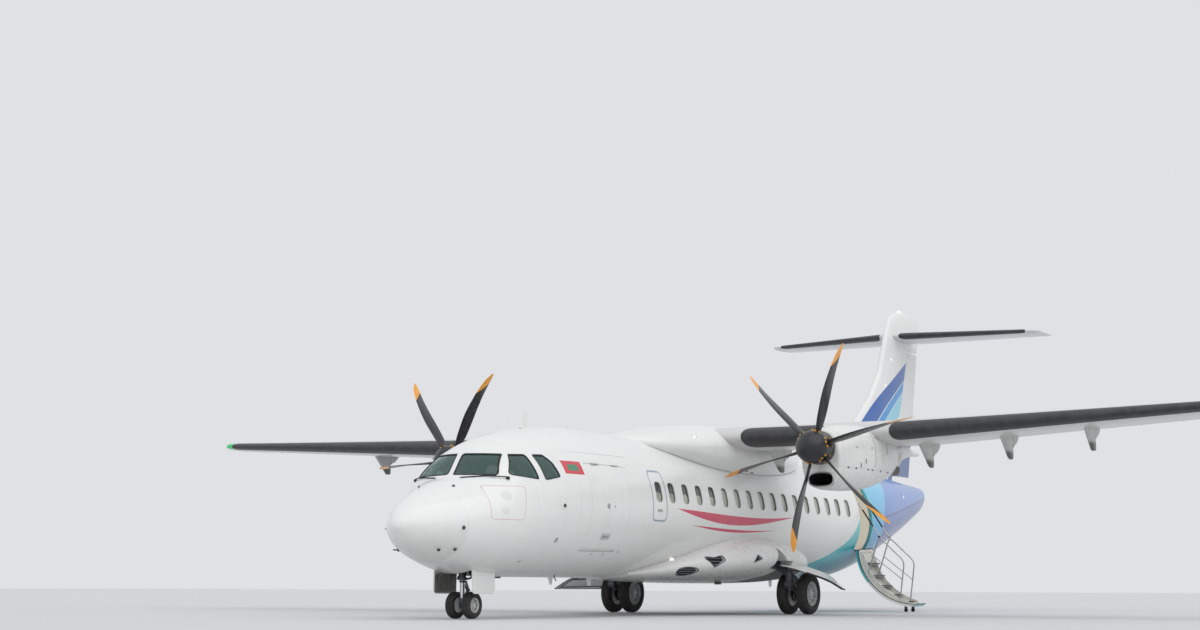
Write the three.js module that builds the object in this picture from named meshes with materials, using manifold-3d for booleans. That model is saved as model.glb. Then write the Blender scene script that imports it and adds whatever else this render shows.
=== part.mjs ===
// Twin-turboprop high-wing airliner with a T-tail, parked on its own landing gear.
// Units are millimetres. +X points to port, +Y aft, +Z up.
// The origin lies on the ground under the middle of the aircraft's outline.
import * as THREE from 'three';
import { mergeVertices } from 'three/addons/utils/BufferGeometryUtils.js';
import Module from 'manifold-3d';

const wasm = await Module();
wasm.setup();

// Driving dimensions of the whole aircraft
const LENGTH = 22670;
const SPAN = 24570;
const HEIGHT = 7590;
const WHEELBASE = 8780;
const NOSE_GEAR_STATION = 1920;
const MAIN_GEAR_STATION = NOSE_GEAR_STATION + WHEELBASE;
const TRACK = 4100;
const TAIL_SPAN = 7310;

// Fits between pieces
const SEAM = 0.3;
const RUNNING_GAP = 8;
const FLAP_GAP = 12;

// Fuselage barrel
const BARREL_HALF_WIDTH = 1432.5;
const BARREL_TOP = 3402;
const BARREL_BOTTOM = 700;
const BARREL_MIDDLE = 1970;
const SKIN = 70;
const FLOOR_TOP = 1360;
const FLOOR_THICKNESS = 70;
const RING_POINTS = 28;

// Wing
const ROOT_CHORD = 2570;
const TIP_CHORD = 1410;
const ROOT_THICKNESS = 0.18;
const TIP_THICKNESS = 0.13;
const WING_CAMBER = 0.02;
const ROOT_LE_STATION = 8950;
const TIP_LE_STATION = 9540;
const ROOT_LE_HEIGHT = 3470;
const WING_INCIDENCE = 100;
const DIHEDRAL = THREE.MathUtils.degToRad(2.5);
const WING_BREAK = 4850;
const FLAP_FRACTION = 0.67;
const AILERON_FRACTION = 0.745;

// Engines and propellers
const ENGINE_OFFSET = 4050;
const HUB_STATION = 7200;
const HUB_HEIGHT = 3070;
const PROPELLER_RADIUS = 1965;
const BLADES = 6;
const SPINNER_RADIUS = 307;
const SPINNER_BACK = 7440;
const SPINNER_SHOULDER = 7130;
const SPINNER_TIP = 6790;
const HUB_RADIUS = 170;
const BLADE_ROOT_RADIUS = 52;
const NACELLE_FRONT = 7460;
const PORT_BLADE_PHASE = 0.27;
const STARBOARD_BLADE_PHASE = 0.47;

// Landing gear
const MAIN_TYRE_RADIUS = 410;
const MAIN_TYRE_WIDTH = 220;
const MAIN_RIM_RADIUS = 235;
const MAIN_TWIN_SPACING = 430;
const NOSE_TYRE_RADIUS = 225;
const NOSE_TYRE_WIDTH = 160;
const NOSE_RIM_RADIUS = 120;
const NOSE_TWIN_SPACING = 330;
const WHEEL_SEGMENTS = 24;
const AXLE_SIDES = 24;

// Doors
const PASSENGER_DOOR = { front: 15300, rear: 16050, sill: 1375, top: 3125 };
const CARGO_DOOR = { front: 3750, rear: 5025, sill: 1150, top: 2680 };
const STAIR_OPEN_ANGLE = THREE.MathUtils.degToRad(147);

const group = new THREE.Group();

const WHITE = { color: 0xe9e8e6, roughness: 0.25, metalness: 0.0 };
const BLUE = { color: 0x7d94cd, roughness: 0.25, metalness: 0.0 };
const BLACK = { color: 0x24262a, roughness: 0.45, metalness: 0.0 };
const RUBBER = { color: 0x17181a, roughness: 0.85, metalness: 0.0 };
const STEEL = { color: 0x9a9da1, roughness: 0.4, metalness: 0.8 };
const ALLOY = { color: 0xc4c6c8, roughness: 0.35, metalness: 0.6 };
const GLASS = { color: 0x6f8f90, roughness: 0.08, metalness: 0.1 };
const SEAT = { color: 0x33384a, roughness: 0.8, metalness: 0.0 };

function alongFuselage(stationFromNose) {
  return stationFromNose - LENGTH / 2;
}

// A value between table rows, for rows sorted by their first column
function interpolate(rows, at, column) {
  if (at <= rows[0][0]) return rows[0][column];
  for (let i = 1; i < rows.length; i += 1) {
    if (at <= rows[i][0]) {
      const t = (at - rows[i - 1][0]) / (rows[i][0] - rows[i - 1][0]);
      return rows[i - 1][column] + t * (rows[i][column] - rows[i - 1][column]);
    }
  }
  return rows[rows.length - 1][column];
}

// Closed body through rings of equal point counts; an end ring may be one point
function loft(rings) {
  const positions = [];
  const indices = [];
  const starts = [];
  for (const ring of rings) {
    starts.push(positions.length / 3);
    for (const p of ring) positions.push(p.x, p.y, p.z);
  }
  for (let i = 0; i + 1 < rings.length; i += 1) {
    const a = rings[i].length;
    const b = rings[i + 1].length;
    const n = Math.max(a, b);
    for (let k = 0; k < n; k += 1) {
      const next = (k + 1) % n;
      const a0 = starts[i] + (a === 1 ? 0 : k);
      const a1 = starts[i] + (a === 1 ? 0 : next);
      const b0 = starts[i + 1] + (b === 1 ? 0 : k);
      const b1 = starts[i + 1] + (b === 1 ? 0 : next);
      if (a > 1) indices.push(a0, a1, b1);
      if (b > 1) indices.push(a0, b1, b0);
    }
  }
  for (const end of [0, rings.length - 1]) {
    const ring = rings[end];
    if (ring.length < 3) continue;
    const triangles = capTriangles(ring);
    for (const [a, b, c] of triangles) {
      const s = starts[end];
      if (end === 0) indices.push(s + a, s + c, s + b);
      else indices.push(s + a, s + b, s + c);
    }
  }
  const geometry = new THREE.BufferGeometry();
  geometry.setAttribute('position', new THREE.Float32BufferAttribute(positions, 3));
  geometry.setIndex(indices);
  return outwards(geometry);
}

// Triangles of a flat end ring, wound as the ring runs
function capTriangles(ring) {
  const normal = new THREE.Vector3();
  for (let i = 0; i < ring.length; i += 1) {
    const p = ring[i];
    const q = ring[(i + 1) % ring.length];
    normal.x += (p.y - q.y) * (p.z + q.z);
    normal.y += (p.z - q.z) * (p.x + q.x);
    normal.z += (p.x - q.x) * (p.y + q.y);
  }
  normal.normalize();
  const across = new THREE.Vector3(1, 0, 0);
  if (Math.abs(normal.x) > 0.8) across.set(0, 1, 0);
  const u = across.clone().cross(normal).normalize();
  const v = normal.clone().cross(u);
  const flat = ring.map((p) => new THREE.Vector2(p.dot(u), p.dot(v)));
  return THREE.ShapeUtils.triangulateShape(flat, []);
}

function outwards(geometry) {
  const p = geometry.attributes.position;
  const index = geometry.index.array;
  const a = new THREE.Vector3();
  const b = new THREE.Vector3();
  const c = new THREE.Vector3();
  let volume = 0;
  for (let i = 0; i < index.length; i += 3) {
    a.fromBufferAttribute(p, index[i]);
    b.fromBufferAttribute(p, index[i + 1]);
    c.fromBufferAttribute(p, index[i + 2]);
    volume += a.dot(b.cross(c));
  }
  if (volume > 0) return geometry;
  for (let i = 0; i < index.length; i += 3) {
    const swap = index[i];
    index[i] = index[i + 1];
    index[i + 1] = swap;
  }
  return geometry;
}

function solid(geometry) {
  const bare = geometry.clone();
  bare.deleteAttribute('normal');
  bare.deleteAttribute('uv');
  const merged = mergeVertices(bare, 1e-3);
  return new wasm.Manifold(new wasm.Mesh({
    numProp: 3,
    vertProperties: Float32Array.from(merged.attributes.position.array),
    triVerts: Uint32Array.from(merged.index.array),
  }));
}

function surface(body) {
  const mesh = body.getMesh();
  const geometry = new THREE.BufferGeometry();
  geometry.setAttribute('position', new THREE.BufferAttribute(mesh.vertProperties, 3));
  geometry.setIndex(new THREE.BufferAttribute(mesh.triVerts, 1));
  return geometry;
}

function cut(body, ...tools) {
  return tools.reduce((rest, tool) => rest.subtract(tool), body);
}

function join(...bodies) {
  return bodies.reduce((whole, body) => whole.add(body));
}

// Box between two stations, given in the frame of the whole aircraft
function box(x0, x1, s0, s1, z0, z1) {
  const geometry = new THREE.BoxGeometry(x1 - x0, s1 - s0, z1 - z0);
  geometry.translate((x0 + x1) / 2, alongFuselage((s0 + s1) / 2), (z0 + z1) / 2);
  return solid(geometry);
}

// Round bar between two points; points are [x, station, z]
function bar(from, to, radius, sides = 10) {
  const a = new THREE.Vector3(from[0], alongFuselage(from[1]), from[2]);
  const b = new THREE.Vector3(to[0], alongFuselage(to[1]), to[2]);
  const geometry = new THREE.CylinderGeometry(radius, radius, a.distanceTo(b), sides);
  const turn = new THREE.Quaternion();
  turn.setFromUnitVectors(new THREE.Vector3(0, 1, 0), b.clone().sub(a).normalize());
  geometry.applyQuaternion(turn);
  const middle = a.clone().add(b).multiplyScalar(0.5);
  geometry.translate(middle.x, middle.y, middle.z);
  return solid(geometry);
}

// Prism of an outline drawn across the fuselage, [x, z] points, between stations
function crossPrism(outline, s0, s1) {
  const rings = [s0, s1].map((s) => outline.map(([x, z]) => new THREE.Vector3(x, alongFuselage(s), z)));
  return solid(loft(rings));
}

// Prism of an outline drawn on the side, [station, z] points, between two offsets
function sidePrism(outline, x0, x1) {
  const rings = [x0, x1].map((x) => outline.map(([s, z]) => new THREE.Vector3(x, alongFuselage(s), z)));
  return solid(loft(rings));
}

// Body made about the origin and laid at a point: its X runs along the given axis, its Y aft
function laid(geometry, point, axis) {
  const x = new THREE.Vector3(...axis).normalize();
  const y = new THREE.Vector3(0, 1, 0).addScaledVector(x, -x.y).normalize();
  const z = x.clone().cross(y);
  const matrix = new THREE.Matrix4().makeBasis(x, y, z);
  matrix.setPosition(point[0], alongFuselage(point[1]), point[2]);
  return solid(geometry.clone().applyMatrix4(matrix));
}

function blockAt(point, axis, halfAlong, y0, y1, halfUp) {
  const geometry = new THREE.BoxGeometry(2 * halfAlong, y1 - y0, 2 * halfUp);
  return laid(geometry.translate(0, (y0 + y1) / 2, 0), point, axis);
}

function pinAt(point, axis, halfAlong, radius, sides = 10) {
  const geometry = new THREE.CylinderGeometry(radius, radius, 2 * halfAlong, sides);
  return laid(geometry.rotateZ(Math.PI / 2), point, axis);
}

// Hinge fitting of a control surface: a tongue on the fixed side, a pin through it, a slot in the surface
const HINGE = { tongue: 15, pin: 40, pinRadius: 9, boreRadius: 9.9, sides: 8, end: 12, slot: 24, slotBack: 24 };

function addHinges(moving, fixed, points, axis, forward) {
  let surfaceBody = moving;
  let fixedBody = fixed;
  for (const point of points) {
    const tongue = join(
      blockAt(point, axis, HINGE.tongue, -forward(point), HINGE.end, HINGE.end),
      pinAt(point, axis, HINGE.pin, HINGE.pinRadius, HINGE.sides),
    );
    const slot = blockAt(point, axis, HINGE.slot, -400, HINGE.slotBack, 300);
    const bore = pinAt(point, axis, HINGE.pin + 2, HINGE.boreRadius, HINGE.sides);
    surfaceBody = surfaceBody.subtract(slot).subtract(bore);
    fixedBody = fixedBody.add(tongue);
  }
  return [surfaceBody, fixedBody];
}

function mirrored(body) {
  return body.mirror([1, 0, 0]);
}

function addPiece(name, body, look, parent = group) {
  const geometry = body instanceof THREE.BufferGeometry ? body : surface(body);
  const mesh = new THREE.Mesh(geometry, new THREE.MeshStandardMaterial(look));
  mesh.name = name;
  parent.add(mesh);
  return mesh;
}

// Fuselage sections: station, half width, top, bottom, height of the widest point
const FUSELAGE = [
  [60, 150, 1650, 1370, 1500],
  [200, 322, 1798, 1205, 1500],
  [450, 520, 1950, 1075, 1505],
  [800, 728, 2110, 945, 1530],
  [1200, 920, 2268, 835, 1585],
  [1450, 1020, 2368, 778, 1622],
  [1780, 1150, 2760, 725, 1680],
  [2250, 1255, 3010, 705, 1780],
  [2900, 1355, 3200, 700, 1880],
  [3700, 1415, 3330, 700, 1940],
  [4600, BARREL_HALF_WIDTH, BARREL_TOP, BARREL_BOTTOM, BARREL_MIDDLE],
  [14800, BARREL_HALF_WIDTH, BARREL_TOP, BARREL_BOTTOM, BARREL_MIDDLE],
  [15600, 1425, 3400, 745, 1985],
  [16400, 1375, 3390, 870, 2030],
  [17200, 1280, 3370, 1065, 2100],
  [18400, 1075, 3320, 1395, 2240],
  [19800, 800, 3235, 1790, 2420],
  [21000, 545, 3160, 2140, 2590],
  [22000, 305, 3110, 2440, 2750],
  [22520, 130, 3060, 2660, 2870],
  [LENGTH, 50, 2980, 2770, 2880],
];
const NOSE_TIP = [0, 1500];

// One section, drawn in by an inset (or out by a negative one)
function fuselageRing(stationFromNose, inset = 0) {
  const width = interpolate(FUSELAGE, stationFromNose, 1) - inset;
  const top = interpolate(FUSELAGE, stationFromNose, 2) - inset;
  const bottom = interpolate(FUSELAGE, stationFromNose, 3) + inset;
  const middle = interpolate(FUSELAGE, stationFromNose, 4);
  const ring = [];
  for (let i = 0; i < RING_POINTS; i += 1) {
    const angle = (i / RING_POINTS) * 2 * Math.PI;
    const height = Math.cos(angle) > 0 ? top - middle : middle - bottom;
    const x = width * Math.sin(angle);
    const z = middle + height * Math.cos(angle);
    ring.push(new THREE.Vector3(x, alongFuselage(stationFromNose), z));
  }
  return ring;
}

function fuselageBody(from, to, inset = 0) {
  const inner = FUSELAGE.map((row) => row[0]).filter((s) => s > from + 1 && s < to - 1);
  const stations = [from, ...inner, to];
  const rings = stations.map((s) => fuselageRing(s, inset));
  if (from === 0) {
    rings[0] = [new THREE.Vector3(0, alongFuselage(NOSE_TIP[0]), NOSE_TIP[1])];
  }
  return solid(loft(rings));
}

// Stations where one fuselage panel meets the next
const PANEL_JOINTS = { radome: 900, cockpit: 3400, forward: 6450, centre: 12300, aft: 17000, tail: 20300 };

// Wing section: fractions of the chord from nose to tail
const CHORD_STEPS = [0, 0.008, 0.035, 0.09, 0.18, 0.32, 0.5, FLAP_FRACTION, AILERON_FRACTION, 0.87, 1];

function sectionHalfThickness(fraction, thickness) {
  const x = fraction;
  const open = 0.2969 * Math.sqrt(x) - 0.126 * x - 0.3516 * x ** 2 + 0.2843 * x ** 3 - 0.1036 * x ** 4;
  return 5 * thickness * open + 0.0025 * x;
}

// Closed section outline as [fraction, height over chord] points, nose first along the top
function sectionOutline(thickness, camber) {
  const top = CHORD_STEPS.map((x) => [x, 4 * camber * x * (1 - x) + sectionHalfThickness(x, thickness)]);
  const bottom = CHORD_STEPS.slice(1).reverse()
    .map((x) => [x, 4 * camber * x * (1 - x) - sectionHalfThickness(x, thickness)]);
  return [...top, ...bottom];
}

// Wing planform at a distance out from the centreline
function wingAt(x) {
  const out = Math.max(0, Math.abs(x) - WING_BREAK);
  const t = out / (SPAN / 2 - WING_BREAK);
  return {
    chord: ROOT_CHORD + t * (TIP_CHORD - ROOT_CHORD),
    nose: ROOT_LE_STATION + t * (TIP_LE_STATION - ROOT_LE_STATION),
    height: ROOT_LE_HEIGHT + out * Math.tan(DIHEDRAL),
    thickness: ROOT_THICKNESS + t * (TIP_THICKNESS - ROOT_THICKNESS),
  };
}

// Point on the wing's chord line
function wingPoint(x, fraction, height = 0) {
  const at = wingAt(x);
  const z = at.height - WING_INCIDENCE * (at.chord / ROOT_CHORD) * fraction + height;
  return [x, at.nose + fraction * at.chord, z];
}

function wingRing(x, grow = 0) {
  const at = wingAt(x);
  const scale = (at.chord + 2 * grow) / at.chord;
  return sectionOutline(at.thickness, WING_CAMBER).map(([fraction, height]) => {
    const [, s, z] = wingPoint(x, fraction, height * at.chord);
    const sGrown = at.nose + (s - at.nose) * scale - grow;
    const zGrown = z + Math.sign(height || 1) * grow;
    return new THREE.Vector3(x, alongFuselage(sGrown), zGrown);
  });
}

function wingBody(x0, x1, grow = 0) {
  const xs = [x0, -WING_BREAK, WING_BREAK, x1].filter((x, i) => i === 0 || i === 3 || (x > x0 + 1 && x < x1 - 1));
  return solid(loft(xs.map((x) => wingRing(x, grow))));
}

// Trailing-edge region of the wing from a chord fraction aft; its end faces stand square to an axis
function wingRegion(x0, x1, fraction, shift, axis = [1, 0, 0]) {
  const reach = 1200;
  const corners = [[shift, -reach], [shift, reach], [2 * reach, reach], [2 * reach, -reach]];
  const outline = (end) => corners.map(([aft, up]) => {
    const x = end - (axis[1] * aft + axis[2] * up) / axis[0];
    const [, s, z] = wingPoint(end, fraction);
    const swept = wingPoint(x, fraction)[1] - s;
    return new THREE.Vector3(x, alongFuselage(s + aft + (aft === shift ? swept : 0)), z + up);
  });
  return solid(loft([outline(x0), outline(x1)]));
}

// Moving surfaces of the port wing: name, inner end, outer end
const FLAPS = [
  ['flap_inner', 1560, 3480],
  ['flap_outer', 4900, 8320],
];
const AILERON = [8400, 12020];
const FLAP_HINGE_DROP = 330;
// Flap hinge fairings of the port wing: offset from the centreline
const FLAP_FAIRINGS = [1750, 3330, 4970, 6590, 8200];
const FAIRING_WIDTH = 80;
const FAIRING_TIP_DROP = 230;
const FLAP_PIN_RADIUS = 16;

// Hinge line of a flap: below the wing at the flap's front face
function flapHinge(x) {
  const at = wingAt(x);
  const scale = at.chord / ROOT_CHORD;
  return wingPoint(x, FLAP_FRACTION, -FLAP_HINGE_DROP * scale);
}

// Deep narrow fairing under the wing that carries a flap hinge; the rear part moves with the flap
function flapFairing(x, moving) {
  const [, hingeStation, hingeHeight] = flapHinge(x);
  const [, , chordHeight] = wingPoint(x, FLAP_FRACTION);
  const scale = wingAt(x).chord / ROOT_CHORD;
  const front = hingeStation - 620 * scale;
  const tail = hingeStation + 420 * scale;
  const tip = hingeHeight - FAIRING_TIP_DROP;
  const outline = moving
    ? [[hingeStation, hingeHeight], [hingeStation, chordHeight], [tail - 60, chordHeight - 20],
      [tail, chordHeight - 100 * scale], [hingeStation + 170 * scale, hingeHeight + 90 * scale]]
    : [[front, chordHeight - 60], [hingeStation - FLAP_GAP, chordHeight - 20],
      [hingeStation - FLAP_GAP, tip], [hingeStation - 80, tip], [hingeStation - 340 * scale, hingeHeight + 60 * scale]];
  const half = FAIRING_WIDTH / 2;
  const blade = sidePrism(outline, x - half, x + half);
  const axis = flapAxis(x - half, x + half);
  const hinge = [x, hingeStation, hingeHeight];
  if (moving) return blade.subtract(pinAt(hinge, axis, half + 5, FLAP_PIN_RADIUS + 0.9, 10));
  const web = blockAt(hinge, axis, half - 4, -FLAP_GAP - 20, 0, FLAP_PIN_RADIUS * 0.7);
  return join(blade, web, pinAt(hinge, axis, half - 4, FLAP_PIN_RADIUS, 10));
}

// Direction of the flap hinge line between two offsets
function flapAxis(x0, x1) {
  const a = flapHinge(x0);
  const b = flapHinge(x1);
  return [b[0] - a[0], b[1] - a[1], b[2] - a[2]];
}

function makeWing() {
  const centre = wingBody(-WING_BREAK + SEAM / 2, WING_BREAK - SEAM / 2);
  const wholeOuter = wingBody(WING_BREAK + SEAM / 2, SPAN / 2 - 60);
  const tip = wingTip();
  const fixed = { centre, outer: join(wholeOuter, tip) };
  const whole = { centre, outer: wholeOuter };
  for (const [name, inner, outer] of FLAPS) {
    const part = inner < WING_BREAK ? 'centre' : 'outer';
    const axis = flapAxis(inner, outer);
    const room = wingRegion(inner - RUNNING_GAP, outer + RUNNING_GAP, FLAP_FRACTION, -FLAP_GAP, axis);
    const fairings = FLAP_FAIRINGS.filter((x) => x > inner && x < outer);
    const region = wingRegion(inner, outer, FLAP_FRACTION, 0, axis);
    let flap = whole[part].intersect(region);
    fixed[part] = fixed[part].subtract(room);
    for (const x of fairings) {
      flap = flap.add(flapFairing(x, true));
      fixed[part] = fixed[part].add(flapFairing(x, false));
    }
    if (part === 'centre') {
      fixed.centre = fixed.centre.subtract(mirrored(room));
      for (const x of fairings) fixed.centre = fixed.centre.add(mirrored(flapFairing(x, false)));
    }
    addPiece(`${name}_port`, flap, WHITE);
    addPiece(`${name}_starboard`, mirrored(flap), WHITE);
  }
  const aileronRoom = wingRegion(AILERON[0] - RUNNING_GAP, AILERON[1] + RUNNING_GAP, AILERON_FRACTION, 0);
  fixed.outer = fixed.outer.subtract(aileronRoom);
  const ends = AILERON.map((x) => hingePoint(x, aileronHinge(x)));
  const axis = ends[1].map((v, i) => v - ends[0][i]);
  const spots = [0.12, 0.88].map((share) => ends[0].map((v, i) => v + share * axis[i]));
  const reach = (point) => point[1] - wingDepth(point[0], AILERON_FRACTION).s + 30;
  const [aileron, outerWing] = addHinges(makeAileron(), fixed.outer, spots, axis, reach);
  fixed.outer = outerWing;
  addPiece('aileron_port', aileron, WHITE);
  addPiece('aileron_starboard', mirrored(aileron), WHITE);
  addPiece('outer_wing_port', fixed.outer, WHITE);
  addPiece('outer_wing_starboard', mirrored(fixed.outer), WHITE);
  return fixed.centre;
}

// Rounded tip cap: a shrinking run of sections
function wingTip() {
  const base = SPAN / 2 - 60;
  const steps = [[0, 1], [35, 0.72], [60, 0.25]];
  const rings = steps.map(([out, share]) => {
    const at = wingAt(base + out);
    return sectionOutline(at.thickness * share, WING_CAMBER).map(([fraction, height]) => {
      const inset = 0.5 + (fraction - 0.5) * (1 - 0.1 * (1 - share));
      const [, s, z] = wingPoint(base + out, inset, height * at.chord);
      return new THREE.Vector3(base + out, alongFuselage(s), z);
    });
  });
  return solid(loft(rings));
}

// Half height and middle of the wing section at a chord fraction
function wingDepth(x, fraction) {
  const at = wingAt(x);
  const half = sectionHalfThickness(fraction, at.thickness) * at.chord;
  const lift = 4 * WING_CAMBER * fraction * (1 - fraction) * at.chord;
  const [, s, z] = wingPoint(x, fraction, lift);
  return { half, s, z };
}

// Control surface section: half-round nose about the hinge line, straight to the trailing edge
function surfaceRing(place, hinge, noseRadius, tail, tailHalf) {
  const ring = [];
  const steps = 6;
  for (let i = 0; i <= steps; i += 1) {
    const angle = Math.PI * (0.5 + i / steps);
    ring.push(place(hinge + noseRadius * Math.cos(angle), noseRadius * Math.sin(angle)));
  }
  ring.push(place(tail, -tailHalf));
  ring.push(place(tail, tailHalf));
  return ring;
}

function aileronHinge(x) {
  const front = wingDepth(x, AILERON_FRACTION);
  const radius = front.half * 0.92;
  return { radius, s: front.s + RUNNING_GAP + radius, z: front.z };
}

function hingePoint(x, hinge) {
  return [x, hinge.s, hinge.z];
}

function makeAileron() {
  const rings = AILERON.map((x) => {
    const hinge = aileronHinge(x);
    const [, tail, tailHeight] = wingPoint(x, 1);
    const slope = (tailHeight - hinge.z) / (tail - hinge.s);
    const place = (s, up) => new THREE.Vector3(x, alongFuselage(s), hinge.z + up + slope * (s - hinge.s));
    return surfaceRing(place, hinge.s, hinge.radius, tail, 4);
  });
  return solid(loft(rings));
}

// Nacelle sections: station, half width, top, bottom
const NACELLE = [
  [NACELLE_FRONT, 385, 3400, 2330],
  [7750, 435, 3480, 2310],
  [8300, 480, 3560, 2320],
  [9000, 500, 3585, 2370],
  [9700, 470, 3560, 2500],
  [10400, 360, 3490, 2720],
  [11100, 200, 3400, 3030],
  [11700, 120, 3330, 3150],
  [12200, 60, 3280, 3190],
];

function nacelleRing([s, halfWidth, top, bottom]) {
  const ring = [];
  const sides = 20;
  const squareness = 0.84;
  const middle = (top + bottom) / 2;
  for (let i = 0; i < sides; i += 1) {
    const angle = (i / sides) * 2 * Math.PI;
    const c = Math.cos(angle);
    const d = Math.sin(angle);
    const x = Math.sign(d) * Math.abs(d) ** squareness * halfWidth;
    const z = Math.sign(c) * Math.abs(c) ** squareness * ((top - bottom) / 2);
    ring.push(new THREE.Vector3(ENGINE_OFFSET + x, alongFuselage(s), middle + z));
  }
  return ring;
}

const ENGINE_BAY = { halfWidth: 300, front: NACELLE_FRONT, rear: 9500, bottom: 2665, top: 3215 };
const GEARBOX_RADIUS = 130;
const INTAKE = { halfWidth: 235, bottom: 2385, top: 2610, depth: 520 };

function intakeOutline() {
  const outline = [];
  const steps = 14;
  for (let i = 0; i < steps; i += 1) {
    const angle = (i / steps) * 2 * Math.PI;
    const c = Math.cos(angle);
    const d = Math.sin(angle);
    const x = Math.sign(c) * Math.abs(c) ** 0.7 * INTAKE.halfWidth;
    const z = Math.sign(d) * Math.abs(d) ** 0.7 * (INTAKE.top - INTAKE.bottom) / 2;
    outline.push([ENGINE_OFFSET + x, (INTAKE.top + INTAKE.bottom) / 2 + z]);
  }
  return outline;
}

function makeNacelle(centreWing) {
  const shell = solid(loft(NACELLE.map(nacelleRing)));
  const x = ENGINE_OFFSET;
  const bay = box(
    x - ENGINE_BAY.halfWidth, x + ENGINE_BAY.halfWidth,
    ENGINE_BAY.front - 50, ENGINE_BAY.rear, ENGINE_BAY.bottom, ENGINE_BAY.top,
  );
  const intake = crossPrism(intakeOutline(), NACELLE_FRONT - 50, NACELLE_FRONT + INTAKE.depth);
  const nacelle = cut(shell, bay, intake, centreWing);
  const engine = join(
    box(
      x - ENGINE_BAY.halfWidth + SEAM, x + ENGINE_BAY.halfWidth - SEAM,
      NACELLE_FRONT + 260, ENGINE_BAY.rear - 200, ENGINE_BAY.bottom + SEAM, ENGINE_BAY.top - 40,
    ),
    bar([x, SPINNER_BACK - 80, HUB_HEIGHT], [x, NACELLE_FRONT + 300, HUB_HEIGHT], GEARBOX_RADIUS),
  );
  const exhaust = makeExhaust();
  for (const [side, turn] of [['port', (b) => b], ['starboard', mirrored]]) {
    addPiece(`nacelle_${side}`, turn(nacelle.subtract(exhaust.room)), WHITE);
    addPiece(`engine_${side}`, turn(engine), STEEL);
    addPiece(`exhaust_pipe_${side}`, turn(exhaust.pipe), STEEL);
  }
}

// Exhaust pipe half sunk in the nacelle's lower outboard flank, pointing aft, with a trough behind its mouth
function makeExhaust() {
  const start = [ENGINE_OFFSET + 190, 9700, 2830];
  const end = [ENGINE_OFFSET + 270, 10350, 2800];
  const outer = bar(start, end, 105, 16);
  const bore = bar([start[0] + 20, start[1] + 100, start[2] + 4], [end[0] + 20, end[1] + 100, end[2] + 4], 92, 16);
  const beyond = end.map((value, i) => value + 0.6 * (value - start[i]));
  return { pipe: outer.subtract(bore), room: bar(start, beyond, 105 + SEAM, 16) };
}

// Blade sections: radius, chord, thickness, sweep of the middle towards the tail, twist from feather in degrees
const BLADE = [
  [250, 104, 80, 0, 22],
  [600, 250, 46, -14, 13],
  [1050, 315, 30, -38, 5],
  [1450, 292, 21, -6, -1],
  [1800, 215, 14, 86, -5],
  [PROPELLER_RADIUS, 70, 6, 165, -7],
];

function bladeRing([radius, chord, thickness, sweep, twist]) {
  const outline = [
    [-0.5, 0], [-0.25, 0.45], [0.5, 0.06], [0.5, -0.06], [-0.25, -0.45],
  ];
  const angle = THREE.MathUtils.degToRad(twist);
  return outline.map(([c, t]) => {
    const along = c * chord;
    const across = t * thickness;
    const y = along * Math.cos(angle) - across * Math.sin(angle) + sweep;
    const x = along * Math.sin(angle) + across * Math.cos(angle);
    return new THREE.Vector3(x, y, radius);
  });
}

// Propeller about the Y axis through the origin of its own frame
function makePropeller(phase) {
  const blade = solid(loft(BLADE.map(bladeRing)));
  const shank = solid(new THREE.CylinderGeometry(BLADE_ROOT_RADIUS, BLADE_ROOT_RADIUS, 170, 8)
    .rotateX(Math.PI / 2).translate(0, 0, 185));
  const wholeBlade = join(blade, shank);
  const hub = solid(new THREE.CylinderGeometry(HUB_RADIUS, HUB_RADIUS, 280, 12));
  const shaftLength = SPINNER_BACK - 80 - SEAM - HUB_STATION - 140;
  const shaft = solid(new THREE.CylinderGeometry(120, 120, shaftLength, 12)
    .translate(0, 140 + shaftLength / 2, 0));
  let propeller = join(hub, shaft);
  for (let i = 0; i < BLADES; i += 1) {
    const degrees = THREE.MathUtils.radToDeg(phase) + (i * 360) / BLADES;
    propeller = propeller.add(wholeBlade.rotate([0, degrees, 0]));
  }
  return propeller;
}

// Spinner: a dome with a short straight skirt, cut to sit round the hub and the blade shanks
function makeSpinner(phase) {
  const back = SPINNER_BACK - HUB_STATION;
  const shoulder = SPINNER_SHOULDER - HUB_STATION;
  const nose = SPINNER_TIP - HUB_STATION;
  const profile = [new THREE.Vector2(0, nose)];
  const steps = 5;
  for (let i = 1; i <= steps; i += 1) {
    const angle = (i / steps) * (Math.PI / 2);
    profile.push(new THREE.Vector2(SPINNER_RADIUS * Math.sin(angle), shoulder + (nose - shoulder) * Math.cos(angle)));
  }
  profile.push(new THREE.Vector2(SPINNER_RADIUS, back));
  profile.push(new THREE.Vector2(0, back));
  const dome = solid(outwards(new THREE.LatheGeometry(profile, 20)));
  const g = SEAM;
  let room = solid(new THREE.CylinderGeometry(HUB_RADIUS + g, HUB_RADIUS + g, 280 + 2 * g, 12));
  room = room.add(solid(new THREE.CylinderGeometry(155, 155, 400, 12).translate(0, 330, 0)));
  const shank = solid(new THREE.CylinderGeometry(90, 90, 400, 8).rotateX(Math.PI / 2).translate(0, 0, 310));
  for (let i = 0; i < BLADES; i += 1) {
    const degrees = THREE.MathUtils.radToDeg(phase) + (i * 360) / BLADES;
    room = room.add(shank.rotate([0, degrees, 0]));
  }
  return dome.subtract(room);
}

function makePropellers() {
  const sides = [['port', 1, PORT_BLADE_PHASE], ['starboard', -1, STARBOARD_BLADE_PHASE]];
  for (const [side, sign, phase] of sides) {
    const hub = new THREE.Group();
    hub.position.set(sign * ENGINE_OFFSET, alongFuselage(HUB_STATION), HUB_HEIGHT);
    group.add(hub);
    addPiece(`propeller_${side}`, makePropeller(phase), BLACK, hub);
    addPiece(`spinner_${side}`, makeSpinner(phase), BLACK, hub);
  }
}

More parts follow.
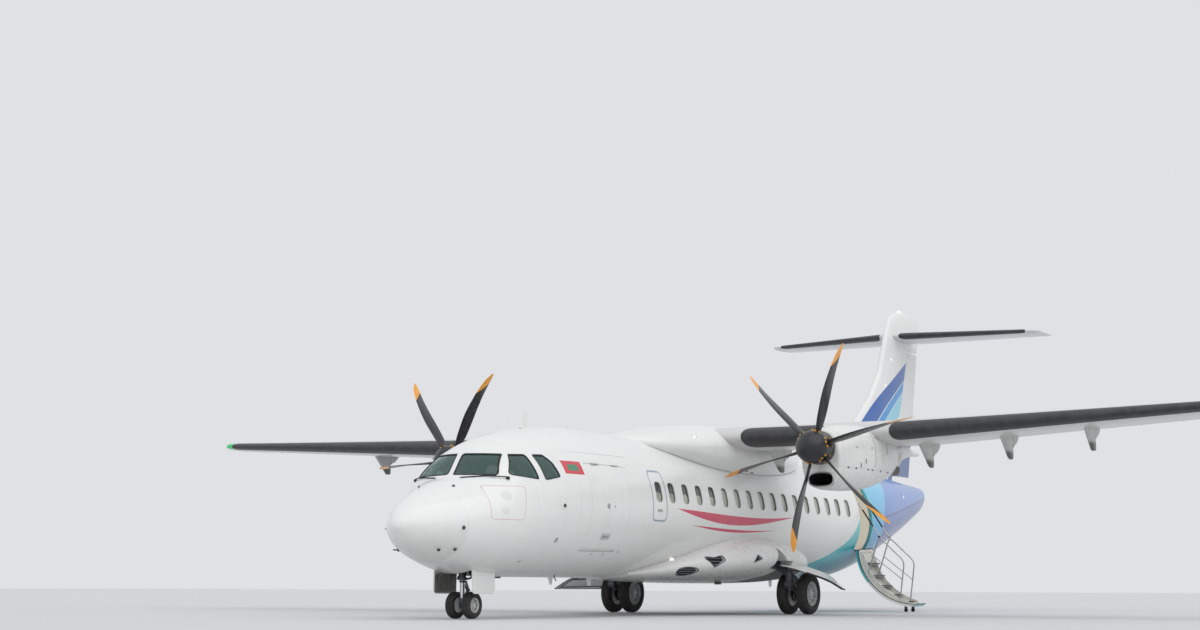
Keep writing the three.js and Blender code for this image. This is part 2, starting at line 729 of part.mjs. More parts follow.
// Saddle over the fuselage crown that blends it into the wing: station, half width, top, bottom
const WING_SADDLE = [
  [6560, 420, 3400, 3150],
  [7100, 900, 3470, 3000],
  [7900, 1210, 3590, 2830],
  [8800, 1380, 3740, 2660],
  [9700, 1430, 3810, 2590],
  [10700, 1420, 3790, 2590],
  [11700, 1340, 3690, 2650],
  [12700, 1120, 3560, 2800],
  [13600, 620, 3440, 3120],
];
// Belly fairing with the gear pods: station, half width, top, bottom
const GEAR_FAIRING = [
  [6300, 640, 860, 690],
  [7100, 1150, 1080, 655],
  [8000, 1560, 1330, 630],
  [8900, 1880, 1520, 615],
  [9700, 2050, 1600, 610],
  [10600, 2080, 1590, 610],
  [11300, 1950, 1500, 620],
  [11900, 1660, 1330, 650],
  [12260, 1250, 1120, 690],
];

function fairingRing([s, halfWidth, top, bottom], squareness) {
  const ring = [];
  const sides = 28;
  const middle = (top + bottom) / 2;
  for (let i = 0; i < sides; i += 1) {
    const angle = (i / sides) * 2 * Math.PI;
    const c = Math.cos(angle);
    const d = Math.sin(angle);
    const x = Math.sign(d) * Math.abs(d) ** squareness * halfWidth;
    const z = Math.sign(c) * Math.abs(c) ** squareness * (top - bottom) / 2;
    ring.push(new THREE.Vector3(x, alongFuselage(s), middle + z));
  }
  return ring;
}

// Main wheel well, port side: open through the pod's side below the shoulder, walled above it
const WHEEL_WELL = { inner: 420, outer: 1930, wall: 1800, front: 9950, rear: 11400, shoulder: 985, top: 1230 };

function wellRoom(side) {
  const well = WHEEL_WELL;
  const room = join(
    box(well.inner, well.outer, well.front, well.rear, 300, well.shoulder),
    box(well.inner, well.wall, well.front, well.rear, well.shoulder - 10, well.top),
  );
  return side > 0 ? room : mirrored(room);
}

const JACK_PAD = { radius: 70, depth: 25 };

// Round flat-faced jacking pad under the belly
function jackPad(x, s, z) {
  return bar([x, s, z], [x, s, z - JACK_PAD.depth - 60], JACK_PAD.radius, 20).translate([0, 0, 60]);
}

function makeFuselage(centreWing) {
  const joints = PANEL_JOINTS;
  const half = SEAM / 2;
  addPiece('radome', fuselageBody(0, joints.radome - half), WHITE);
  makeCockpit();
  makeForwardFuselage();

  const centre = cut(
    fuselageBody(joints.forward + half, joints.centre - half),
    centreWing, wellRoom(1), wellRoom(-1),
  );
  addPiece('centre_fuselage', centre, WHITE);

  const grown = fuselageBody(5000, 15000, -SEAM);
  const saddle = cut(solid(loft(WING_SADDLE.map((row) => fairingRing(row, 0.9)))), grown, centreWing);
  addPiece('wing_fairing', saddle, WHITE);

  const pads = join(jackPad(900, 9400, 612), jackPad(-900, 9400, 612));
  const slot = join(
    box(LEG_SLOT.inner, LEG_SLOT.outer, LEG_SLOT.front, LEG_SLOT.rear, 300, LEG_SLOT.top),
    sidePrism(LEG_SLOT.mouth, LEG_SLOT.inner, LEG_SLOT.outer),
  );
  const pod = cut(
    join(solid(loft(GEAR_FAIRING.map((row) => fairingRing(row, 0.86)))), pads),
    grown, wellRoom(1), wellRoom(-1), slot, mirrored(slot),
  );
  addPiece('gear_fairing', pod, WHITE);

  makeAftFuselage();
  const tailCut = finBody(SEAM);
  const tail = cut(
    fuselageBody(joints.aft + half, joints.tail - half),
    fuselageBody(joints.aft + SKIN, joints.tail, SKIN), tailCut,
  );
  addPiece('tail_section', tail, BLUE);
  const cone = cut(
    fuselageBody(joints.tail + half, LENGTH),
    fuselageBody(joints.tail, 22000, SKIN), tailCut,
  );
  addPiece('tail_cone', cone, BLUE);
}

// Cockpit window openings: outlines across the nose [x, z] and on the side [station, z], port side
const WINDSCREEN = [[45, 2380], [835, 2365], [650, 2757], [45, 2765]];
const SIDE_WINDOWS = [
  [[1840, 2385], [2425, 2318], [2440, 2765], [2140, 2755]],
  [[2550, 2312], [2965, 2390], [2915, 2640], [2800, 2775], [2560, 2768]],
];

// Nose gear well in the belly
const NOSE_WELL = { half: 370, front: 1600, rear: 2250, top: 1250 };

function makeCockpit() {
  const half = SEAM / 2;
  const joints = PANEL_JOINTS;
  const outer = fuselageBody(joints.radome + half, joints.cockpit - half);
  const cavity = fuselageBody(1250, joints.cockpit + 10, SKIN)
    .intersect(box(-2000, 2000, 1150, joints.cockpit + 20, FLOOR_TOP, 4000));
  const gearWell = box(-NOSE_WELL.half, NOSE_WELL.half, NOSE_WELL.front, NOSE_WELL.rear, 300, NOSE_WELL.top);
  const windows = [];
  windows.push(crossPrism(WINDSCREEN, 1150, 2350));
  for (const outline of SIDE_WINDOWS) windows.push(sidePrism(outline, 500, 1500));
  const openings = windows.flatMap((w) => [w, mirrored(w)]);
  const pad = jackPad(0, 2900, 702);
  const shell = join(cut(outer, cavity, gearWell, ...openings), pad);
  addPiece('cockpit_section', shell, WHITE);

  const glassOuter = fuselageBody(1260, 3100, SKIN + SEAM);
  const glassInner = fuselageBody(1240, 3200, SKIN + 14);
  const band = box(-2000, 2000, 1320, 3050, 2290, 2860);
  addPiece('cockpit_glazing', glassOuter.subtract(glassInner).intersect(band), GLASS);

  const panel = join(
    box(-1000, 1000, 1560, 1700, 1700, 2230),
    box(-180, 180, 1640, 2100, FLOOR_TOP + SEAM, 1850),
  ).intersect(fuselageBody(1250, joints.cockpit, SKIN + SEAM));
  addPiece('instrument_panel', panel, BLACK);
  for (const [side, sign] of [['port', 1], ['starboard', -1]]) {
    const seat = join(
      box(290, 790, 2150, 2600, FLOOR_TOP + SEAM, 1840),
      box(290, 790, 2550, 2700, 1700, 2520),
      box(420, 660, 2570, 2680, 2500, 2680),
    );
    addPiece(`pilot_seat_${side}`, sign > 0 ? seat : mirrored(seat), SEAT);
  }
}

// Shell of a fuselage run with a floor inside it and its front wall closed
function shellWithFloor(from, to, frontWall, rearWall) {
  const outer = fuselageBody(from, to);
  const cavity = fuselageBody(from + frontWall, to - rearWall, SKIN);
  const floor = fuselageBody(from + 1, to - rearWall - 1, SKIN - 5)
    .intersect(box(-2000, 2000, from, to, FLOOR_TOP - FLOOR_THICKNESS, FLOOR_TOP));
  return join(outer.subtract(cavity), floor);
}

// The door leaf is the skin itself inside a box, with a running gap round it
function doorLeaf(door, thickness, gap) {
  const from = door.front - 400;
  const to = door.rear + 400;
  const leaf = fuselageBody(from, to).subtract(fuselageBody(from - 10, to + 10, thickness));
  return leaf.intersect(box(300, 2000, door.front + gap, door.rear - gap, door.sill + gap, door.top - gap));
}

function doorOpening(door) {
  return box(300, 2000, door.front, door.rear, door.sill, door.top);
}

function makeForwardFuselage() {
  const half = SEAM / 2;
  const body = shellWithFloor(PANEL_JOINTS.cockpit + half, PANEL_JOINTS.forward - half, SKIN, 0);
  const door = CARGO_DOOR;
  const hinge = cargoHinge();
  const inside = fuselageBody(PANEL_JOINTS.cockpit + SKIN, PANEL_JOINTS.forward, SKIN - 10);
  let fuselage = body.subtract(doorOpening(door));
  let leaf = doorLeaf(door, SKIN, RUNNING_GAP);
  for (const [from, to] of CARGO_HINGE.tubes) {
    leaf = leaf.add(bar([hinge.x, from, hinge.z], [hinge.x, to, hinge.z], CARGO_HINGE.radius, 12));
    leaf = leaf.add(crossPrism([
      [hinge.x - 6, hinge.z - 9], [hinge.x + 6, hinge.z - 9], [hinge.x + 6, hinge.z],
      [hinge.x - 6, hinge.z], [hinge.x - 30, hinge.z - 14], [hinge.x - 130, hinge.z - 40], [hinge.x - 130, hinge.z - 80],
    ], from + 10, to - 10));
    for (const [s0, s1] of [[from - SEAM - 25, from - SEAM], [to + SEAM, to + SEAM + 25]]) {
      const lug = box(hinge.x - 150, hinge.x + 9, s0, s1, hinge.z + 2, hinge.z + 26);
      fuselage = fuselage.add(lug.subtract(inside));
    }
  }
  addPiece('forward_fuselage', fuselage, WHITE);
  addPiece('cargo_door', leaf, WHITE);
}

const CARGO_HINGE = { radius: 9, tubes: [[3980, 4180], [4640, 4840]] };

// Hinge line of the cargo door, just outside the skin at its top edge
function cargoHinge() {
  const door = CARGO_DOOR;
  return { x: skinOffset(door.rear, door.top) + 12, z: door.top - 5 };
}

function makeAftFuselage() {
  const half = SEAM / 2;
  const body = shellWithFloor(PANEL_JOINTS.centre + half, PANEL_JOINTS.aft - half, SKIN, 0);
  const hinge = stairHinge();
  const tube = STAIR_HINGE_TUBE;
  const lugs = [[tube.front - SEAM - tube.lug, tube.front - SEAM], [tube.rear + SEAM, tube.rear + SEAM + tube.lug]]
    .map(([s0, s1]) => box(hinge.x - 200, hinge.x + 18, s0, s1, hinge.z - 24, hinge.z + 6));
  const holed = body.subtract(doorOpening(PASSENGER_DOOR));
  const inside = fuselageBody(PANEL_JOINTS.centre + SKIN, PANEL_JOINTS.aft, SKIN - 10);
  addPiece('aft_fuselage', join(holed, ...lugs.map((lug) => lug.subtract(inside))), WHITE);
  makeAirstair();
}

// Half width of the skin at a station and a height
function skinOffset(s, z) {
  const middle = interpolate(FUSELAGE, s, 4);
  const reach = z > middle ? interpolate(FUSELAGE, s, 2) - middle : middle - interpolate(FUSELAGE, s, 3);
  const share = Math.abs(z - middle) / reach;
  return interpolate(FUSELAGE, s, 1) * Math.sqrt(Math.max(0, 1 - share ** 2));
}

// Hinge line of the passenger door, just outside the sill
function stairHinge() {
  const door = PASSENGER_DOOR;
  return { x: skinOffset(door.front, door.sill) + 28, z: door.sill - 14 };
}

const STAIR_HINGE_TUBE = { front: 15450, rear: 15900, radius: 16, lug: 30 };

// Airstair fittings; along and off are measured in the door's own frame, from its hinge line
const STAIR = {
  steps: 5, pitch: 290, halfWidth: 290, treadDepth: 215, treadThickness: 26, cheekThickness: 25, cheekDepth: 150,
  railRadius: 15, railSpread: 302, railFoot: [1560, -170], railCorner: [1020, 600], railPivot: [215, 600],
  railPost: [560, -170], railTop: [-670, 820], railBoss: 26, railStep: 36,
};
const STAIR_CHORD_ANGLE = THREE.MathUtils.degToRad(104.4);

// Point of the closed door from its distance along the leaf and off its inner face
function stairPoint([along, off], s) {
  const hinge = stairHinge();
  const c = Math.cos(STAIR_CHORD_ANGLE);
  const d = Math.sin(STAIR_CHORD_ANGLE);
  return [hinge.x + along * c - off * d, s, hinge.z + along * d + off * c];
}

// Arm from the door's lower edge out to its hinge tube
function sidewaysArm(skin, hinge, s0, s1) {
  const outline = [
    [hinge.x - 10, hinge.z - 8], [hinge.x + 10, hinge.z - 8], [hinge.x + 10, hinge.z + 40],
    [skin - 20, PASSENGER_DOOR.sill + 90], [skin - 30, PASSENGER_DOOR.sill + 60],
    [skin - 5, PASSENGER_DOOR.sill + 24],
  ];
  return crossPrism(outline, s0, s1);
}

// One tread, level once the door is open
function stairTread(x, z, middle) {
  const half = STAIR.treadThickness / 2;
  const tipX = x - 40 + STAIR.treadDepth * Math.cos(STAIR_OPEN_ANGLE);
  const tipZ = z + STAIR.treadDepth * Math.sin(STAIR_OPEN_ANGLE);
  const outline = [[x - 30, z - half], [x - 30, z + half], [tipX, tipZ + half], [tipX, tipZ - half]];
  return crossPrism(outline, middle - STAIR.halfWidth - 5, middle + STAIR.halfWidth + 5);
}

// Side cheek that carries the treads' ends, following the curve of the door
function stairCheek(s0, s1) {
  const zs = [90, 400, 800, 1200, 1480, 1640].map((up) => PASSENGER_DOOR.sill + up);
  const middle = (s0 + s1) / 2;
  const outer = zs.map((z) => [skinOffset(middle, z) - 30, z]);
  const inner = zs.map((z) => [skinOffset(middle, z) - 30 - STAIR.cheekDepth, z]).reverse();
  return crossPrism([...outer, ...inner], s0, s1);
}

// Fixed lower handrail on one cheek: two posts and the rail between their tops
function stairRail(s) {
  const path = [STAIR.railFoot, STAIR.railCorner, STAIR.railPivot, STAIR.railPost].map((point) => stairPoint(point, s));
  const runs = path.slice(1).map((point, i) => bar(path[i], point, STAIR.railRadius, 6));
  const boss = stairPoint(STAIR.railPivot, s);
  const half = STAIR.railStep / 2 - SEAM / 2;
  return join(...runs, bar([boss[0], s - half, boss[2]], [boss[0], s + half, boss[2]], STAIR.railBoss, 8));
}

// Folding upper handrail beside the lower one, reaching up to the door frame
function foldingRail(s, towardsMiddle) {
  const step = STAIR.railStep * towardsMiddle;
  const from = stairPoint(STAIR.railPivot, s + step);
  const to = stairPoint(STAIR.railTop, s + step);
  const half = STAIR.railStep / 2 - SEAM / 2;
  const boss = bar([from[0], s + step - half, from[2]], [from[0], s + step + half, from[2]], STAIR.railBoss, 8);
  return join(bar(from, to, STAIR.railRadius, 6), boss);
}

// Airstair door, drawn closed about its hinge line and swung down open
function makeAirstair() {
  const door = PASSENGER_DOOR;
  const hinge = stairHinge();
  const leaf = doorLeaf(door, 50, RUNNING_GAP);
  const swing = new THREE.Group();
  swing.position.set(hinge.x, 0, hinge.z);
  swing.rotation.y = STAIR_OPEN_ANGLE;
  group.add(swing);
  const local = (body) => body.translate([-hinge.x, 0, -hinge.z]);

  const tube = STAIR_HINGE_TUBE;
  let stair = leaf.add(bar([hinge.x, tube.front, hinge.z], [hinge.x, tube.rear, hinge.z], tube.radius, 8));
  for (const s of [tube.front, tube.rear - 40]) {
    const skin = skinOffset(s + 20, door.sill);
    stair = stair.add(sidewaysArm(skin, hinge, s, s + 40));
  }
  const middle = (door.front + door.rear) / 2;
  for (let i = 1; i <= STAIR.steps; i += 1) {
    const z = door.sill + i * STAIR.pitch;
    const x = skinOffset(middle, z);
    stair = stair.add(stairTread(x, z, middle));
  }
  const sides = [['front', middle - STAIR.railSpread, 1], ['rear', middle + STAIR.railSpread, -1]];
  for (const [side, s, towardsMiddle] of sides) {
    const half = STAIR.cheekThickness / 2;
    stair = stair.add(stairCheek(s - half, s + half)).add(stairRail(s));
    addPiece(`handrail_${side}`, local(foldingRail(s, towardsMiddle)), STEEL, swing);
  }
  addPiece('airstair_door', local(stair), WHITE, swing);
}

// Fin: height, nose station, thickness
const FIN = [
  [3020, 15700, 430],
  [3450, 16500, 420],
  [3900, 17330, 400],
  [4500, 18300, 375],
  [5200, 19230, 345],
  [5900, 19880, 310],
  [6620, 20200, 285],
];
const FIN_TOP = [
  [6620 + SEAM, 20200, 285, 22470],
  [7000, 20380, 280, 22600],
  [7330, 20600, 250, 22640],
  [7490, 20860, 180, 22610],
  [HEIGHT, 21300, 60, 22460],
];
const RUDDER = { bottom: 3330, top: 6560 };
const NOSE_SHARE = 0.94;

function rudderHingeStation(z) {
  return 21100 + 0.373 * (z - 4900);
}

function rudderTailStation(z) {
  return 22080 + 0.224 * (z - 4850);
}

// Symmetric upright section of a fin between a nose and a tail station
function uprightRing(z, nose, tail, thickness, grow = 0) {
  const chord = tail - nose + 2 * grow;
  const share = (thickness + 2 * grow) / chord;
  return sectionOutline(share, 0).map(([fraction, height]) => new THREE.Vector3(
    height * chord, alongFuselage(nose - grow + fraction * chord), z,
  ));
}

function finHalfThickness(z) {
  const nose = interpolate(FIN, z, 1);
  const tail = rudderTailStation(z);
  const fraction = (rudderHingeStation(z) - nose) / (tail - nose);
  return sectionHalfThickness(fraction, interpolate(FIN, z, 2) / (tail - nose)) * (tail - nose);
}

// Rudder nose radius, straight from its foot to its head
function rudderNose(z) {
  const share = (z - RUDDER.bottom) / (RUDDER.top - RUDDER.bottom);
  const foot = finHalfThickness(RUDDER.bottom) * NOSE_SHARE;
  const head = finHalfThickness(RUDDER.top) * NOSE_SHARE;
  return foot + share * (head - foot);
}

// The fixed fin, from below the fuselage skin up to the tailplane fairing
function finBody(grow) {
  const rings = FIN.map(([z, nose, thickness]) => uprightRing(z, nose, rudderTailStation(z), thickness, grow));
  const whole = solid(loft(rings));
  const line = (z) => rudderHingeStation(z) - rudderNose(z) - RUNNING_GAP + grow;
  const rear = 24000;
  const room = sidePrism([[line(2900), 2900], [line(6700), 6700], [rear, 6700], [rear, 2900]], -500, 500);
  return whole.subtract(room);
}

function makeFin() {
  const grown = fuselageBody(15000, LENGTH, -SEAM);
  const rings = [RUDDER.bottom, RUDDER.top].map((z) => {
    const place = (s, across) => new THREE.Vector3(across, alongFuselage(s), z);
    return surfaceRing(place, rudderHingeStation(z), rudderNose(z), rudderTailStation(z), 6);
  });
  const point = (z) => [0, rudderHingeStation(z), z];
  const axis = [0, rudderHingeStation(RUDDER.top) - rudderHingeStation(RUDDER.bottom), RUDDER.top - RUDDER.bottom];
  const spots = [RUDDER.bottom + 500, RUDDER.top - 500].map(point);
  const reach = (spot) => rudderNose(spot[2]) + 60;
  const [rudder, fin] = addHinges(solid(loft(rings)), finBody(0).subtract(grown), spots, axis, reach);
  addPiece('fin', fin, WHITE);
  addPiece('rudder', rudder, WHITE);
}

// Tailplane
const TAIL_ROOT = { nose: 20560, tail: 22520, thickness: 0.12 };
const TAIL_TIP = { nose: 21330, tail: 22540, thickness: 0.1 };
const TAIL_HEIGHT = 6880;
const ELEVATOR = { inner: 250, outer: 3560, rootChord: 660, tipChord: 470 };

function tailAt(x) {
  const t = Math.abs(x) / (TAIL_SPAN / 2);
  return {
    nose: TAIL_ROOT.nose + t * (TAIL_TIP.nose - TAIL_ROOT.nose),
    tail: TAIL_ROOT.tail + t * (TAIL_TIP.tail - TAIL_ROOT.tail),
    thickness: TAIL_ROOT.thickness + t * (TAIL_TIP.thickness - TAIL_ROOT.thickness),
  };
}

function tailRing(x, grow = 0, share = 1) {
  const at = tailAt(x);
  const chord = at.tail - at.nose;
  const length = chord * (1 - 0.15 * (1 - share)) + 2 * grow;
  const nose = at.nose - grow + 0.1 * chord * (1 - share);
  const outline = sectionOutline((at.thickness * chord * share + 2 * grow) / length, 0);
  return outline.map(([fraction, height]) => new THREE.Vector3(
    x, alongFuselage(nose + fraction * length), TAIL_HEIGHT + height * length,
  ));
}

function elevatorHinge(x) {
  const at = tailAt(x);
  const chord = at.tail - at.nose;
  const t = Math.abs(x) / (TAIL_SPAN / 2);
  const own = ELEVATOR.rootChord + t * (ELEVATOR.tipChord - ELEVATOR.rootChord);
  const front = at.tail - own;
  const half = sectionHalfThickness((front - at.nose) / chord, at.thickness) * chord;
  return { s: front + half, radius: half * 0.92, front: front - RUNNING_GAP };
}

function makeTailplane() {
  const tip = TAIL_SPAN / 2;
  const stations = [[-tip, 0.2], [-tip + 45, 0.75], [-tip + 110, 1], [0, 1], [tip - 110, 1], [tip - 45, 0.75], [tip, 0.2]];
  let fixed = solid(loft(stations.map(([x, share]) => tailRing(x, 0, share))));
  const rear = 24000;
  const roomHalf = 600;
  const room = (x0, x1) => solid(loft([x0, x1].map((x) => {
    const front = elevatorHinge(x).front;
    return [[front, -roomHalf], [front, roomHalf], [rear, roomHalf], [rear, -roomHalf]].map(([s, up]) => new THREE.Vector3(
      x, alongFuselage(s), TAIL_HEIGHT + up,
    ));
  })));
  fixed = cut(fixed, room(0, ELEVATOR.outer + RUNNING_GAP), mirrored(room(0, ELEVATOR.outer + RUNNING_GAP)));
  const rings = [ELEVATOR.inner, ELEVATOR.outer].map((x) => {
    const hinge = elevatorHinge(x);
    const place = (s, up) => new THREE.Vector3(x, alongFuselage(s), TAIL_HEIGHT + up);
    return surfaceRing(place, hinge.s, hinge.radius, tailAt(x).tail, 5);
  });
  const point = (x) => [x, elevatorHinge(x).s, TAIL_HEIGHT];
  const ends = [point(ELEVATOR.inner), point(ELEVATOR.outer)];
  const axis = ends[1].map((v, i) => v - ends[0][i]);
  const spots = [0.12, 0.88].map((share) => ends[0].map((v, i) => v + share * axis[i]));
  const reach = (spot) => elevatorHinge(spot[0]).radius + 40;
  const portSide = box(0, 5000, 20000, rear, 6000, 8000);
  const halfTail = fixed.intersect(portSide);
  const [elevator, halfWithHinges] = addHinges(solid(loft(rings)), halfTail, spots, axis, reach);
  addPiece('tailplane', join(fixed, halfWithHinges, mirrored(halfWithHinges)), WHITE);
  addPiece('elevator_port', elevator, WHITE);
  addPiece('elevator_starboard', mirrored(elevator), WHITE);

  const crown = solid(loft(FIN_TOP.map(([z, nose, thickness, tail]) => uprightRing(z, nose, tail, thickness))));
  const grown = solid(loft([[-400, 1], [0, 1], [400, 1]].map(([x, share]) => tailRing(x, 4 * SEAM, share))))
    .subtract(box(-600, 600, elevatorHinge(300).front + 10, rear, 6000, 8000));
  addPiece('fin_top', crown.subtract(grown), WHITE);
}

// Wheel rim and tyre profiles as [radius, along the axle] points, turned about the Z axis of their frame
function turned(profile, segments = WHEEL_SEGMENTS) {
  const points = profile.map(([radius, along]) => new THREE.Vector2(radius, along));
  return solid(outwards(new THREE.LatheGeometry([...points, points[0]], segments, Math.PI / segments)));
}

// Tyre that stands on one of its flats; the radius is the height of the axle over the ground
function tyreBody(radius, rim, width) {
  const w = width / 2;
  const crown = radius / Math.cos(Math.PI / WHEEL_SEGMENTS);
  const profile = [
    [rim + SEAM, -w * 0.72], [rim + (radius - rim) * 0.4, -w], [radius - 30, -w * 0.9],
    [crown, -w * 0.5], [crown, w * 0.5], [radius - 30, w * 0.9],
    [rim + (radius - rim) * 0.4, w], [rim + SEAM, w * 0.72],
  ];
  return turned(profile);
}

function rimBody(rim, width) {
  const w = width / 2;
  const dish = w * 0.35;
  const profile = [
    [0, -dish], [rim * 0.8, -dish], [rim, -w * 0.74], [rim, w * 0.74], [rim * 0.8, dish], [0, dish],
  ];
  return turned(profile);
}

// Lays a wheel across the aircraft with its axle along X
function across(body, x, s, z) {
  return body.rotate([0, 0, 90]).translate([x, alongFuselage(s), z]);
}

function wheelPair(name, centre, spacing, size) {
  const offsets = [spacing / 2, -spacing / 2];
  const rims = offsets.map((dx) => across(rimBody(size.rim, size.width), centre[0] + dx, centre[1], centre[2]));
  const half = spacing / 2;
  const axle = bar([centre[0] - half, centre[1], centre[2]], [centre[0] + half, centre[1], centre[2]], size.axle, AXLE_SIDES);
  addPiece(`${name}_wheels`, join(...rims, axle), ALLOY);
  const labels = size.labels;
  offsets.forEach((dx, i) => {
    const tyre = across(tyreBody(size.radius, size.rim, size.width), centre[0] + dx, centre[1], centre[2]);
    addPiece(`${name}_tyre_${labels[i]}`, tyre, RUBBER);
  });
}

const NOSE_AXLE = [0, NOSE_GEAR_STATION, NOSE_TYRE_RADIUS];
const STEERING_STATION = NOSE_GEAR_STATION - 40;

function makeNoseGear() {
  const s = STEERING_STATION;
  const leg = join(
    bar([0, s, 640], [0, s, 1250 - SEAM], 62),
    bar([0, s, 760], [0, 1660, 1180], 32, 8),
    bar([4 - NOSE_WELL.half, s, 1090], [NOSE_WELL.half - 4, s, 1090], 40, 8),
    bar([0, s, 640], [0, s, 690], 85),
  );
  addPiece('nose_gear_leg', leg, STEEL);
  const eye = cut(
    join(
      bar([0, s, NOSE_TYRE_RADIUS + 30], [0, s, 640 - SEAM], 42),
      bar([-62, NOSE_GEAR_STATION, NOSE_TYRE_RADIUS], [62, NOSE_GEAR_STATION, NOSE_TYRE_RADIUS], 52),
      box(-42, 42, s - 20, s + 60, NOSE_TYRE_RADIUS, NOSE_TYRE_RADIUS + 70),
      box(-26, 26, s + 30, s + 130, 330, 380),
      bar([0, s + 105, 355], [0, s + 60, 600], 16, 8),
    ),
    bar([-100, NOSE_GEAR_STATION, NOSE_TYRE_RADIUS], [100, NOSE_GEAR_STATION, NOSE_TYRE_RADIUS], 30.8, AXLE_SIDES),
  );
  addPiece('nose_gear_fork', eye, STEEL);
  const size = {
    rim: NOSE_RIM_RADIUS, radius: NOSE_TYRE_RADIUS, width: NOSE_TYRE_WIDTH, axle: 30, labels: ['port', 'starboard'],
  };
  wheelPair('nose', NOSE_AXLE, NOSE_TWIN_SPACING, size);
  const doorOutline = [[374, 900], [397, 900], [404, 415], [382, 415]];
  const door = crossPrism(doorOutline, NOSE_WELL.front, NOSE_WELL.rear).subtract(fuselageBody(1000, 3000, -SEAM));
  addPiece('nose_gear_door_port', door, WHITE);
  addPiece('nose_gear_door_starboard', mirrored(door), WHITE);
}

// Main gear, port: trailing arm behind a raked leg; points are [x, station, z]
const MAIN_AXLE = [TRACK / 2, MAIN_GEAR_STATION, MAIN_TYRE_RADIUS];
const MAIN_KNEE = [TRACK / 2, MAIN_GEAR_STATION - 420, 600];
const MAIN_SHOULDER = [TRACK / 2, MAIN_GEAR_STATION - 420, 800];
const MAIN_ROOT = [1450, MAIN_GEAR_STATION - 400, 1135];
// Slot in the pod's side for the leg; its mouth is an upright triangle ahead of it, as [station, z]
const LEG_SLOT = {
  inner: 1795, outer: 2200, front: MAIN_GEAR_STATION - 540, rear: MAIN_GEAR_STATION - 290, top: 1060,
  mouth: [[9640, 905], [9870, 1300], [9900, 1300], [10180, 1050], [10180, 870]],
};

function makeMainGear() {
  const arm = join(
    bar(MAIN_ROOT, MAIN_SHOULDER, 70),
    bar([MAIN_SHOULDER[0], MAIN_SHOULDER[1], 860], MAIN_KNEE, 66),
    bar([MAIN_ROOT[0], WHEEL_WELL.front + SEAM, 1130], [MAIN_ROOT[0], WHEEL_WELL.rear - SEAM, 1130], 60),
    bar([MAIN_KNEE[0] - 70, MAIN_KNEE[1], MAIN_KNEE[2]], [MAIN_KNEE[0] + 70, MAIN_KNEE[1], MAIN_KNEE[2]], 88),
    bar(MAIN_KNEE, MAIN_AXLE, 62),
    bar([MAIN_AXLE[0] - 80, MAIN_AXLE[1], MAIN_AXLE[2]], [MAIN_AXLE[0] + 80, MAIN_AXLE[1], MAIN_AXLE[2]], 78),
    bar([MAIN_AXLE[0], MAIN_AXLE[1] - 70, MAIN_AXLE[2] + 60], [MAIN_SHOULDER[0], MAIN_SHOULDER[1] + 30, 800], 42),
  );
  const leg = arm.subtract(bar(
    [MAIN_AXLE[0] - 150, MAIN_AXLE[1], MAIN_AXLE[2]], [MAIN_AXLE[0] + 150, MAIN_AXLE[1], MAIN_AXLE[2]], 50.8, AXLE_SIDES,
  ));
  const size = {
    rim: MAIN_RIM_RADIUS, radius: MAIN_TYRE_RADIUS, width: MAIN_TYRE_WIDTH, axle: 50, labels: ['outer', 'inner'],
  };
  const door = gearDoor();
  for (const [side, sign] of [['port', 1], ['starboard', -1]]) {
    addPiece(`main_gear_leg_${side}`, sign > 0 ? leg : mirrored(leg), STEEL);
    const centre = [sign * MAIN_AXLE[0], MAIN_AXLE[1], MAIN_AXLE[2]];
    const labels = sign > 0 ? ['outer', 'inner'] : ['inner', 'outer'];
    wheelPair(`main_${side}`, centre, MAIN_TWIN_SPACING, { ...size, labels });
    addPiece(`main_gear_door_${side}`, sign > 0 ? door : mirrored(door), WHITE);
  }
}

// Leg door: a curved panel hinged on the pod's lower edge and hanging outwards over the wheels,
// shorter at its rear end; the curve of each end is [x, z]
const LEG_DOOR = {
  thickness: 28, lean: 12,
  ends: [
    { station: 10050, curve: [[1960, 985], [2270, 925], [2650, 805], [3000, 690], [3340, 505]] },
    { station: 11150, curve: [[1960, 985], [2110, 935], [2330, 865], [2570, 760], [2860, 505]] },
  ],
};

function gearDoor() {
  const rings = LEG_DOOR.ends.map(({ station, curve }) => {
    const inner = curve.map(([x, z]) => [x - LEG_DOOR.lean, z - LEG_DOOR.thickness]).reverse();
    return [...curve, ...inner].map(([x, z]) => new THREE.Vector3(x, alongFuselage(station), z));
  });
  const pod = solid(loft(GEAR_FAIRING.map(([s, w, t, b]) => fairingRing([s, w + 0.7, t + 0.7, b - 0.7], 0.86))));
  return solid(loft(rings)).subtract(pod);
}

const centreWingFixed = makeWing();
const wingGrown = wingBody(-WING_BREAK, WING_BREAK, SEAM);
addPiece('centre_wing', centreWingFixed, WHITE);
makeNacelle(wingGrown);
makeFuselage(wingGrown);
makePropellers();
makeFin();
makeTailplane();
makeNoseGear();
makeMainGear();

export default group;
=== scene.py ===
"""Looks of a parked twin-turboprop airliner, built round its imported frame.

Metres; the nose points along -Y, port is +X and the ground is z = 0. Stations are distances from the nose.
"""
import math

import bmesh
import bpy
import numpy as np
from mathutils import Matrix, Vector, interpolate
from mathutils.bvhtree import BVHTree


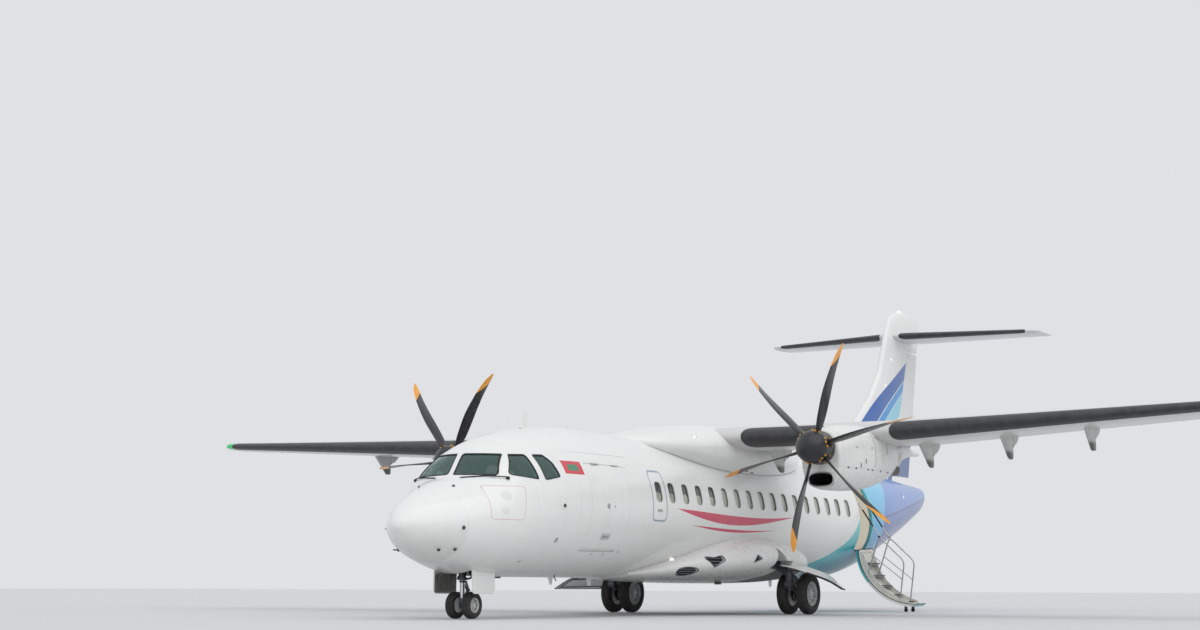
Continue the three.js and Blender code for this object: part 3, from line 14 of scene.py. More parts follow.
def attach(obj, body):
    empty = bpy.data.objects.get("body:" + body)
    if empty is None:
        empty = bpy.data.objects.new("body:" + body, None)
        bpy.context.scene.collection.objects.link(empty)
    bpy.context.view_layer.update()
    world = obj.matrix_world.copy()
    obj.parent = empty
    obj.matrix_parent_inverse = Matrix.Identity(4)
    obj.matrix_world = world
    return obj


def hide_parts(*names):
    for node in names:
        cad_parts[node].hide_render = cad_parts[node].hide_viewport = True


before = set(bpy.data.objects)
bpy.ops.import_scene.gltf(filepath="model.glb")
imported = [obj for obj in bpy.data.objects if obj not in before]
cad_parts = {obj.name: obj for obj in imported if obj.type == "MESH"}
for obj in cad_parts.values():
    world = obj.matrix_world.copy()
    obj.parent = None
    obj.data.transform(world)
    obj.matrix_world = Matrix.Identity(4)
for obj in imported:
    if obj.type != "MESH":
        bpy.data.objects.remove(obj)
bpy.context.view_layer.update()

# Driving dimensions of the whole aircraft
HALF_LENGTH = 11.335
LENGTH = 22.67
SPAN = 24.57
SEAM = 0.0015
HULL_RADIUS = 1.4325
HULL_AXIS = 1.97
NOSE_GEAR_STATION = 1.92
MAIN_GEAR_STATION = 10.70
TRACK = 4.10
TAIL_SPAN = 7.31

# Wing
ROOT_CHORD = 2.57
TIP_CHORD = 1.41
ROOT_THICKNESS = 0.18
TIP_THICKNESS = 0.13
WING_CAMBER = 0.02
ROOT_LE_STATION = 8.95
TIP_LE_STATION = 9.54
ROOT_LE_HEIGHT = 3.47
WING_INCIDENCE = 0.1
DIHEDRAL = math.radians(2.5)
WING_BREAK = 4.85
FLAP_FRACTION = 0.67
AILERON_FRACTION = 0.745
RUNNING_GAP = 0.008
FLAP_GAP = 0.012
SLOPE_STEP = 1e-4

# Engines and propellers
ENGINE_OFFSET = 4.05
HUB_STATION = 7.2
HUB_HEIGHT = 3.07
BLADES = 6
BLADE_PHASES = {"port": 0.27, "starboard": 0.47}
SIDES = {"port": 1, "starboard": -1}

# Where one fuselage panel meets the next
SADDLE_POWER = 0.9
POD_POWER = 0.86
PANEL_JOINTS = {"radome": 0.9, "cockpit": 3.4, "forward": 6.45, "centre": 12.3, "aft": 17.0, "tail": 20.3}
FLOOR_TOP = 1.36
PASSENGER_DOOR = {"front": 15.3, "rear": 16.05, "sill": 1.375, "top": 3.125}
CARGO_DOOR = {"front": 3.75, "rear": 5.025, "sill": 1.15, "top": 2.68}
STAIR_OPEN_ANGLE = math.radians(147)

# Fuselage sections: station, half width, top, bottom, height of the widest point
FUSELAGE = [
    (0.0, 0.0, 1.5, 1.5, 1.5),
    (0.06, 0.15, 1.65, 1.37, 1.5),
    (0.2, 0.322, 1.798, 1.205, 1.5),
    (0.45, 0.52, 1.95, 1.075, 1.505),
    (0.8, 0.728, 2.11, 0.945, 1.53),
    (1.2, 0.92, 2.268, 0.835, 1.585),
    (1.45, 1.02, 2.368, 0.778, 1.622),
    (1.78, 1.15, 2.76, 0.725, 1.68),
    (2.25, 1.255, 3.01, 0.705, 1.78),
    (2.9, 1.355, 3.2, 0.7, 1.88),
    (3.7, 1.415, 3.33, 0.7, 1.94),
    (4.6, HULL_RADIUS, 3.402, 0.7, HULL_AXIS),
    (14.8, HULL_RADIUS, 3.402, 0.7, HULL_AXIS),
    (15.6, 1.425, 3.4, 0.745, 1.985),
    (16.4, 1.375, 3.39, 0.87, 2.03),
    (17.2, 1.28, 3.37, 1.065, 2.1),
    (18.4, 1.075, 3.32, 1.395, 2.24),
    (19.8, 0.8, 3.235, 1.79, 2.42),
    (21.0, 0.545, 3.16, 2.14, 2.59),
    (22.0, 0.305, 3.11, 2.44, 2.75),
    (22.52, 0.13, 3.06, 2.66, 2.87),
    (22.67, 0.05, 2.98, 2.77, 2.88),
]


class Through:
    """Smooth curves through the rows of a table, one for each later column, that never overshoot them."""

    def __init__(self, rows, warp=lambda s: s):
        table = np.array(rows, dtype=float)
        self.warp = warp
        self.at = warp(table[:, 0])
        self.values = table[:, 1:]
        steps = np.diff(self.at)[:, None]
        rises = np.diff(self.values, axis=0) / steps
        slopes = np.zeros_like(self.values)
        slopes[0] = rises[0]
        slopes[-1] = rises[-1]
        before, after = rises[:-1], rises[1:]
        same_way = before * after > 0
        total = np.where(same_way, before + after, 1.0)
        slopes[1:-1] = np.where(same_way, 2 * before * after / total, 0.0)
        self.slopes = slopes
        self.steps = steps[:, 0]

    def __call__(self, s, column):
        u = np.clip(self.warp(np.asarray(s, dtype=float)), self.at[0], self.at[-1])
        i = np.clip(np.searchsorted(self.at, u, side="right") - 1, 0, len(self.steps) - 1)
        h = self.steps[i]
        t = (u - self.at[i]) / h
        low, high = self.values[i, column], self.values[i + 1, column]
        a, b = self.slopes[i, column] * h, self.slopes[i + 1, column] * h
        start = (2 * t**3 - 3 * t**2 + 1) * low + (t**3 - 2 * t**2 + t) * a
        return start + (3 * t**2 - 2 * t**3) * high + (t**3 - t**2) * b


def station(s):
    return s - HALF_LENGTH


def stack(x, s, z):
    x, s, z = np.broadcast_arrays(x, s, z)
    return np.stack([x, s - HALF_LENGTH, z], axis=-1)


HULL = Through(FUSELAGE, warp=lambda s: np.sqrt(np.maximum(s, 0.0)))


def skin(s, angle, inset=0.0):
    """Fuselage skin at a station; the angle runs from the crown towards port."""
    width = np.maximum(HULL(s, 0) - inset, 0.0)
    top, bottom, middle = HULL(s, 1) - inset, HULL(s, 2) + inset, HULL(s, 3)
    c = np.cos(angle)
    reach = np.where(c > 0, top - middle, middle - bottom)
    return stack(width * np.sin(angle), s, middle + reach * c)


def skin_side(s, z, inset=0.0, side=1):
    """Point of the skin at a station and a height."""
    s, z = np.asarray(s, dtype=float), np.asarray(z, dtype=float)
    middle = HULL(s, 3)
    reach = np.where(z > middle, HULL(s, 1) - middle, middle - HULL(s, 2)) - inset
    share = np.clip((z - middle) / reach, -1, 1)
    return stack(side * (HULL(s, 0) - inset) * np.sqrt(1 - share**2), s, z)


def skin_ahead(x, z, inset=0.0):
    """Point of the nose skin straight ahead of an offset and a height."""
    x, z = np.asarray(x, dtype=float), np.asarray(z, dtype=float)
    low, high = np.full(x.shape, 0.9), np.full(x.shape, 3.2)
    for _ in range(40):
        middle = (low + high) / 2
        inside = np.abs(skin_side(middle, z, inset)[..., 0]) > np.abs(x)
        above = HULL(middle, 1) - inset > z
        high = np.where(inside & above, middle, high)
        low = np.where(inside & above, low, middle)
    return stack(x, high, z)


class Shape:
    """Points and faces of one mesh, gathered from lofts, tubes, turned forms and blocks."""

    def __init__(self):
        self.points = []
        self.faces = []

    def take(self, other):
        """Adds the points and faces of another shape."""
        return self.add(other.points, other.faces)

    def add(self, points, faces, placing=None):
        start = len(self.points)
        for p in points:
            v = Vector([float(c) for c in p])
            self.points.append(placing @ v if placing else v)
        self.faces.extend(tuple(start + i for i in face) for face in faces)
        return self

    def loft(self, rings, wrap=True, ends=(True, True), placing=None, closed=False):
        """Skin through rings of equal counts; a ring of one point is a tip, closed joins last to first."""
        points, starts, faces = [], [], []
        for ring in rings:
            starts.append(len(points))
            points.extend(ring)
        pairs = list(range(len(rings) - 1)) + ([len(rings) - 1] if closed else [])
        for i in pairs:
            j = (i + 1) % len(rings)
            a, b = len(rings[i]), len(rings[j])
            n = max(a, b)
            for k in range(n if wrap else n - 1):
                m = (k + 1) % n
                if a == 1:
                    faces.append((starts[i], starts[j] + m, starts[j] + k))
                elif b == 1:
                    faces.append((starts[i] + k, starts[i] + m, starts[j]))
                else:
                    faces.append((starts[i] + k, starts[i] + m, starts[j] + m, starts[j] + k))
        if wrap and not closed:
            for wanted, i in zip(ends, (0, len(rings) - 1)):
                if wanted and len(rings[i]) > 2:
                    faces.append(tuple(starts[i] + k for k in range(len(rings[i]))))
        return self.add(points, faces, placing)

    def tube(self, path, radius, sides=12, ends=True):
        """Round bar along a path; the radius may change from point to point."""
        path = [Vector([float(c) for c in p]) for p in path]
        radii = radius if isinstance(radius, (list, tuple)) else [radius] * len(path)
        ahead = (path[1] - path[0]).normalized()
        across = ahead.orthogonal().normalized()
        rings = []
        for i, p in enumerate(path):
            after = path[min(i + 1, len(path) - 1)] - p
            before = p - path[max(i - 1, 0)]
            way = (after.normalized() + before.normalized()).normalized()
            across = (across - way * across.dot(way)).normalized()
            other = way.cross(across)
            turns = [2 * math.pi * k / sides for k in range(sides)]
            rings.append([p + radii[i] * (math.cos(t) * across + math.sin(t) * other) for t in turns])
        return self.loft(rings, ends=(ends, ends))

    def turned(self, profile, placing, segments=48, closed=False):
        """Form turned about the local Z axis from (radius, height) points."""
        rings = []
        for radius, height in profile:
            if radius < 1e-6:
                rings.append([(0.0, 0.0, height)])
                continue
            turns = [2 * math.pi * k / segments for k in range(segments)]
            rings.append([(radius * math.cos(t), radius * math.sin(t), height) for t in turns])
        return self.loft(rings, placing=placing, closed=closed)

    def block(self, low, high, placing=None):
        (x0, y0, z0), (x1, y1, z1) = low, high
        corners = [(x, y, z) for z in (z0, z1) for x, y in ((x0, y0), (x1, y0), (x1, y1), (x0, y1))]
        return self.loft([corners[:4], corners[4:]], placing=placing)

    def prism(self, outline, low, high, lay):
        """Outline of two-number points carried from low to high; lay(a, b, depth) gives the point."""
        return self.loft([[lay(a, b, low) for a, b in outline], [lay(a, b, high) for a, b in outline]])


def cross_plane(x, z, s):
    """Point of an outline laid out in x and z, at a station."""
    return (x, station(s), z)


def on_side(s, z, x):
    return (x, station(s), z)


def rounded(corners, radius, steps=5):
    """Outline with its corners rounded; radius may be one value or one for each corner."""
    outline = []
    count = len(corners)
    radii = radius if isinstance(radius, (list, tuple)) else [radius] * count
    for i, corner in enumerate(corners):
        here = np.array(corner, dtype=float)
        before = np.array(corners[i - 1], dtype=float) - here
        after = np.array(corners[(i + 1) % count], dtype=float) - here
        a, b = np.linalg.norm(before), np.linalg.norm(after)
        half = math.acos(np.clip(before @ after / (a * b), -1, 1)) / 2
        back = min(radii[i] / math.tan(half), 0.48 * min(a, b))
        start, end = here + before / a * back, here + after / b * back
        for k in range(steps + 1):
            t = k / steps
            outline.append(tuple((1 - t) ** 2 * start + 2 * t * (1 - t) * here + t**2 * end))
    return outline


def rounded_box(a0, a1, b0, b1, radius, steps=5):
    return rounded([(a0, b0), (a1, b0), (a1, b1), (a0, b1)], radius, steps)


def grown(outline, by):
    """Outline moved outwards by a distance about its middle."""
    points = np.array(outline)
    low, high = points.min(axis=0), points.max(axis=0)
    middle, half = (low + high) / 2, (high - low) / 2
    return [tuple(p) for p in middle + (points - middle) * (half + by) / half]


def smooth_path(points, steps=8):
    """Curve through points, for bars and pipes with bends."""
    points = [Vector([float(c) for c in p]) for p in points]
    padded = [points[0] * 2 - points[1]] + points + [points[-1] * 2 - points[-2]]
    path = []
    for i in range(1, len(padded) - 2):
        for k in range(steps):
            path.append(catmull(padded[i - 1:i + 3], k / steps))
    return path + [points[-1]]


def catmull(p, t):
    a, b, c, d = p
    return 0.5 * (2 * b + (c - a) * t + (2 * a - 5 * b + 4 * c - d) * t**2 + (3 * b - a - 3 * c + d) * t**3)


def bent_path(points, radius, steps=5):
    """Straight runs with rounded bends, as of a bent tube."""
    points = [Vector([float(c) for c in p]) for p in points]
    path = [points[0]]
    for before, here, after in zip(points, points[1:], points[2:]):
        a, b = before - here, after - here
        back = min(radius, 0.45 * a.length, 0.45 * b.length)
        start, end = here + a.normalized() * back, here + b.normalized() * back
        for k in range(steps + 1):
            t = k / steps
            path.append(start * (1 - t) ** 2 + here * 2 * t * (1 - t) + end * t**2)
    return path + [points[-1]]


def mesh_object(name, shape):
    mesh = bpy.data.meshes.new(name)
    mesh.from_pydata([tuple(p) for p in shape.points], [], shape.faces)
    work = bmesh.new()
    work.from_mesh(mesh)
    bmesh.ops.recalc_face_normals(work, faces=work.faces)
    work.to_mesh(mesh)
    work.free()
    obj = bpy.data.objects.new(name, mesh)
    bpy.context.scene.collection.objects.link(obj)
    return obj


def apply_modifiers(obj):
    evaluated = obj.evaluated_get(bpy.context.evaluated_depsgraph_get())
    mesh = bpy.data.meshes.new_from_object(evaluated)
    old = obj.data
    obj.modifiers.clear()
    obj.data = mesh
    bpy.data.meshes.remove(old)


def carve(obj, *cutters, solver="EXACT"):
    """Cuts shapes out of an object and keeps the smooth shading of what is left of its skin."""
    source = obj.data
    source.shade_smooth()
    source.set_sharp_from_angle(angle=math.radians(40))
    tree = BVHTree.FromPolygons([v.co for v in source.vertices], [p.vertices for p in source.polygons])
    normals = source.corner_normals
    corner_normals = [[normals[i].vector.copy() for i in p.loop_indices] for p in source.polygons]
    faces = [tuple(p.vertices) for p in source.polygons]
    places = [v.co.copy() for v in source.vertices]
    tools = bpy.data.collections.new("tools")
    made = [mesh_object(f"tool_{i}", cutter) for i, cutter in enumerate(cutters)]
    for tool in made:
        tools.objects.link(tool)
    modifier = obj.modifiers.new("cut", "BOOLEAN")
    modifier.operation = "DIFFERENCE"
    modifier.operand_type = "COLLECTION"
    modifier.collection = tools
    modifier.solver = solver
    apply_modifiers(obj)
    for tool in made:
        mesh = tool.data
        bpy.data.objects.remove(tool)
        bpy.data.meshes.remove(mesh)
    bpy.data.collections.remove(tools)
    keep_curvature(obj.data, tree, faces, places, corner_normals)


def keep_curvature(mesh, tree, faces, places, corner_normals):
    normals = [Vector((0, 0, 0))] * len(mesh.loops)
    for polygon in mesh.polygons:
        found = tree.find_nearest(polygon.center)
        on_skin = found[0] is not None and found[3] < 0.004 and found[1].dot(polygon.normal) > 0.9
        polygon.use_smooth = on_skin
        if not on_skin:
            continue
        for i in polygon.loop_indices:
            co = mesh.vertices[mesh.loops[i].vertex_index].co
            hit = tree.find_nearest(co + (polygon.center - co) * 0.02)
            weights = interpolate.poly_3d_calc([places[c] for c in faces[hit[2]]], hit[0])
            blend = sum((w * normal for w, normal in zip(weights, corner_normals[hit[2]])), Vector())
            if blend.length > 0.1:
                normals[i] = blend.normalized()
    mesh.normals_split_custom_set(normals)


def smooth(obj, angle=38):
    obj.data.shade_smooth()
    obj.data.set_sharp_from_angle(angle=math.radians(angle))


def bevel(obj, width, segments=2):
    modifier = obj.modifiers.new("bevel", "BEVEL")
    modifier.width = width
    modifier.segments = segments
    modifier.limit_method = "ANGLE"
    modifier.angle_limit = math.radians(35)
    apply_modifiers(obj)


def dress(obj, finish, body="airframe", stands_for=()):
    """Gives a piece its finish and sets it on its body."""
    obj.data.materials.clear()
    obj.data.materials.append(finish.material)
    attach(obj, body)
    if stands_for:
        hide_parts(*stands_for)
    return obj


def piece(name, shape, finish, body="airframe", stands_for=(), edge=0.0, angle=38, turn=None):
    obj = mesh_object(name, shape)
    if edge:
        bevel(obj, edge)
    smooth(obj, angle)
    if turn:
        obj.matrix_world = turn
        bpy.context.view_layer.update()
    return dress(obj, finish, body, stands_for)


def facing(place, way):
    """Placing that turns a form's own Z axis to a direction and moves its origin to a place."""
    turn = Vector(way).to_track_quat("Z", "Y").to_matrix().to_4x4()
    return Matrix.Translation(Vector([float(c) for c in place])) @ turn


def mirror_x(shape):
    other = Shape()
    other.points = [Vector((-p.x, p.y, p.z)) for p in shape.points]
    other.faces = [tuple(reversed(face)) for face in shape.faces]
    return other


def joined(*shapes):
    whole = Shape()
    for shape in shapes:
        whole.take(shape)
    return whole


def srgb(red, green, blue):
    """Linear colour from display values of 0 to 255."""
    linear = [((c / 255 + 0.055) / 1.055) ** 2.4 if c > 10 else c / 255 / 12.92 for c in (red, green, blue)]
    return (*linear, 1.0)


class Finish:
    """Material made of shader nodes over the piece's own coordinates, with its slot in the record."""

    def __init__(self, name, slot, roughness=0.4, metallic=0.0, coat=0.0, sheen=0.0, transmission=0.0,
                 ior=1.5):
        self.slot = slot
        self.material = bpy.data.materials.new(name)
        self.material.use_nodes = True
        self.tree = self.material.node_tree
        self.shader = self.tree.nodes["Principled BSDF"]
        settings = {"Roughness": roughness, "Metallic": metallic, "Coat Weight": coat, "Coat Roughness": 0.06,
                    "Sheen Weight": sheen, "Sheen Roughness": 0.4, "Transmission Weight": transmission,
                    "IOR": ior}
        for socket, value in settings.items():
            self.shader.inputs[socket].default_value = value
        place = self.node("TexCoord").outputs["Object"]
        self.place = place
        parts = self.node("SeparateXYZ", {"Vector": place})
        self.x, self.y, self.z = (parts.outputs[axis] for axis in "XYZ")
        self.s = self.maths("ADD", self.y, HALF_LENGTH)
        self.height = None

    def node(self, kind, inputs=None, **settings):
        made = self.tree.nodes.new("ShaderNode" + kind)
        for key, value in settings.items():
            setattr(made, key, value)
        for key, value in (inputs or {}).items():
            self.join(value, made.inputs[key])
        return made

    def join(self, value, socket):
        if isinstance(value, bpy.types.NodeSocket):
            self.tree.links.new(value, socket)
        else:
            socket.default_value = value

    def maths(self, operation, a, b=0.0, c=0.0):
        return self.node("Math", {0: a, 1: b, 2: c}, operation=operation).outputs[0]

    def ramp(self, value, low, high, start=0.0, end=1.0):
        """Start to end as the value goes from low to high, held beyond them."""
        limits = {"Value": value, "From Min": low, "From Max": high, "To Min": start, "To Max": end}
        return self.node("MapRange", limits, clamp=True).outputs["Result"]

    def curve(self, value, points):
        """Value read off a line through (at, value) points."""
        total = points[0][1]
        for (a, low), (b, high) in zip(points, points[1:]):
            total = self.maths("ADD", total, self.ramp(value, a, b, 0.0, high - low))
        return total

    def between(self, value, low, high, soft=0.004):
        return self.maths("MULTIPLY", self.ramp(value, low - soft, low + soft),
                          self.ramp(value, high - soft, high + soft, 1.0, 0.0))

    def both(self, *masks):
        total = masks[0]
        for mask in masks[1:]:
            total = self.maths("MULTIPLY", total, mask)
        return total

    def mix(self, share, a, b, way="MIX"):
        made = self.tree.nodes.new("ShaderNodeMix")
        made.data_type = "RGBA"
        made.blend_type = way
        for value, index in ((share, 0), (a, 6), (b, 7)):
            self.join(value, made.inputs[index])
        return made.outputs[2]

    def noise(self, scale, detail=3.0, roughness=0.55, stretch=(1, 1, 1), shift=(0, 0, 0)):
        place = self.node("Mapping", {"Vector": self.place, "Scale": stretch,
                                      "Location": shift}).outputs["Vector"]
        settings = {"Vector": place, "Scale": scale, "Detail": detail, "Roughness": roughness}
        return self.node("TexNoise", settings).outputs["Fac"]

    def cells(self, scale, stretch=(1, 1, 1), feature="F1"):
        place = self.node("Mapping", {"Vector": self.place, "Scale": stretch}).outputs["Vector"]
        return self.node("TexVoronoi", {"Vector": place, "Scale": scale}, feature=feature).outputs["Distance"]

    def near_line(self, value, pitch, start, width):
        """1 on lines that repeat at a pitch."""
        phase = self.maths("PINGPONG", self.maths("SUBTRACT", value, start), pitch / 2)
        return self.ramp(phase, width / 2, width, 1.0, 0.0)

    def on_lines(self, value, places, width):
        total = None
        for place in places:
            one = self.ramp(self.maths("ABSOLUTE", self.maths("SUBTRACT", value, place)), width / 2, width,
                            1.0, 0.0)
            total = one if total is None else self.maths("MAXIMUM", total, one)
        return total

    def raised(self, height, distance):
        """Adds to the surface relief; distance is in metres for a height of 1."""
        scaled = self.maths("MULTIPLY", height, distance)
        self.height = scaled if self.height is None else self.maths("ADD", self.height, scaled)

    def done(self, colour, roughness=None, strength=1.0):
        self.join(colour, self.shader.inputs["Base Color"])
        if roughness is not None:
            self.join(roughness, self.shader.inputs["Roughness"])
        if self.height is not None:
            relief = self.node("Bump", {"Strength": strength, "Distance": 1.0, "Height": self.height})
            self.join(relief.outputs["Normal"], self.shader.inputs["Normal"])
        return self


WHITE = srgb(232, 232, 230)
GRIME = srgb(120, 114, 104)
BOOT = srgb(38, 39, 43)


def paint(name, slot, colour, livery=None, lines=None, gloss=0.26, dirt=0.035, underside=None,
          seam_share=0.3):
    """Gloss paint on sheet metal: faint waves, orange peel, washed-down grime and dull patches; where an
    underside is given, painted shade darkens and browns the belly.
    """
    f = Finish(name, slot, roughness=gloss, coat=0.35)
    base = livery(f) if livery else colour
    cloud = f.noise(0.9, 4.0, 0.6)
    fine = f.noise(7.0, 4.0, 0.65, shift=(3.1, 1.7, 0.4))
    runs = f.noise(5.0, 1.0, 0.4, stretch=(1.0, 2.2, 0.16), shift=(0.7, 2.9, 5.3))
    blown = f.noise(4.0, 1.0, 0.4, stretch=(1.6, 0.12, 1.6), shift=(5.2, 0.9, 1.3))
    tone = f.mix(f.ramp(cloud, 0.3, 0.7, 0.0, 0.05), base, srgb(198, 202, 210))
    tone = f.mix(f.ramp(runs, 0.52, 0.78, 0.0, dirt), tone, GRIME)
    tone = f.mix(f.ramp(blown, 0.55, 0.8, 0.0, dirt * 0.8), tone, GRIME)
    if underside:
        low, high, share = underside
        # Painted shade: the paint turns darker and browner low on the belly, where the underside faces the
        # ground.
        belly_shade = f.both(f.ramp(f.z, low, high, share, 0.0), f.ramp(fine, 0.25, 0.75, 0.55, 1.0))
        tone = f.mix(belly_shade, tone, srgb(118, 110, 98))
    if lines:
        seams, rivets = lines(f)
        tone = f.mix(f.maths("MULTIPLY", seams, seam_share), tone, srgb(92, 94, 98))
        f.raised(seams, -0.0004)
        if rivets is not None:
            tone = f.mix(f.maths("MULTIPLY", rivets, 0.12), tone, srgb(120, 122, 126))
            f.raised(rivets, -0.00006)
    f.raised(f.noise(2.6, 2.0, 0.5), 0.0022)
    f.raised(f.noise(90.0, 1.0, 0.5), 0.00002)
    rough = f.ramp(f.maths("ADD", f.maths("MULTIPLY", fine, 0.6), f.maths("MULTIPLY", runs, 0.4)), 0.2, 0.8,
                   gloss, gloss + 0.08)
    return f.done(tone, rough)


def riveted(f, along, across, frames, start, rows, row_places):
    """Seam lines and rivet dots over a skin laid out by two lengths."""
    seams = f.maths("MAXIMUM", f.on_lines(along, frames, 0.0035), f.on_lines(across, row_places, 0.003))
    spacing = 0.028
    dots = None
    for value, other in ((along, across), (across, along)):
        pitch, first = (rows[0], start[0]) if value is along else (rows[1], start[1])
        a = f.maths("PINGPONG", f.maths("SUBTRACT", value, first), pitch / 2)
        b = f.maths("PINGPONG", other, spacing / 2)
        far = f.maths("ADD", f.maths("MULTIPLY", a, a), f.maths("MULTIPLY", b, b))
        one = f.ramp(far, 0.0000035, 0.00001, 1.0, 0.0)
        dots = one if dots is None else f.maths("MAXIMUM", dots, one)
    return seams, dots


def hull_lines(f):
    around = f.maths("MULTIPLY", f.maths("ARCTAN2", f.x, f.maths("SUBTRACT", f.z, HULL_AXIS)), HULL_RADIUS)
    frames = [2.28, 3.02, 4.35, 5.15, 7.53, 8.6, 9.67, 10.75, 13.44, 14.5, 16.35, 18.2, 19.2, 21.3]
    places = [-4.25, -3.62, -3.0, -1.45, -0.62, 0.62, 1.45, 3.0, 3.62, 4.25]
    return riveted(f, f.s, around, frames, (0.13, 0.2), (0.537, 0.815), places)


def edge_distance(f, a, b, box, radius):
    """Distance outwards from a rounded rectangle given as (low a, high a, low b, high b)."""
    a0, a1, b0, b1 = box
    past = []
    for value, low, high in ((a, a0, a1), (b, b0, b1)):
        off = f.maths("ABSOLUTE", f.maths("SUBTRACT", value, (low + high) / 2))
        past.append(f.maths("MAXIMUM", f.maths("SUBTRACT", off, (high - low) / 2 - radius), 0.0))
    squares = f.maths("ADD", f.maths("MULTIPLY", past[0], past[0]), f.maths("MULTIPLY", past[1], past[1]))
    return f.maths("SUBTRACT", f.maths("SQRT", squares), radius)


def outlined(f, a, b, box, radius, width):
    distance = f.maths("ABSOLUTE", edge_distance(f, a, b, box, radius))
    return f.ramp(distance, width / 2, width / 2 + 0.003, 1.0, 0.0)


def hull_livery(f):
    s, z = f.s, f.z
    drop = f.maths("POWER", f.ramp(z, 0.8, 3.4, 1.0, 0.0), 4.2)
    past = f.maths("ADD", s, f.maths("SUBTRACT", f.maths("MULTIPLY", drop, 2.95), 15.45))
    low_teal = f.mix(f.ramp(past, 0.0, 1.3), srgb(70, 186, 194), srgb(24, 134, 158))
    high_teal = f.mix(f.ramp(past, 0.0, 0.5), srgb(150, 222, 220), srgb(84, 196, 208))
    teal = f.mix(f.ramp(z, 1.1, 2.5), low_teal, high_teal)
    colour = f.mix(f.ramp(past, -0.006, 0.006), WHITE, teal)
    cyan = f.mix(f.ramp(z, 1.3, 3.0), srgb(34, 146, 206), srgb(104, 200, 236))
    colour = f.mix(f.ramp(s, 16.12, 16.16), colour, cyan)
    lean = f.maths("MULTIPLY", f.maths("POWER", f.ramp(z, 2.0, 3.3), 1.6), 1.5)
    into_blue = f.maths("SUBTRACT", s, f.maths("ADD", lean, 16.94))
    blue = f.mix(f.ramp(z, 1.6, 3.15), srgb(52, 104, 186), srgb(104, 146, 216))
    colour = f.mix(f.ramp(into_blue, -0.04, 0.04), colour, blue)
    rise = f.maths("SUBTRACT", z, f.maths("ADD", f.maths("MULTIPLY", s, 0.129), 2.154 - 16.955 * 0.129))
    in_tail = f.ramp(into_blue, -0.02, 0.02)
    under = f.mix(f.ramp(rise, -0.75, 0.0), srgb(48, 84, 152), srgb(62, 104, 178))
    colour = f.mix(f.both(in_tail, f.ramp(rise, -0.02, 0.0, 1.0, 0.0)), colour, under)
    line = f.ramp(f.maths("ABSOLUTE", f.maths("ADD", rise, 0.012)), 0.014, 0.03, 1.0, 0.0)
    colour = f.mix(f.both(in_tail, line), colour, srgb(34, 70, 140))
    for start, end, height, sag, thick in ((6.75, 11.95, 1.99, 0.16, 0.105),
                                           (7.35, 11.25, 1.70, 0.07, 0.034)):
        along = f.ramp(s, start, end)
        swell = f.maths("SINE", f.maths("MULTIPLY", along, math.pi))
        centre = f.maths("SUBTRACT", height, f.maths("MULTIPLY", swell, sag))
        half = f.maths("MULTIPLY", swell, f.ramp(along, 0.0, 1.0, thick * 1.25, thick * 0.45))
        off = f.maths("ABSOLUTE", f.maths("SUBTRACT", z, centre))
        inside = f.ramp(f.maths("SUBTRACT", off, half), -0.004, 0.0, 1.0, 0.0)
        colour = f.mix(f.both(inside, f.between(s, start, end)), colour, srgb(206, 34, 78))
    flag = f.both(f.between(s, 3.13, 3.66, 0.002), f.between(z, 2.46, 2.69, 0.002))
    colour = f.mix(flag, colour, srgb(206, 48, 62))
    centre = f.both(f.between(s, 3.26, 3.53, 0.002), f.between(z, 2.52, 2.63, 0.002))
    colour = f.mix(centre, colour, srgb(44, 128, 92))
    port = f.ramp(f.x, 0.0, 0.01)
    slanting = f.maths("SUBTRACT", s, f.maths("MULTIPLY", f.maths("SUBTRACT", z, 1.63), 0.2))
    hatch = f.both(port, outlined(f, slanting, z, (1.3, 1.94, 1.63, 2.19), 0.06, 0.011))
    colour = f.mix(f.maths("MULTIPLY", hatch, 0.5), colour, srgb(206, 134, 146))
    for a, b, r in ((1.58, 1.78, 0.07), (1.66, 2.02, 0.09)):
        far = f.maths("ADD", f.maths("POWER", f.maths("SUBTRACT", s, a), 2.0),
                      f.maths("POWER", f.maths("SUBTRACT", z, b), 2.0))
        colour = f.mix(f.both(port, f.ramp(far, r * r * 0.7, r * r, 0.16, 0.0)), colour, srgb(150, 152, 150))
    for low, high, height in ((3.55, 5.34, 2.87), (3.75, 5.16, 2.67)):
        mark = f.both(port, f.between(s, low, high), f.between(z, height - 0.006, height + 0.006, 0.003))
        colour = f.mix(f.maths("MULTIPLY", mark, 0.5), colour, srgb(150, 152, 158))
    for door in EXITS:
        colour = f.mix(f.maths("MULTIPLY", outlined(f, s, z, door, 0.1, 0.034), 0.7), colour,
                       srgb(128, 150, 172))
    return colour


EXITS = [(5.87, 6.38, 1.74, 2.65)]
SERVICE_DOOR = (15.36, 15.97, 1.40, 2.62)
CABIN_WINDOWS = [(6.62 + 0.537 * k - 0.125, 6.62 + 0.537 * k + 0.125, 2.08, 2.46) for k in range(16)]
EXIT_WINDOW = (6.0, 6.25, 2.08, 2.46)
WINDSCREEN = [(0.045, 2.38), (0.835, 2.365), (0.65, 2.757), (0.045, 2.765)]
SIDE_WINDOWS = [
    [(1.84, 2.385), (2.425, 2.318), (2.44, 2.765), (2.14, 2.755)],
    [(2.55, 2.312), (2.965, 2.39), (2.915, 2.64), (2.8, 2.775), (2.56, 2.768)],
]

hull_white = paint("hull paint", "white_paint", WHITE, livery=hull_livery, lines=hull_lines,
                   underside=(0.7, 1.35, 0.16), gloss=0.2, dirt=0.035, seam_share=0.16)
tail_blue = paint("tail paint", "blue_paint", WHITE, livery=hull_livery, lines=hull_lines,
                  underside=(0.7, 1.35, 0.16), gloss=0.2, dirt=0.035, seam_share=0.16)


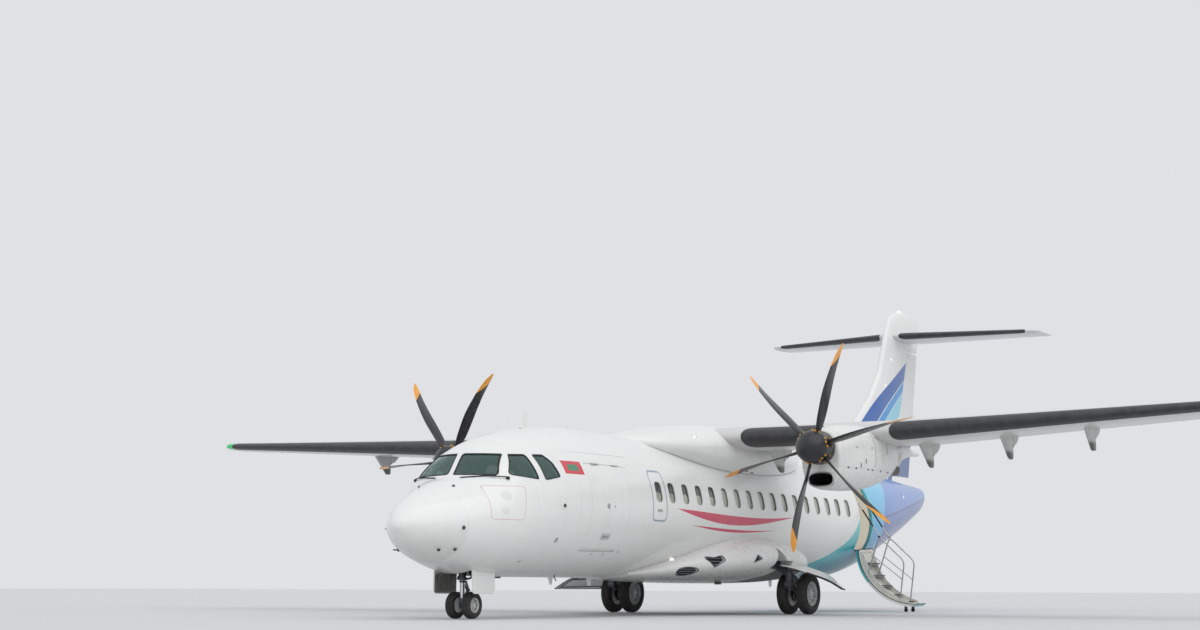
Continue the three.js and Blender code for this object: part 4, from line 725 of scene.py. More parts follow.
def stations_between(s0, s1):
    """Stations close enough together for the curve of the skin there."""
    places = []
    if s0 < 4.6:
        end = min(s1, 4.6)
        steps = math.ceil((math.sqrt(end) - math.sqrt(s0)) / 0.035)
        places += list(np.linspace(math.sqrt(s0), math.sqrt(end), steps + 1) ** 2)
    if s1 > 4.6 and s0 < 14.8:
        places += list(np.linspace(max(s0, 4.6), min(s1, 14.8),
                                   math.ceil((min(s1, 14.8) - max(s0, 4.6)) / 0.34) + 1))
    if s1 > 14.8:
        start = max(s0, 14.8)
        places += list(np.linspace(start, s1, math.ceil((s1 - start) / 0.11) + 1))
    return sorted({round(float(s), 6) for s in places})


def hull_ring(s, inset=0.0, sides=128):
    if s < 1e-6 and inset == 0:
        return [skin(0.0, 0.0)]
    return list(skin(s, np.linspace(0, 2 * math.pi, sides, endpoint=False), inset))


def hull_shell(s0, s1, inset=0.0, wall=0.07, sides=128):
    """Skin and its inner face between two stations; a solid form where the wall is None."""
    places = stations_between(s0, s1)
    outer = [hull_ring(s, inset, sides) for s in places]
    if wall is None:
        return Shape().loft(outer)
    inner = [hull_ring(s, inset + wall, sides) for s in reversed(places)]
    return Shape().loft(outer + inner, closed=True)


def dense(outline, *others, step=0.07):
    """Outlines with their long edges split the same way, so that they follow a curved surface."""
    found = [[] for _ in range(1 + len(others))]
    lines = [np.array(line, dtype=float) for line in (outline, *others)]
    for i in range(len(outline)):
        after = (i + 1) % len(outline)
        parts = max(1, math.ceil(np.linalg.norm(lines[0][after] - lines[0][i]) / step))
        for kept, line in zip(found, lines):
            kept.extend(line[i] + (line[after] - line[i]) * k / parts for k in range(parts))
    return found if others else found[0]


def patch(outline, lay, front, back, rings=7):
    """Plate on a curved surface between two insets, cut to an outline; lay(a, b, inset) gives the point."""
    points = np.array(dense(outline), dtype=float)
    middle = (points.min(axis=0) + points.max(axis=0)) / 2
    loops = []
    for inset, shares in ((front, range(rings + 1)), (back, range(rings, -1, -1))):
        for k in shares:
            if k == 0:
                loops.append([lay(*middle, inset)])
            else:
                ring = middle + (points - middle) * (k / rings)
                loops.append([lay(a, b, inset) for a, b in ring])
    return Shape().loft(loops)


def rim(outer, inner, lay, front, back, crown=0.0):
    """Frame between two outlines on a curved surface, a little crowned."""
    outer, inner = dense(outer, inner)
    halfway = [((a + c) / 2, (b + d) / 2) for (a, b), (c, d) in zip(outer, inner)]
    loops = [(outer, back), (outer, front), (halfway, front - crown), (inner, front), (inner, back)]
    return Shape().loft([[lay(a, b, inset) for a, b in loop] for loop, inset in loops], closed=True)


def on_port(s, z, inset):
    return skin_side(s, z, inset)


def on_starboard(s, z, inset):
    return skin_side(s, z, inset, -1)


def on_nose(x, z, inset):
    return skin_ahead(x, z, inset)


def on_nose_starboard(x, z, inset):
    px, py, pz = skin_ahead(x, z, inset)
    return np.array([-px, py, pz])


def box_outline(box, radius, by=0.0, steps=5):
    a0, a1, b0, b1 = box
    return rounded_box(a0 - by, a1 + by, b0 - by, b1 + by, max(radius + by, 0.002), steps)

# Plainer finishes
def metal(name, slot, colour, roughness=0.32, grain=(1, 1, 1), dirt=0.12, metallic=1.0):
    """Worked metal with fine scratches, smudges and dull patches."""
    f = Finish(name, slot, roughness=roughness, metallic=metallic)
    fine = f.noise(160.0, 2.0, 0.6, stretch=grain)
    broad = f.noise(9.0, 4.0, 0.6)
    dark = tuple(c * 0.55 for c in colour[:3]) + (1.0,)
    tone = f.mix(f.ramp(fine, 0.35, 0.75, 0.0, 0.18), colour, dark)
    tone = f.mix(f.ramp(broad, 0.5, 0.75, 0.0, dirt * 2), tone, srgb(70, 62, 54))
    f.raised(fine, 0.00012)
    return f.done(tone, f.ramp(broad, 0.3, 0.75, roughness - 0.08, roughness + 0.18))


def plain(name, slot, colour, roughness=0.5, relief=0.0001, scale=220.0, worn=None, coat=0.0, mottle=0.12):
    """Moulded or painted part: fine skin and mottled tone, with random paler patches and specks."""
    f = Finish(name, slot, roughness=roughness, coat=coat)
    fine = f.noise(scale, 2.0, 0.6)
    broad = f.noise(6.0, 4.0, 0.6)
    other = worn or tuple(min(1.0, c * 1.6 + 0.01) for c in colour[:3]) + (1.0,)
    tone = f.mix(f.ramp(broad, 0.35, 0.75, 0.0, mottle * 1.6), colour, other)
    tone = f.mix(f.ramp(fine, 0.55, 0.8, 0.0, mottle * 0.6), tone, other)
    f.raised(fine, relief)
    return f.done(tone, f.ramp(broad, 0.3, 0.7, roughness - 0.07, roughness + 0.1))


def glass(name, slot, colour, transmission=0.9):
    f = Finish(name, slot, roughness=0.03, transmission=transmission, ior=1.45)
    film = f.noise(3.0, 4.0, 0.6, stretch=(1, 1, 0.4))
    tone = f.mix(f.ramp(film, 0.35, 0.75, 0.0, 0.25), colour, tuple(c * 0.6 for c in colour[:3]) + (1.0,))
    return f.done(tone, f.ramp(film, 0.45, 0.8, 0.02, 0.09))


def cloth(name, slot, colour, second):
    f = Finish(name, slot, roughness=0.85, sheen=0.5)
    warp = f.near_line(f.maths("ADD", f.x, f.z), 0.0028, 0.0, 0.0012)
    weft = f.near_line(f.maths("ADD", f.y, f.z), 0.0028, 0.0, 0.0012)
    weave = f.maths("MAXIMUM", warp, weft)
    tone = f.mix(f.maths("MULTIPLY", weave, 0.4), colour, second)
    tone = f.mix(f.ramp(f.noise(12.0, 4.0, 0.6), 0.4, 0.75, 0.0, 0.3), tone,
                 tuple(c * 0.6 for c in colour[:3]) + (1.0,))
    f.raised(weave, 0.0004)
    f.raised(f.noise(20.0, 3.0, 0.5), 0.0015)
    return f.done(tone)


def lamp(name, slot, colour, glow):
    """Lens over a bulb: tinted, with a faint honeycomb and a glow of its own."""
    f = Finish(name, slot, roughness=0.08, coat=0.5)
    tone = f.mix(f.ramp(f.cells(120.0), 0.1, 0.6, 0.0, 0.35), colour,
                 tuple(c * 0.45 for c in colour[:3]) + (1.0,))
    f.shader.inputs["Emission Color"].default_value = colour
    f.shader.inputs["Emission Strength"].default_value = glow
    return f.done(tone)


smooth_white = paint("smooth paint", "white_paint", WHITE, dirt=0.03)
cream = plain("cabin lining", "white_paint", srgb(222, 208, 182), roughness=0.55, mottle=0.1)
blind_cream = plain("window blind", "white_paint", srgb(248, 244, 230), roughness=0.4, mottle=0.05)
dark_inside = plain("unlit inside", "black_panel", srgb(26, 27, 30), roughness=0.8)
dim_inside = plain("dim cabin wall", "black_panel", srgb(138, 142, 138), roughness=0.7)
seal_black = plain("rubber seal", "black_panel", srgb(30, 31, 33), roughness=0.62, relief=0.0002)
window_rubber = plain("window rubber", "black_panel", srgb(112, 122, 118), roughness=0.6, relief=0.0002)
seal_grey = plain("grey sealant", "black_panel", srgb(122, 126, 132), roughness=0.6, relief=0.0002)
panel_black = plain("panel moulding", "black_panel", srgb(38, 39, 42), roughness=0.6, relief=0.0002,
                    scale=500.0)
panel_grey = plain("panel face", "black_panel", srgb(84, 88, 96), roughness=0.55)
dial_glass = plain("dial face", "glazing", srgb(16, 24, 30), roughness=0.1, coat=0.8, worn=srgb(60, 96, 110))
pane_glass = glass("windscreen glass", "glazing", srgb(150, 196, 188))
window_glass = glass("cabin window glass", "glazing", srgb(240, 244, 242), 1.0)
seat_blue = cloth("seat cloth", "seat_cloth", srgb(44, 50, 74), srgb(70, 78, 108))
seat_fleece = plain("seat fleece", "seat_cloth", srgb(176, 164, 140), roughness=0.9, relief=0.003, scale=70.0)
steel = metal("machined steel", "bare_steel", srgb(168, 170, 172))
chrome = metal("oleo chrome", "bare_steel", srgb(214, 216, 218), roughness=0.14, dirt=0.05)
dark_steel = metal("dark steel", "bare_steel", srgb(88, 90, 96), roughness=0.42)
gear_grey = plain("gear enamel", "bare_steel", srgb(70, 73, 79), roughness=0.38, coat=0.2,
                  worn=srgb(64, 62, 58), mottle=0.3)
gear_pale = plain("pale gear enamel", "bare_steel", srgb(128, 132, 136), roughness=0.4, coat=0.2,
                  worn=srgb(110, 104, 96), mottle=0.3)
heat_steel = metal("heated steel", "bare_steel", srgb(122, 118, 114), roughness=0.42, dirt=0.2)
brass = metal("brass fitting", "bare_alloy", srgb(236, 184, 70), roughness=0.26, dirt=0.05)
alloy = metal("brushed alloy", "bare_alloy", srgb(190, 192, 194), roughness=0.3, grain=(1, 1, 8))
boot_black = plain("de-icing rubber", "black_composite", BOOT, roughness=0.5, relief=0.0006, scale=60.0,
                   coat=0.1,
                   worn=srgb(92, 93, 98), mottle=0.25)
clear_lens = lamp("clear lens", "glazing", srgb(246, 246, 236), 0.6)
red_lens = lamp("red lens", "glazing", srgb(206, 34, 30), 0.3)
green_lens = lamp("green lens", "glazing", srgb(30, 180, 96), 0.4)


def hull_holes():
    """Pockets of the cabin windows and exits, on both sides."""
    holes = {"forward": [], "centre": [], "aft": []}
    for lay in (on_port, on_starboard):
        for box in CABIN_WINDOWS:
            part = "centre" if box[1] < 12.3 else "aft"
            holes[part].append(patch(box_outline(box, 0.1), lay, -0.06, 0.046, 2))
        for box in EXITS:
            holes["forward"].append(patch(box_outline(box, 0.1), lay, -0.06, 0.05, 3))
    holes["aft"].append(patch(box_outline(SERVICE_DOOR, 0.1), on_starboard, -0.06, 0.05, 3))
    return holes


def box_tool(x0, x1, s0, s1, z0, z1):
    return Shape().block((x0, station(s0), z0), (x1, station(s1), z1))


def make_hull():
    joints = PANEL_JOINTS
    gap = SEAM / 2
    holes = hull_holes()
    piece("radome_skin", hull_shell(0.0, joints["radome"] - gap, wall=None), radome_white,
          stands_for=["radome"])

    nose = mesh_object("cockpit_skin", hull_shell(joints["radome"] + gap, joints["cockpit"] - gap))
    tools = [box_tool(-0.37, 0.37, 1.6, 2.25, 0.3, 1.25)]
    for outline in (rounded(WINDSCREEN, 0.05),):
        tools.append(patch(outline, on_nose, -0.2, 0.25, 3))
        tools.append(patch(outline, on_nose_starboard, -0.2, 0.25, 3))
    for outline in SIDE_WINDOWS:
        for lay in (on_port, on_starboard):
            tools.append(patch(rounded(outline, 0.05), lay, -0.2, 0.2, 3))
    carve(nose, *tools)
    dress(nose, hull_white, stands_for=["cockpit_section"])

    door = CARGO_DOOR
    front = mesh_object("forward_skin", hull_shell(joints["cockpit"] + gap, joints["forward"] - gap))
    room = patch(rounded_box(door["front"], door["rear"], door["sill"], door["top"], 0.06), on_port, -0.1,
                 0.3, 4)
    carve(front, *holes["forward"], room)
    dress(front, hull_white, stands_for=["forward_fuselage"])

    middle = mesh_object("centre_skin", hull_shell(joints["forward"] + gap, joints["centre"] - gap))
    carve(middle, *holes["centre"], *well_tools())
    dress(middle, hull_white, stands_for=["centre_fuselage"])

    door = PASSENGER_DOOR
    aft = mesh_object("aft_skin", hull_shell(joints["centre"] + gap, joints["aft"] - gap))
    room = patch(rounded_box(door["front"], door["rear"], door["sill"], door["top"], 0.07), on_port, -0.1,
                 0.3, 4)
    carve(aft, *holes["aft"], room)
    dress(aft, hull_white, stands_for=["aft_fuselage"])

    tail = hull_shell(joints["aft"] + gap, joints["tail"] - gap)
    piece("tail_skin", tail, tail_blue, stands_for=["tail_section"])
    piece("tail_cone_skin", hull_shell(joints["tail"] + gap, LENGTH, wall=None), tail_blue,
          stands_for=["tail_cone"])


WHEEL_WELL = {"inner": 0.42, "outer": 1.93, "wall": 1.8, "front": 9.95, "rear": 11.4, "shoulder": 0.985,
              "top": 1.23}
radome_white = paint("radome paint", "white_paint", srgb(228, 228, 226), livery=hull_livery, dirt=0.03,
                     gloss=0.3,
                     underside=(0.9, 1.6, 0.3))


def well_tools():
    well = WHEEL_WELL
    tools = []
    for side in (1, -1):
        tools.append(box_tool(side * well["inner"], side * well["outer"], well["front"], well["rear"], 0.3,
                              well["shoulder"]))
        tools.append(box_tool(side * well["inner"], side * well["wall"], well["front"], well["rear"],
                              well["shoulder"] - 0.01, well["top"]))
    return tools


def make_cabin_windows():
    lips, walls, panes, blinds, backs = Shape(), Shape(), Shape(), Shape(), Shape()
    boxes = CABIN_WINDOWS + [EXIT_WINDOW]
    for lay in (on_port, on_starboard):
        for k, box in enumerate(boxes):
            edge, inside = box_outline(box, 0.1, -0.0015), box_outline(box, 0.1, -0.009)
            lips.take(rim(edge, box_outline(box, 0.1, -0.006), lay, 0.001, 0.012, 0.001))
            walls.take(rim(box_outline(box, 0.1, -0.002), inside, lay, 0.0125, 0.046))
            panes.take(patch(inside, lay, 0.030, 0.033, 4))
            backs.take(patch(inside, lay, 0.0435, 0.0455, 2))
            s0, s1, z0, z1 = box
            drawn = z1 - (0.19 if k < 4 or box == EXIT_WINDOW else 0.0)
            cover = box_outline((s0, s1, z0, drawn), 0.09, -0.0095)
            blinds.take(patch(cover, lay, 0.0345, 0.038, 3))
    piece("cabin_window_lips", lips, smooth_white, angle=50)
    piece("cabin_window_walls", walls, window_rubber, angle=50)
    piece("cabin_window_panes", panes, window_glass, angle=50)
    piece("cabin_window_blinds", blinds, blind_cream, angle=50)
    piece("cabin_window_backs", backs, dim_inside, angle=50)


def make_exits():
    """Emergency exits and the service door: flush leaves in their seams, with handles."""
    leaves, handles = Shape(), Shape()
    doors = [(box, lay) for box in EXITS for lay in (on_port, on_starboard)] + [(SERVICE_DOOR, on_starboard)]
    for box, lay in doors:
        outline = box_outline(box, 0.1, -0.0045)
        if box in EXITS:
            hole = box_outline(EXIT_WINDOW, 0.1, 0.0)
            leaves.take(rim_plate(outline, hole, lay, 0.0, 0.048))
        else:
            leaves.take(patch(outline, lay, 0.0, 0.048, 6))
        s0, low = box[0], box[2] + 0.16
        handle = box_outline((s0 + 0.16, s0 + 0.34, low, low + 0.05), 0.02)
        handles.take(rim(handle, box_outline((s0 + 0.16, s0 + 0.34, low, low + 0.05), 0.02, -0.008), lay,
                         -0.003, 0.004))
        handles.take(patch(box_outline((s0 + 0.175, s0 + 0.325, low + 0.014, low + 0.036), 0.009), lay,
                           -0.006, 0.004, 2))
    piece("exit_leaves", leaves, hull_white, angle=50)
    piece("exit_handles", handles, alloy, angle=50)


def rim_plate(outer, hole, lay, front, back, rings=5):
    """Plate between an outline and a hole in it, following the surface."""
    a, b = (np.array(line) for line in dense(outer, hole))
    loops = [(k / rings, front) for k in range(rings + 1)] + [(k / rings, back) for k in range(rings, -1, -1)]
    return Shape().loft([[lay(p, q, inset) for p, q in a + (b - a) * share] for share, inset in loops],
                        closed=True)


def make_windscreen():
    """Six panes in rubber seals with white retainer strips round them, and two wipers."""
    panes, seals, strips = Shape(), Shape(), Shape()
    fronts = [(WINDSCREEN, on_nose), (WINDSCREEN, on_nose_starboard)]
    sides = [(outline, lay) for outline in SIDE_WINDOWS for lay in (on_port, on_starboard)]
    for outline, lay in fronts + sides:
        edge = rounded(outline, 0.05)
        inner = grown(edge, -0.022)
        seals.take(rim(grown(edge, -0.001), inner, lay, -0.003, 0.03, 0.003))
        panes.take(patch(inner, lay, 0.008, 0.018, 8))
        strips.take(rim(grown(edge, 0.018), grown(edge, 0.001), lay, -0.0025, 0.004, 0.0005))
    piece("windscreen_panes", panes, pane_glass, stands_for=["cockpit_glazing"], angle=60)
    piece("windscreen_seals", seals, seal_black, angle=60)
    piece("windscreen_retainers", strips, smooth_white, angle=60)
    arms = Shape()
    for side in (1, -1):
        def lay(x, z, out):
            px, py, pz = skin_ahead(x, z, -out)
            return (side * px, py, pz)
        arms.tube(smooth_path([lay(0.95, 2.33, 0.0), lay(0.94, 2.345, 0.035), lay(0.80, 2.352, 0.034),
                               lay(0.60, 2.368, 0.03)], 5), 0.009, 8)
        blade = [lay(0.24 + 0.56 * k / 10, 2.335 + 0.035 * k / 10, 0.014) for k in range(11)]
        arms.tube(blade, [0.005] + [0.011] * 9 + [0.005], 6)
        hub = lay(0.95, 2.325, 0.012)
        arms.turned([(0, -0.02), (0.032, -0.02), (0.034, 0.012), (0.022, 0.026), (0, 0.03)],
                    Matrix.Translation(hub), 20)
    piece("windscreen_wipers", arms, seal_black)


def make_cockpit():
    """What shows through the windscreen: floor, panel, glareshield, columns, seats and rear wall."""
    inset = 0.075
    floor = Shape().loft([
        [tuple(skin_side(s, FLOOR_TOP - 0.02, inset, side)) for side in (1, -1)]
        + [(p[0], p[1], FLOOR_TOP - 0.05) for p in (skin_side(s, FLOOR_TOP - 0.05, inset, -1),
                                                    skin_side(s, FLOOR_TOP - 0.05, inset, 1))]
        for s in (1.3, 1.7, 2.2, 2.8, 3.38)
    ])
    piece("cockpit_floor", floor, panel_grey, angle=30)
    wall = Shape()
    angles = np.linspace(0, 2 * math.pi, 64, endpoint=False)
    ring = [p for p in skin(3.36, angles, inset)]
    wall.loft([ring, [(p[0], p[1] + 0.02, p[2]) for p in ring]])
    piece("cockpit_rear_wall", wall, dark_inside)

    shield = Shape()
    rows = []
    for s, lift, drop in ((1.56, 0.0, 0.05), (1.64, 0.012, 0.02), (1.8, 0.016, 0.018), (1.93, 0.006, 0.02),
                          (1.96, -0.01, 0.03)):
        edge = abs(float(skin_side(s, 2.24, 0.09)[0])) - 0.02
        xs = np.linspace(-edge, edge, 15)
        top = [(x, station(s), 2.245 + lift - 0.02 * (x / edge) ** 2) for x in xs]
        under = [(x, station(s), 2.245 + lift - 0.02 * (x / edge) ** 2 - drop - 0.012) for x in reversed(xs)]
        rows.append(top + under)
    shield.loft(rows)
    piece("glareshield", shield, panel_black, angle=60)
    panel = Shape()
    half = 0.88
    panel.prism([(-half, 1.72), (half, 1.72), (half - 0.02, 2.2), (-half + 0.02, 2.2)], 1.66, 1.7,
                cross_plane)
    panel.block((-0.17, station(1.71), FLOOR_TOP), (0.17, station(2.02), 1.82))
    piece("instrument_board", panel, panel_grey, stands_for=["instrument_panel"], edge=0.006)
    dials, bezels = Shape(), Shape()
    for x in (-0.68, -0.5, -0.32, -0.1, 0.1, 0.32, 0.5, 0.68):
        for z, size in ((2.08, 0.07), (1.9, 0.06)):
            box = (x - size, x + size, z - size * 0.9, z + size * 0.9)
            dials.prism(box_outline(box, 0.01, -0.008), 1.7, 1.703, cross_plane)
            lay = lambda a, b, inset: (a, station(1.7 - inset), b)
            bezels.take(rim(box_outline(box, 0.012), box_outline(box, 0.01, -0.008), lay, -0.008, 0.002))
    for k in range(5):
        for x in (-0.11, 0.0, 0.11):
            box = (x - 0.042, x + 0.042, 1.755 + k * 0.055, 1.80 + k * 0.055)
            bezels.prism(box_outline(box, 0.006), 0.0, 0.006, lambda a, b, out: (a, station(b), 1.822 + out))
    piece("instrument_bezels", bezels, panel_black)
    piece("instrument_faces", dials, dial_glass)
    levers, knobs = Shape(), Shape()
    for x, lean in ((-0.05, 0.05), (-0.02, 0.05), (0.03, -0.02), (0.06, -0.02)):
        levers.tube([(x, station(1.95), 1.82), (x, station(1.95 + lean), 1.95)], 0.006, 8)
        knobs.turned([(0, -0.014), (0.014, -0.012), (0.018, 0.0), (0.014, 0.012), (0, 0.016)],
                     Matrix.Translation((x, station(1.95 + lean), 1.955)), 12)
    for side in (1, -1):
        x = side * 0.5
        levers.tube(smooth_path([(x, station(1.98), FLOOR_TOP), (x, station(2.02), 1.7),
                                 (x, station(1.99), 1.86), (x, station(1.93), 1.9)]), 0.022, 12)
        yoke = [(x - 0.14, station(1.97), 1.99), (x - 0.15, station(1.96), 1.93),
                (x - 0.1, station(1.93), 1.87), (x, station(1.92), 1.865),
                (x + 0.1, station(1.93), 1.87), (x + 0.15, station(1.96), 1.93),
                (x + 0.14, station(1.97), 1.99)]
        levers.tube(smooth_path(yoke, 5), 0.013, 10)
    piece("control_columns", levers, panel_black)
    piece("lever_knobs", knobs, gear_pale)
    over = Shape()
    lay = lambda a, b, inset: tuple(skin(b, a, inset))
    outline = rounded_box(-0.26, 0.26, 2.2, 2.62, 0.04)
    over.take(patch(outline, lay, 0.078, 0.11, 4))
    piece("overhead_panel", over, panel_grey)
    for name, side in SIDES.items():
        make_seat(name, side)


def cushion(low, high, crown, pinch=0.05, steps=14):
    """Crowned pad, its sides pulled in between the corners."""
    (x0, y0, z0), (x1, y1, z1) = low, high
    middle = Vector(((x0 + x1) / 2, (y0 + y1) / 2, (z0 + z1) / 2))
    half = Vector(((x1 - x0) / 2, (y1 - y0) / 2, (z1 - z0) / 2))
    shape = Shape()
    rings = []
    levels = 12
    for k in range(levels + 1):
        t = -1 + 2 * k / levels
        ring = []
        for i in range(4 * steps):
            angle = 2 * math.pi * i / (4 * steps)
            c, d = math.cos(angle), math.sin(angle)
            power = 0.38
            u = math.copysign(abs(c) ** power, c)
            v = math.copysign(abs(d) ** power, d)
            pull = 1 - pinch * (1 - abs(c * d) * 2)
            bulge = max(0.0, 1 - abs(t) ** 3.2) ** 0.42
            ring.append((u * pull * bulge, v * pull * bulge, t))
        rings.append(ring)
    placed = []
    for ring in rings:
        row = []
        for u, v, t in ring:
            lift = crown * (1 - u * u) * (1 - v * v) * max(t, 0.0)
            row.append((middle.x + half.x * u, middle.y + half.y * v,
                        middle.z + half.z * t * (0.86 + 0.14 * abs(t)) + lift * half.z))
        placed.append(row)
    first = [tuple(np.mean(placed[0], axis=0))]
    last = [tuple(np.mean(placed[-1], axis=0) + np.array([0, 0, crown * half.z]))]
    shape.loft([first] + placed[1:-1] + [last])
    return shape


def make_seat(name, side):
    centre = side * 0.54
    base = Shape()
    base.block((centre - 0.2, station(2.2), FLOOR_TOP - 0.018),
               (centre + 0.2, station(2.52), FLOOR_TOP + 0.03))
    base.block((centre - 0.13, station(2.26), FLOOR_TOP + 0.03), (centre + 0.13, station(2.46), 1.62))
    base.loft([[(centre + x, station(s), z) for x,
                z in rounded_box(-0.23, 0.23, 1.62, 1.68, 0.02)] for s in (2.16, 2.58)])
    back = rounded_box(-0.23, 0.23, 1.66, 2.44, 0.09)
    base.loft([[(centre + x, station(2.60 + 0.06 * (z - 1.66) + off), z) for x,
                z in back] for off in (0.0, 0.045)])
    for x in (-0.26, 0.26):
        rest = [(x, 2.6, 1.93), (x, 2.5, 1.95), (x, 2.3, 1.95)]
        base.tube([(centre + a, station(s), z) for a, s, z in rest], 0.022, 10)
    base.tube([(centre, station(2.64), 2.4), (centre, station(2.65), 2.55)], 0.012, 10)
    piece(f"pilot_seat_frame_{name}", base, panel_black, edge=0.006, stands_for=[f"pilot_seat_{name}"])
    pads = (
        (f"pilot_seat_pad_{name}", (centre - 0.22, station(2.16), 1.68), (centre + 0.22, station(2.57), 1.81),
         seat_blue, None),
        (f"pilot_back_pad_{name}", (-0.205, -0.35, 0.0), (0.205, 0.35, 0.11), seat_fleece, (2.05, 2.585)),
        (f"pilot_head_pad_{name}", (-0.125, -0.085, 0.0), (0.125, 0.085, 0.09), seat_blue, (2.58, 2.64)),
    )
    for title, low, high, finish, upright in pads:
        shape = cushion(low, high, 0.35)
        if upright:
            z, s = upright
            turn = Matrix.Translation((centre, station(s) - 0.02,
                                       z)) @ Matrix.Rotation(math.radians(90 - 4), 4, "X")
            shape.points = [turn @ p for p in shape.points]
        pad = mesh_object(title, shape)
        subdivision = pad.modifiers.new("round", "SUBSURF")
        subdivision.levels = 1
        apply_modifiers(pad)
        smooth(pad, 60)
        dress(pad, finish, stands_for=[f"pilot_seat_{name}"] if upright is None else ())


def make_cargo_bay():
    """Cargo door with its skin, inner lining, hinge and handle, and the bay that it closes."""
    door = CARGO_DOOR
    outline = rounded_box(door["front"] + 0.0035, door["rear"] - 0.0035, door["sill"] + 0.0035,
                          door["top"] - 0.0035, 0.06)
    leaf = mesh_object("cargo_door_skin", patch(outline, on_port, 0.0, 0.012, 10))
    smooth(leaf, 50)
    dress(leaf, hull_white, "cargo_door_leaf", stands_for=["cargo_door"])
    lining = Shape()
    inner = rounded_box(door["front"] + 0.02, door["rear"] - 0.02, door["sill"] + 0.02, door["top"] - 0.03,
                        0.05)
    lining.take(rim(inner, grown(inner, -0.06), on_port, 0.014, 0.062))
    lining.take(patch(grown(inner, -0.06), on_port, 0.02, 0.026, 4))
    for k in range(1, 5):
        s = door["front"] + k * (door["rear"] - door["front"]) / 5
        bar = rounded_box(s - 0.02, s + 0.02, door["sill"] + 0.09, door["top"] - 0.1, 0.006)
        lining.take(patch(bar, on_port, 0.026, 0.058, 2))
    piece("cargo_door_lining", lining, cream, "cargo_door_leaf", angle=50)
    fittings = Shape()
    s = (door["front"] + door["rear"]) / 2
    plate = rounded_box(s - 0.14, s + 0.14, 1.36, 1.46, 0.02)
    fittings.take(rim(plate, grown(plate, -0.01), on_port, -0.003, 0.006))
    fittings.take(patch(rounded_box(s - 0.11, s + 0.11, 1.385, 1.43, 0.015), on_port, -0.006, 0.004, 2))
    piece("cargo_door_handle", fittings, alloy, "cargo_door_leaf", angle=50)
    hinge = Vector((1.2560274, 0.0, 2.675))
    tubes = Shape()
    for start, end in ((3.98, 4.18), (4.64, 4.84)):
        tubes.tube([(hinge.x, station(start), hinge.z), (hinge.x, station(end), hinge.z)], 0.009, 14)
        arm = [(hinge.x, hinge.z + 0.006), (hinge.x + 0.007, hinge.z - 0.006),
               (hinge.x - 0.02, hinge.z - 0.03), (hinge.x - 0.028, hinge.z - 0.022)]
        tubes.prism([(x, z) for x, z in arm], start + 0.02, end - 0.02, cross_plane)
    piece("cargo_door_hinge_tubes", tubes, alloy, "cargo_door_leaf")
    lugs = Shape()
    for edge, way in ((3.98, -1), (4.18, 1), (4.64, -1), (4.84, 1)):
        s0, s1 = sorted((edge + way * 0.001, edge + way * 0.024))
        outline = [(hinge.x + 0.008, hinge.z + 0.004), (hinge.x + 0.008, hinge.z + 0.012),
                   (hinge.x - 0.05, hinge.z + 0.03), (hinge.x - 0.07, hinge.z + 0.004)]
        lugs.prism(outline, s0, s1, cross_plane)
    piece("cargo_door_lugs", lugs, smooth_white)
    bay = Shape()
    for s0, s1 in ((3.48, 3.5), (6.40, 6.42)):
        ring = [tuple(p) for p in skin(s0, np.linspace(0, 2 * math.pi, 48, endpoint=False), 0.078)]
        bay.loft([ring, [(x, y + s1 - s0, z) for x, y, z in ring]])
    bay.loft([
        [tuple(skin_side(s, 1.36, 0.075, 1)), tuple(skin_side(s, 1.36, 0.075, -1)),
         tuple(skin_side(s, 1.30, 0.075, -1)), tuple(skin_side(s, 1.30, 0.075, 1))]
        for s in (3.51, 4.0, 5.0, 6.39)
    ])
    piece("cargo_bay_lining", bay, cream)


# Wing sections and surfaces
def half_thickness(fraction, thickness):
    x = np.asarray(fraction, dtype=float)
    form = 0.2969 * np.sqrt(x) - 0.126 * x - 0.3516 * x**2 + 0.2843 * x**3 - 0.1036 * x**4
    return 5 * thickness * form + 0.0025 * x


def section_slope(fraction, thickness):
    """Rise of the section's upper side over its chord at a fraction of it."""
    low, high = max(fraction - SLOPE_STEP, 0.0), fraction + SLOPE_STEP
    return (float(half_thickness(high, thickness)) - float(half_thickness(low, thickness))) / (high - low)


def section(thickness, camber, start=0.0, end=1.0, steps=26):
    """Closed section outline of (fraction, height over chord), nose first along the top."""
    share = (1 - np.cos(np.linspace(0, math.pi, steps + 1))) / 2
    fractions = start + (end - start) * (share if start == 0 else np.linspace(0, 1, steps + 1))
    line = 4 * camber * fractions * (1 - fractions)
    half = half_thickness(fractions, thickness)
    top = list(zip(fractions, line + half))
    bottom = list(zip(fractions, line - half))[::-1]
    return top + (bottom[:-1] if start == 0 else bottom)


def wing_at(x):
    out = max(0.0, abs(x) - WING_BREAK)
    t = out / (SPAN / 2 - WING_BREAK)
    return {
        "chord": ROOT_CHORD + t * (TIP_CHORD - ROOT_CHORD),
        "nose": ROOT_LE_STATION + t * (TIP_LE_STATION - ROOT_LE_STATION),
        "height": ROOT_LE_HEIGHT + out * math.tan(DIHEDRAL),
        "thickness": ROOT_THICKNESS + t * (TIP_THICKNESS - ROOT_THICKNESS),
    }


def wing_point(x, fraction, height=0.0):
    at = wing_at(x)
    z = at["height"] - WING_INCIDENCE * (at["chord"] / ROOT_CHORD) * fraction + height
    return (x, station(at["nose"] + fraction * at["chord"]), z)


def wing_ring(x, start=0.0, end=1.0, steps=26):
    at = wing_at(x)
    return [wing_point(x, f, h * at["chord"]) for f,
            h in section(at["thickness"], WING_CAMBER, start, end, steps)]


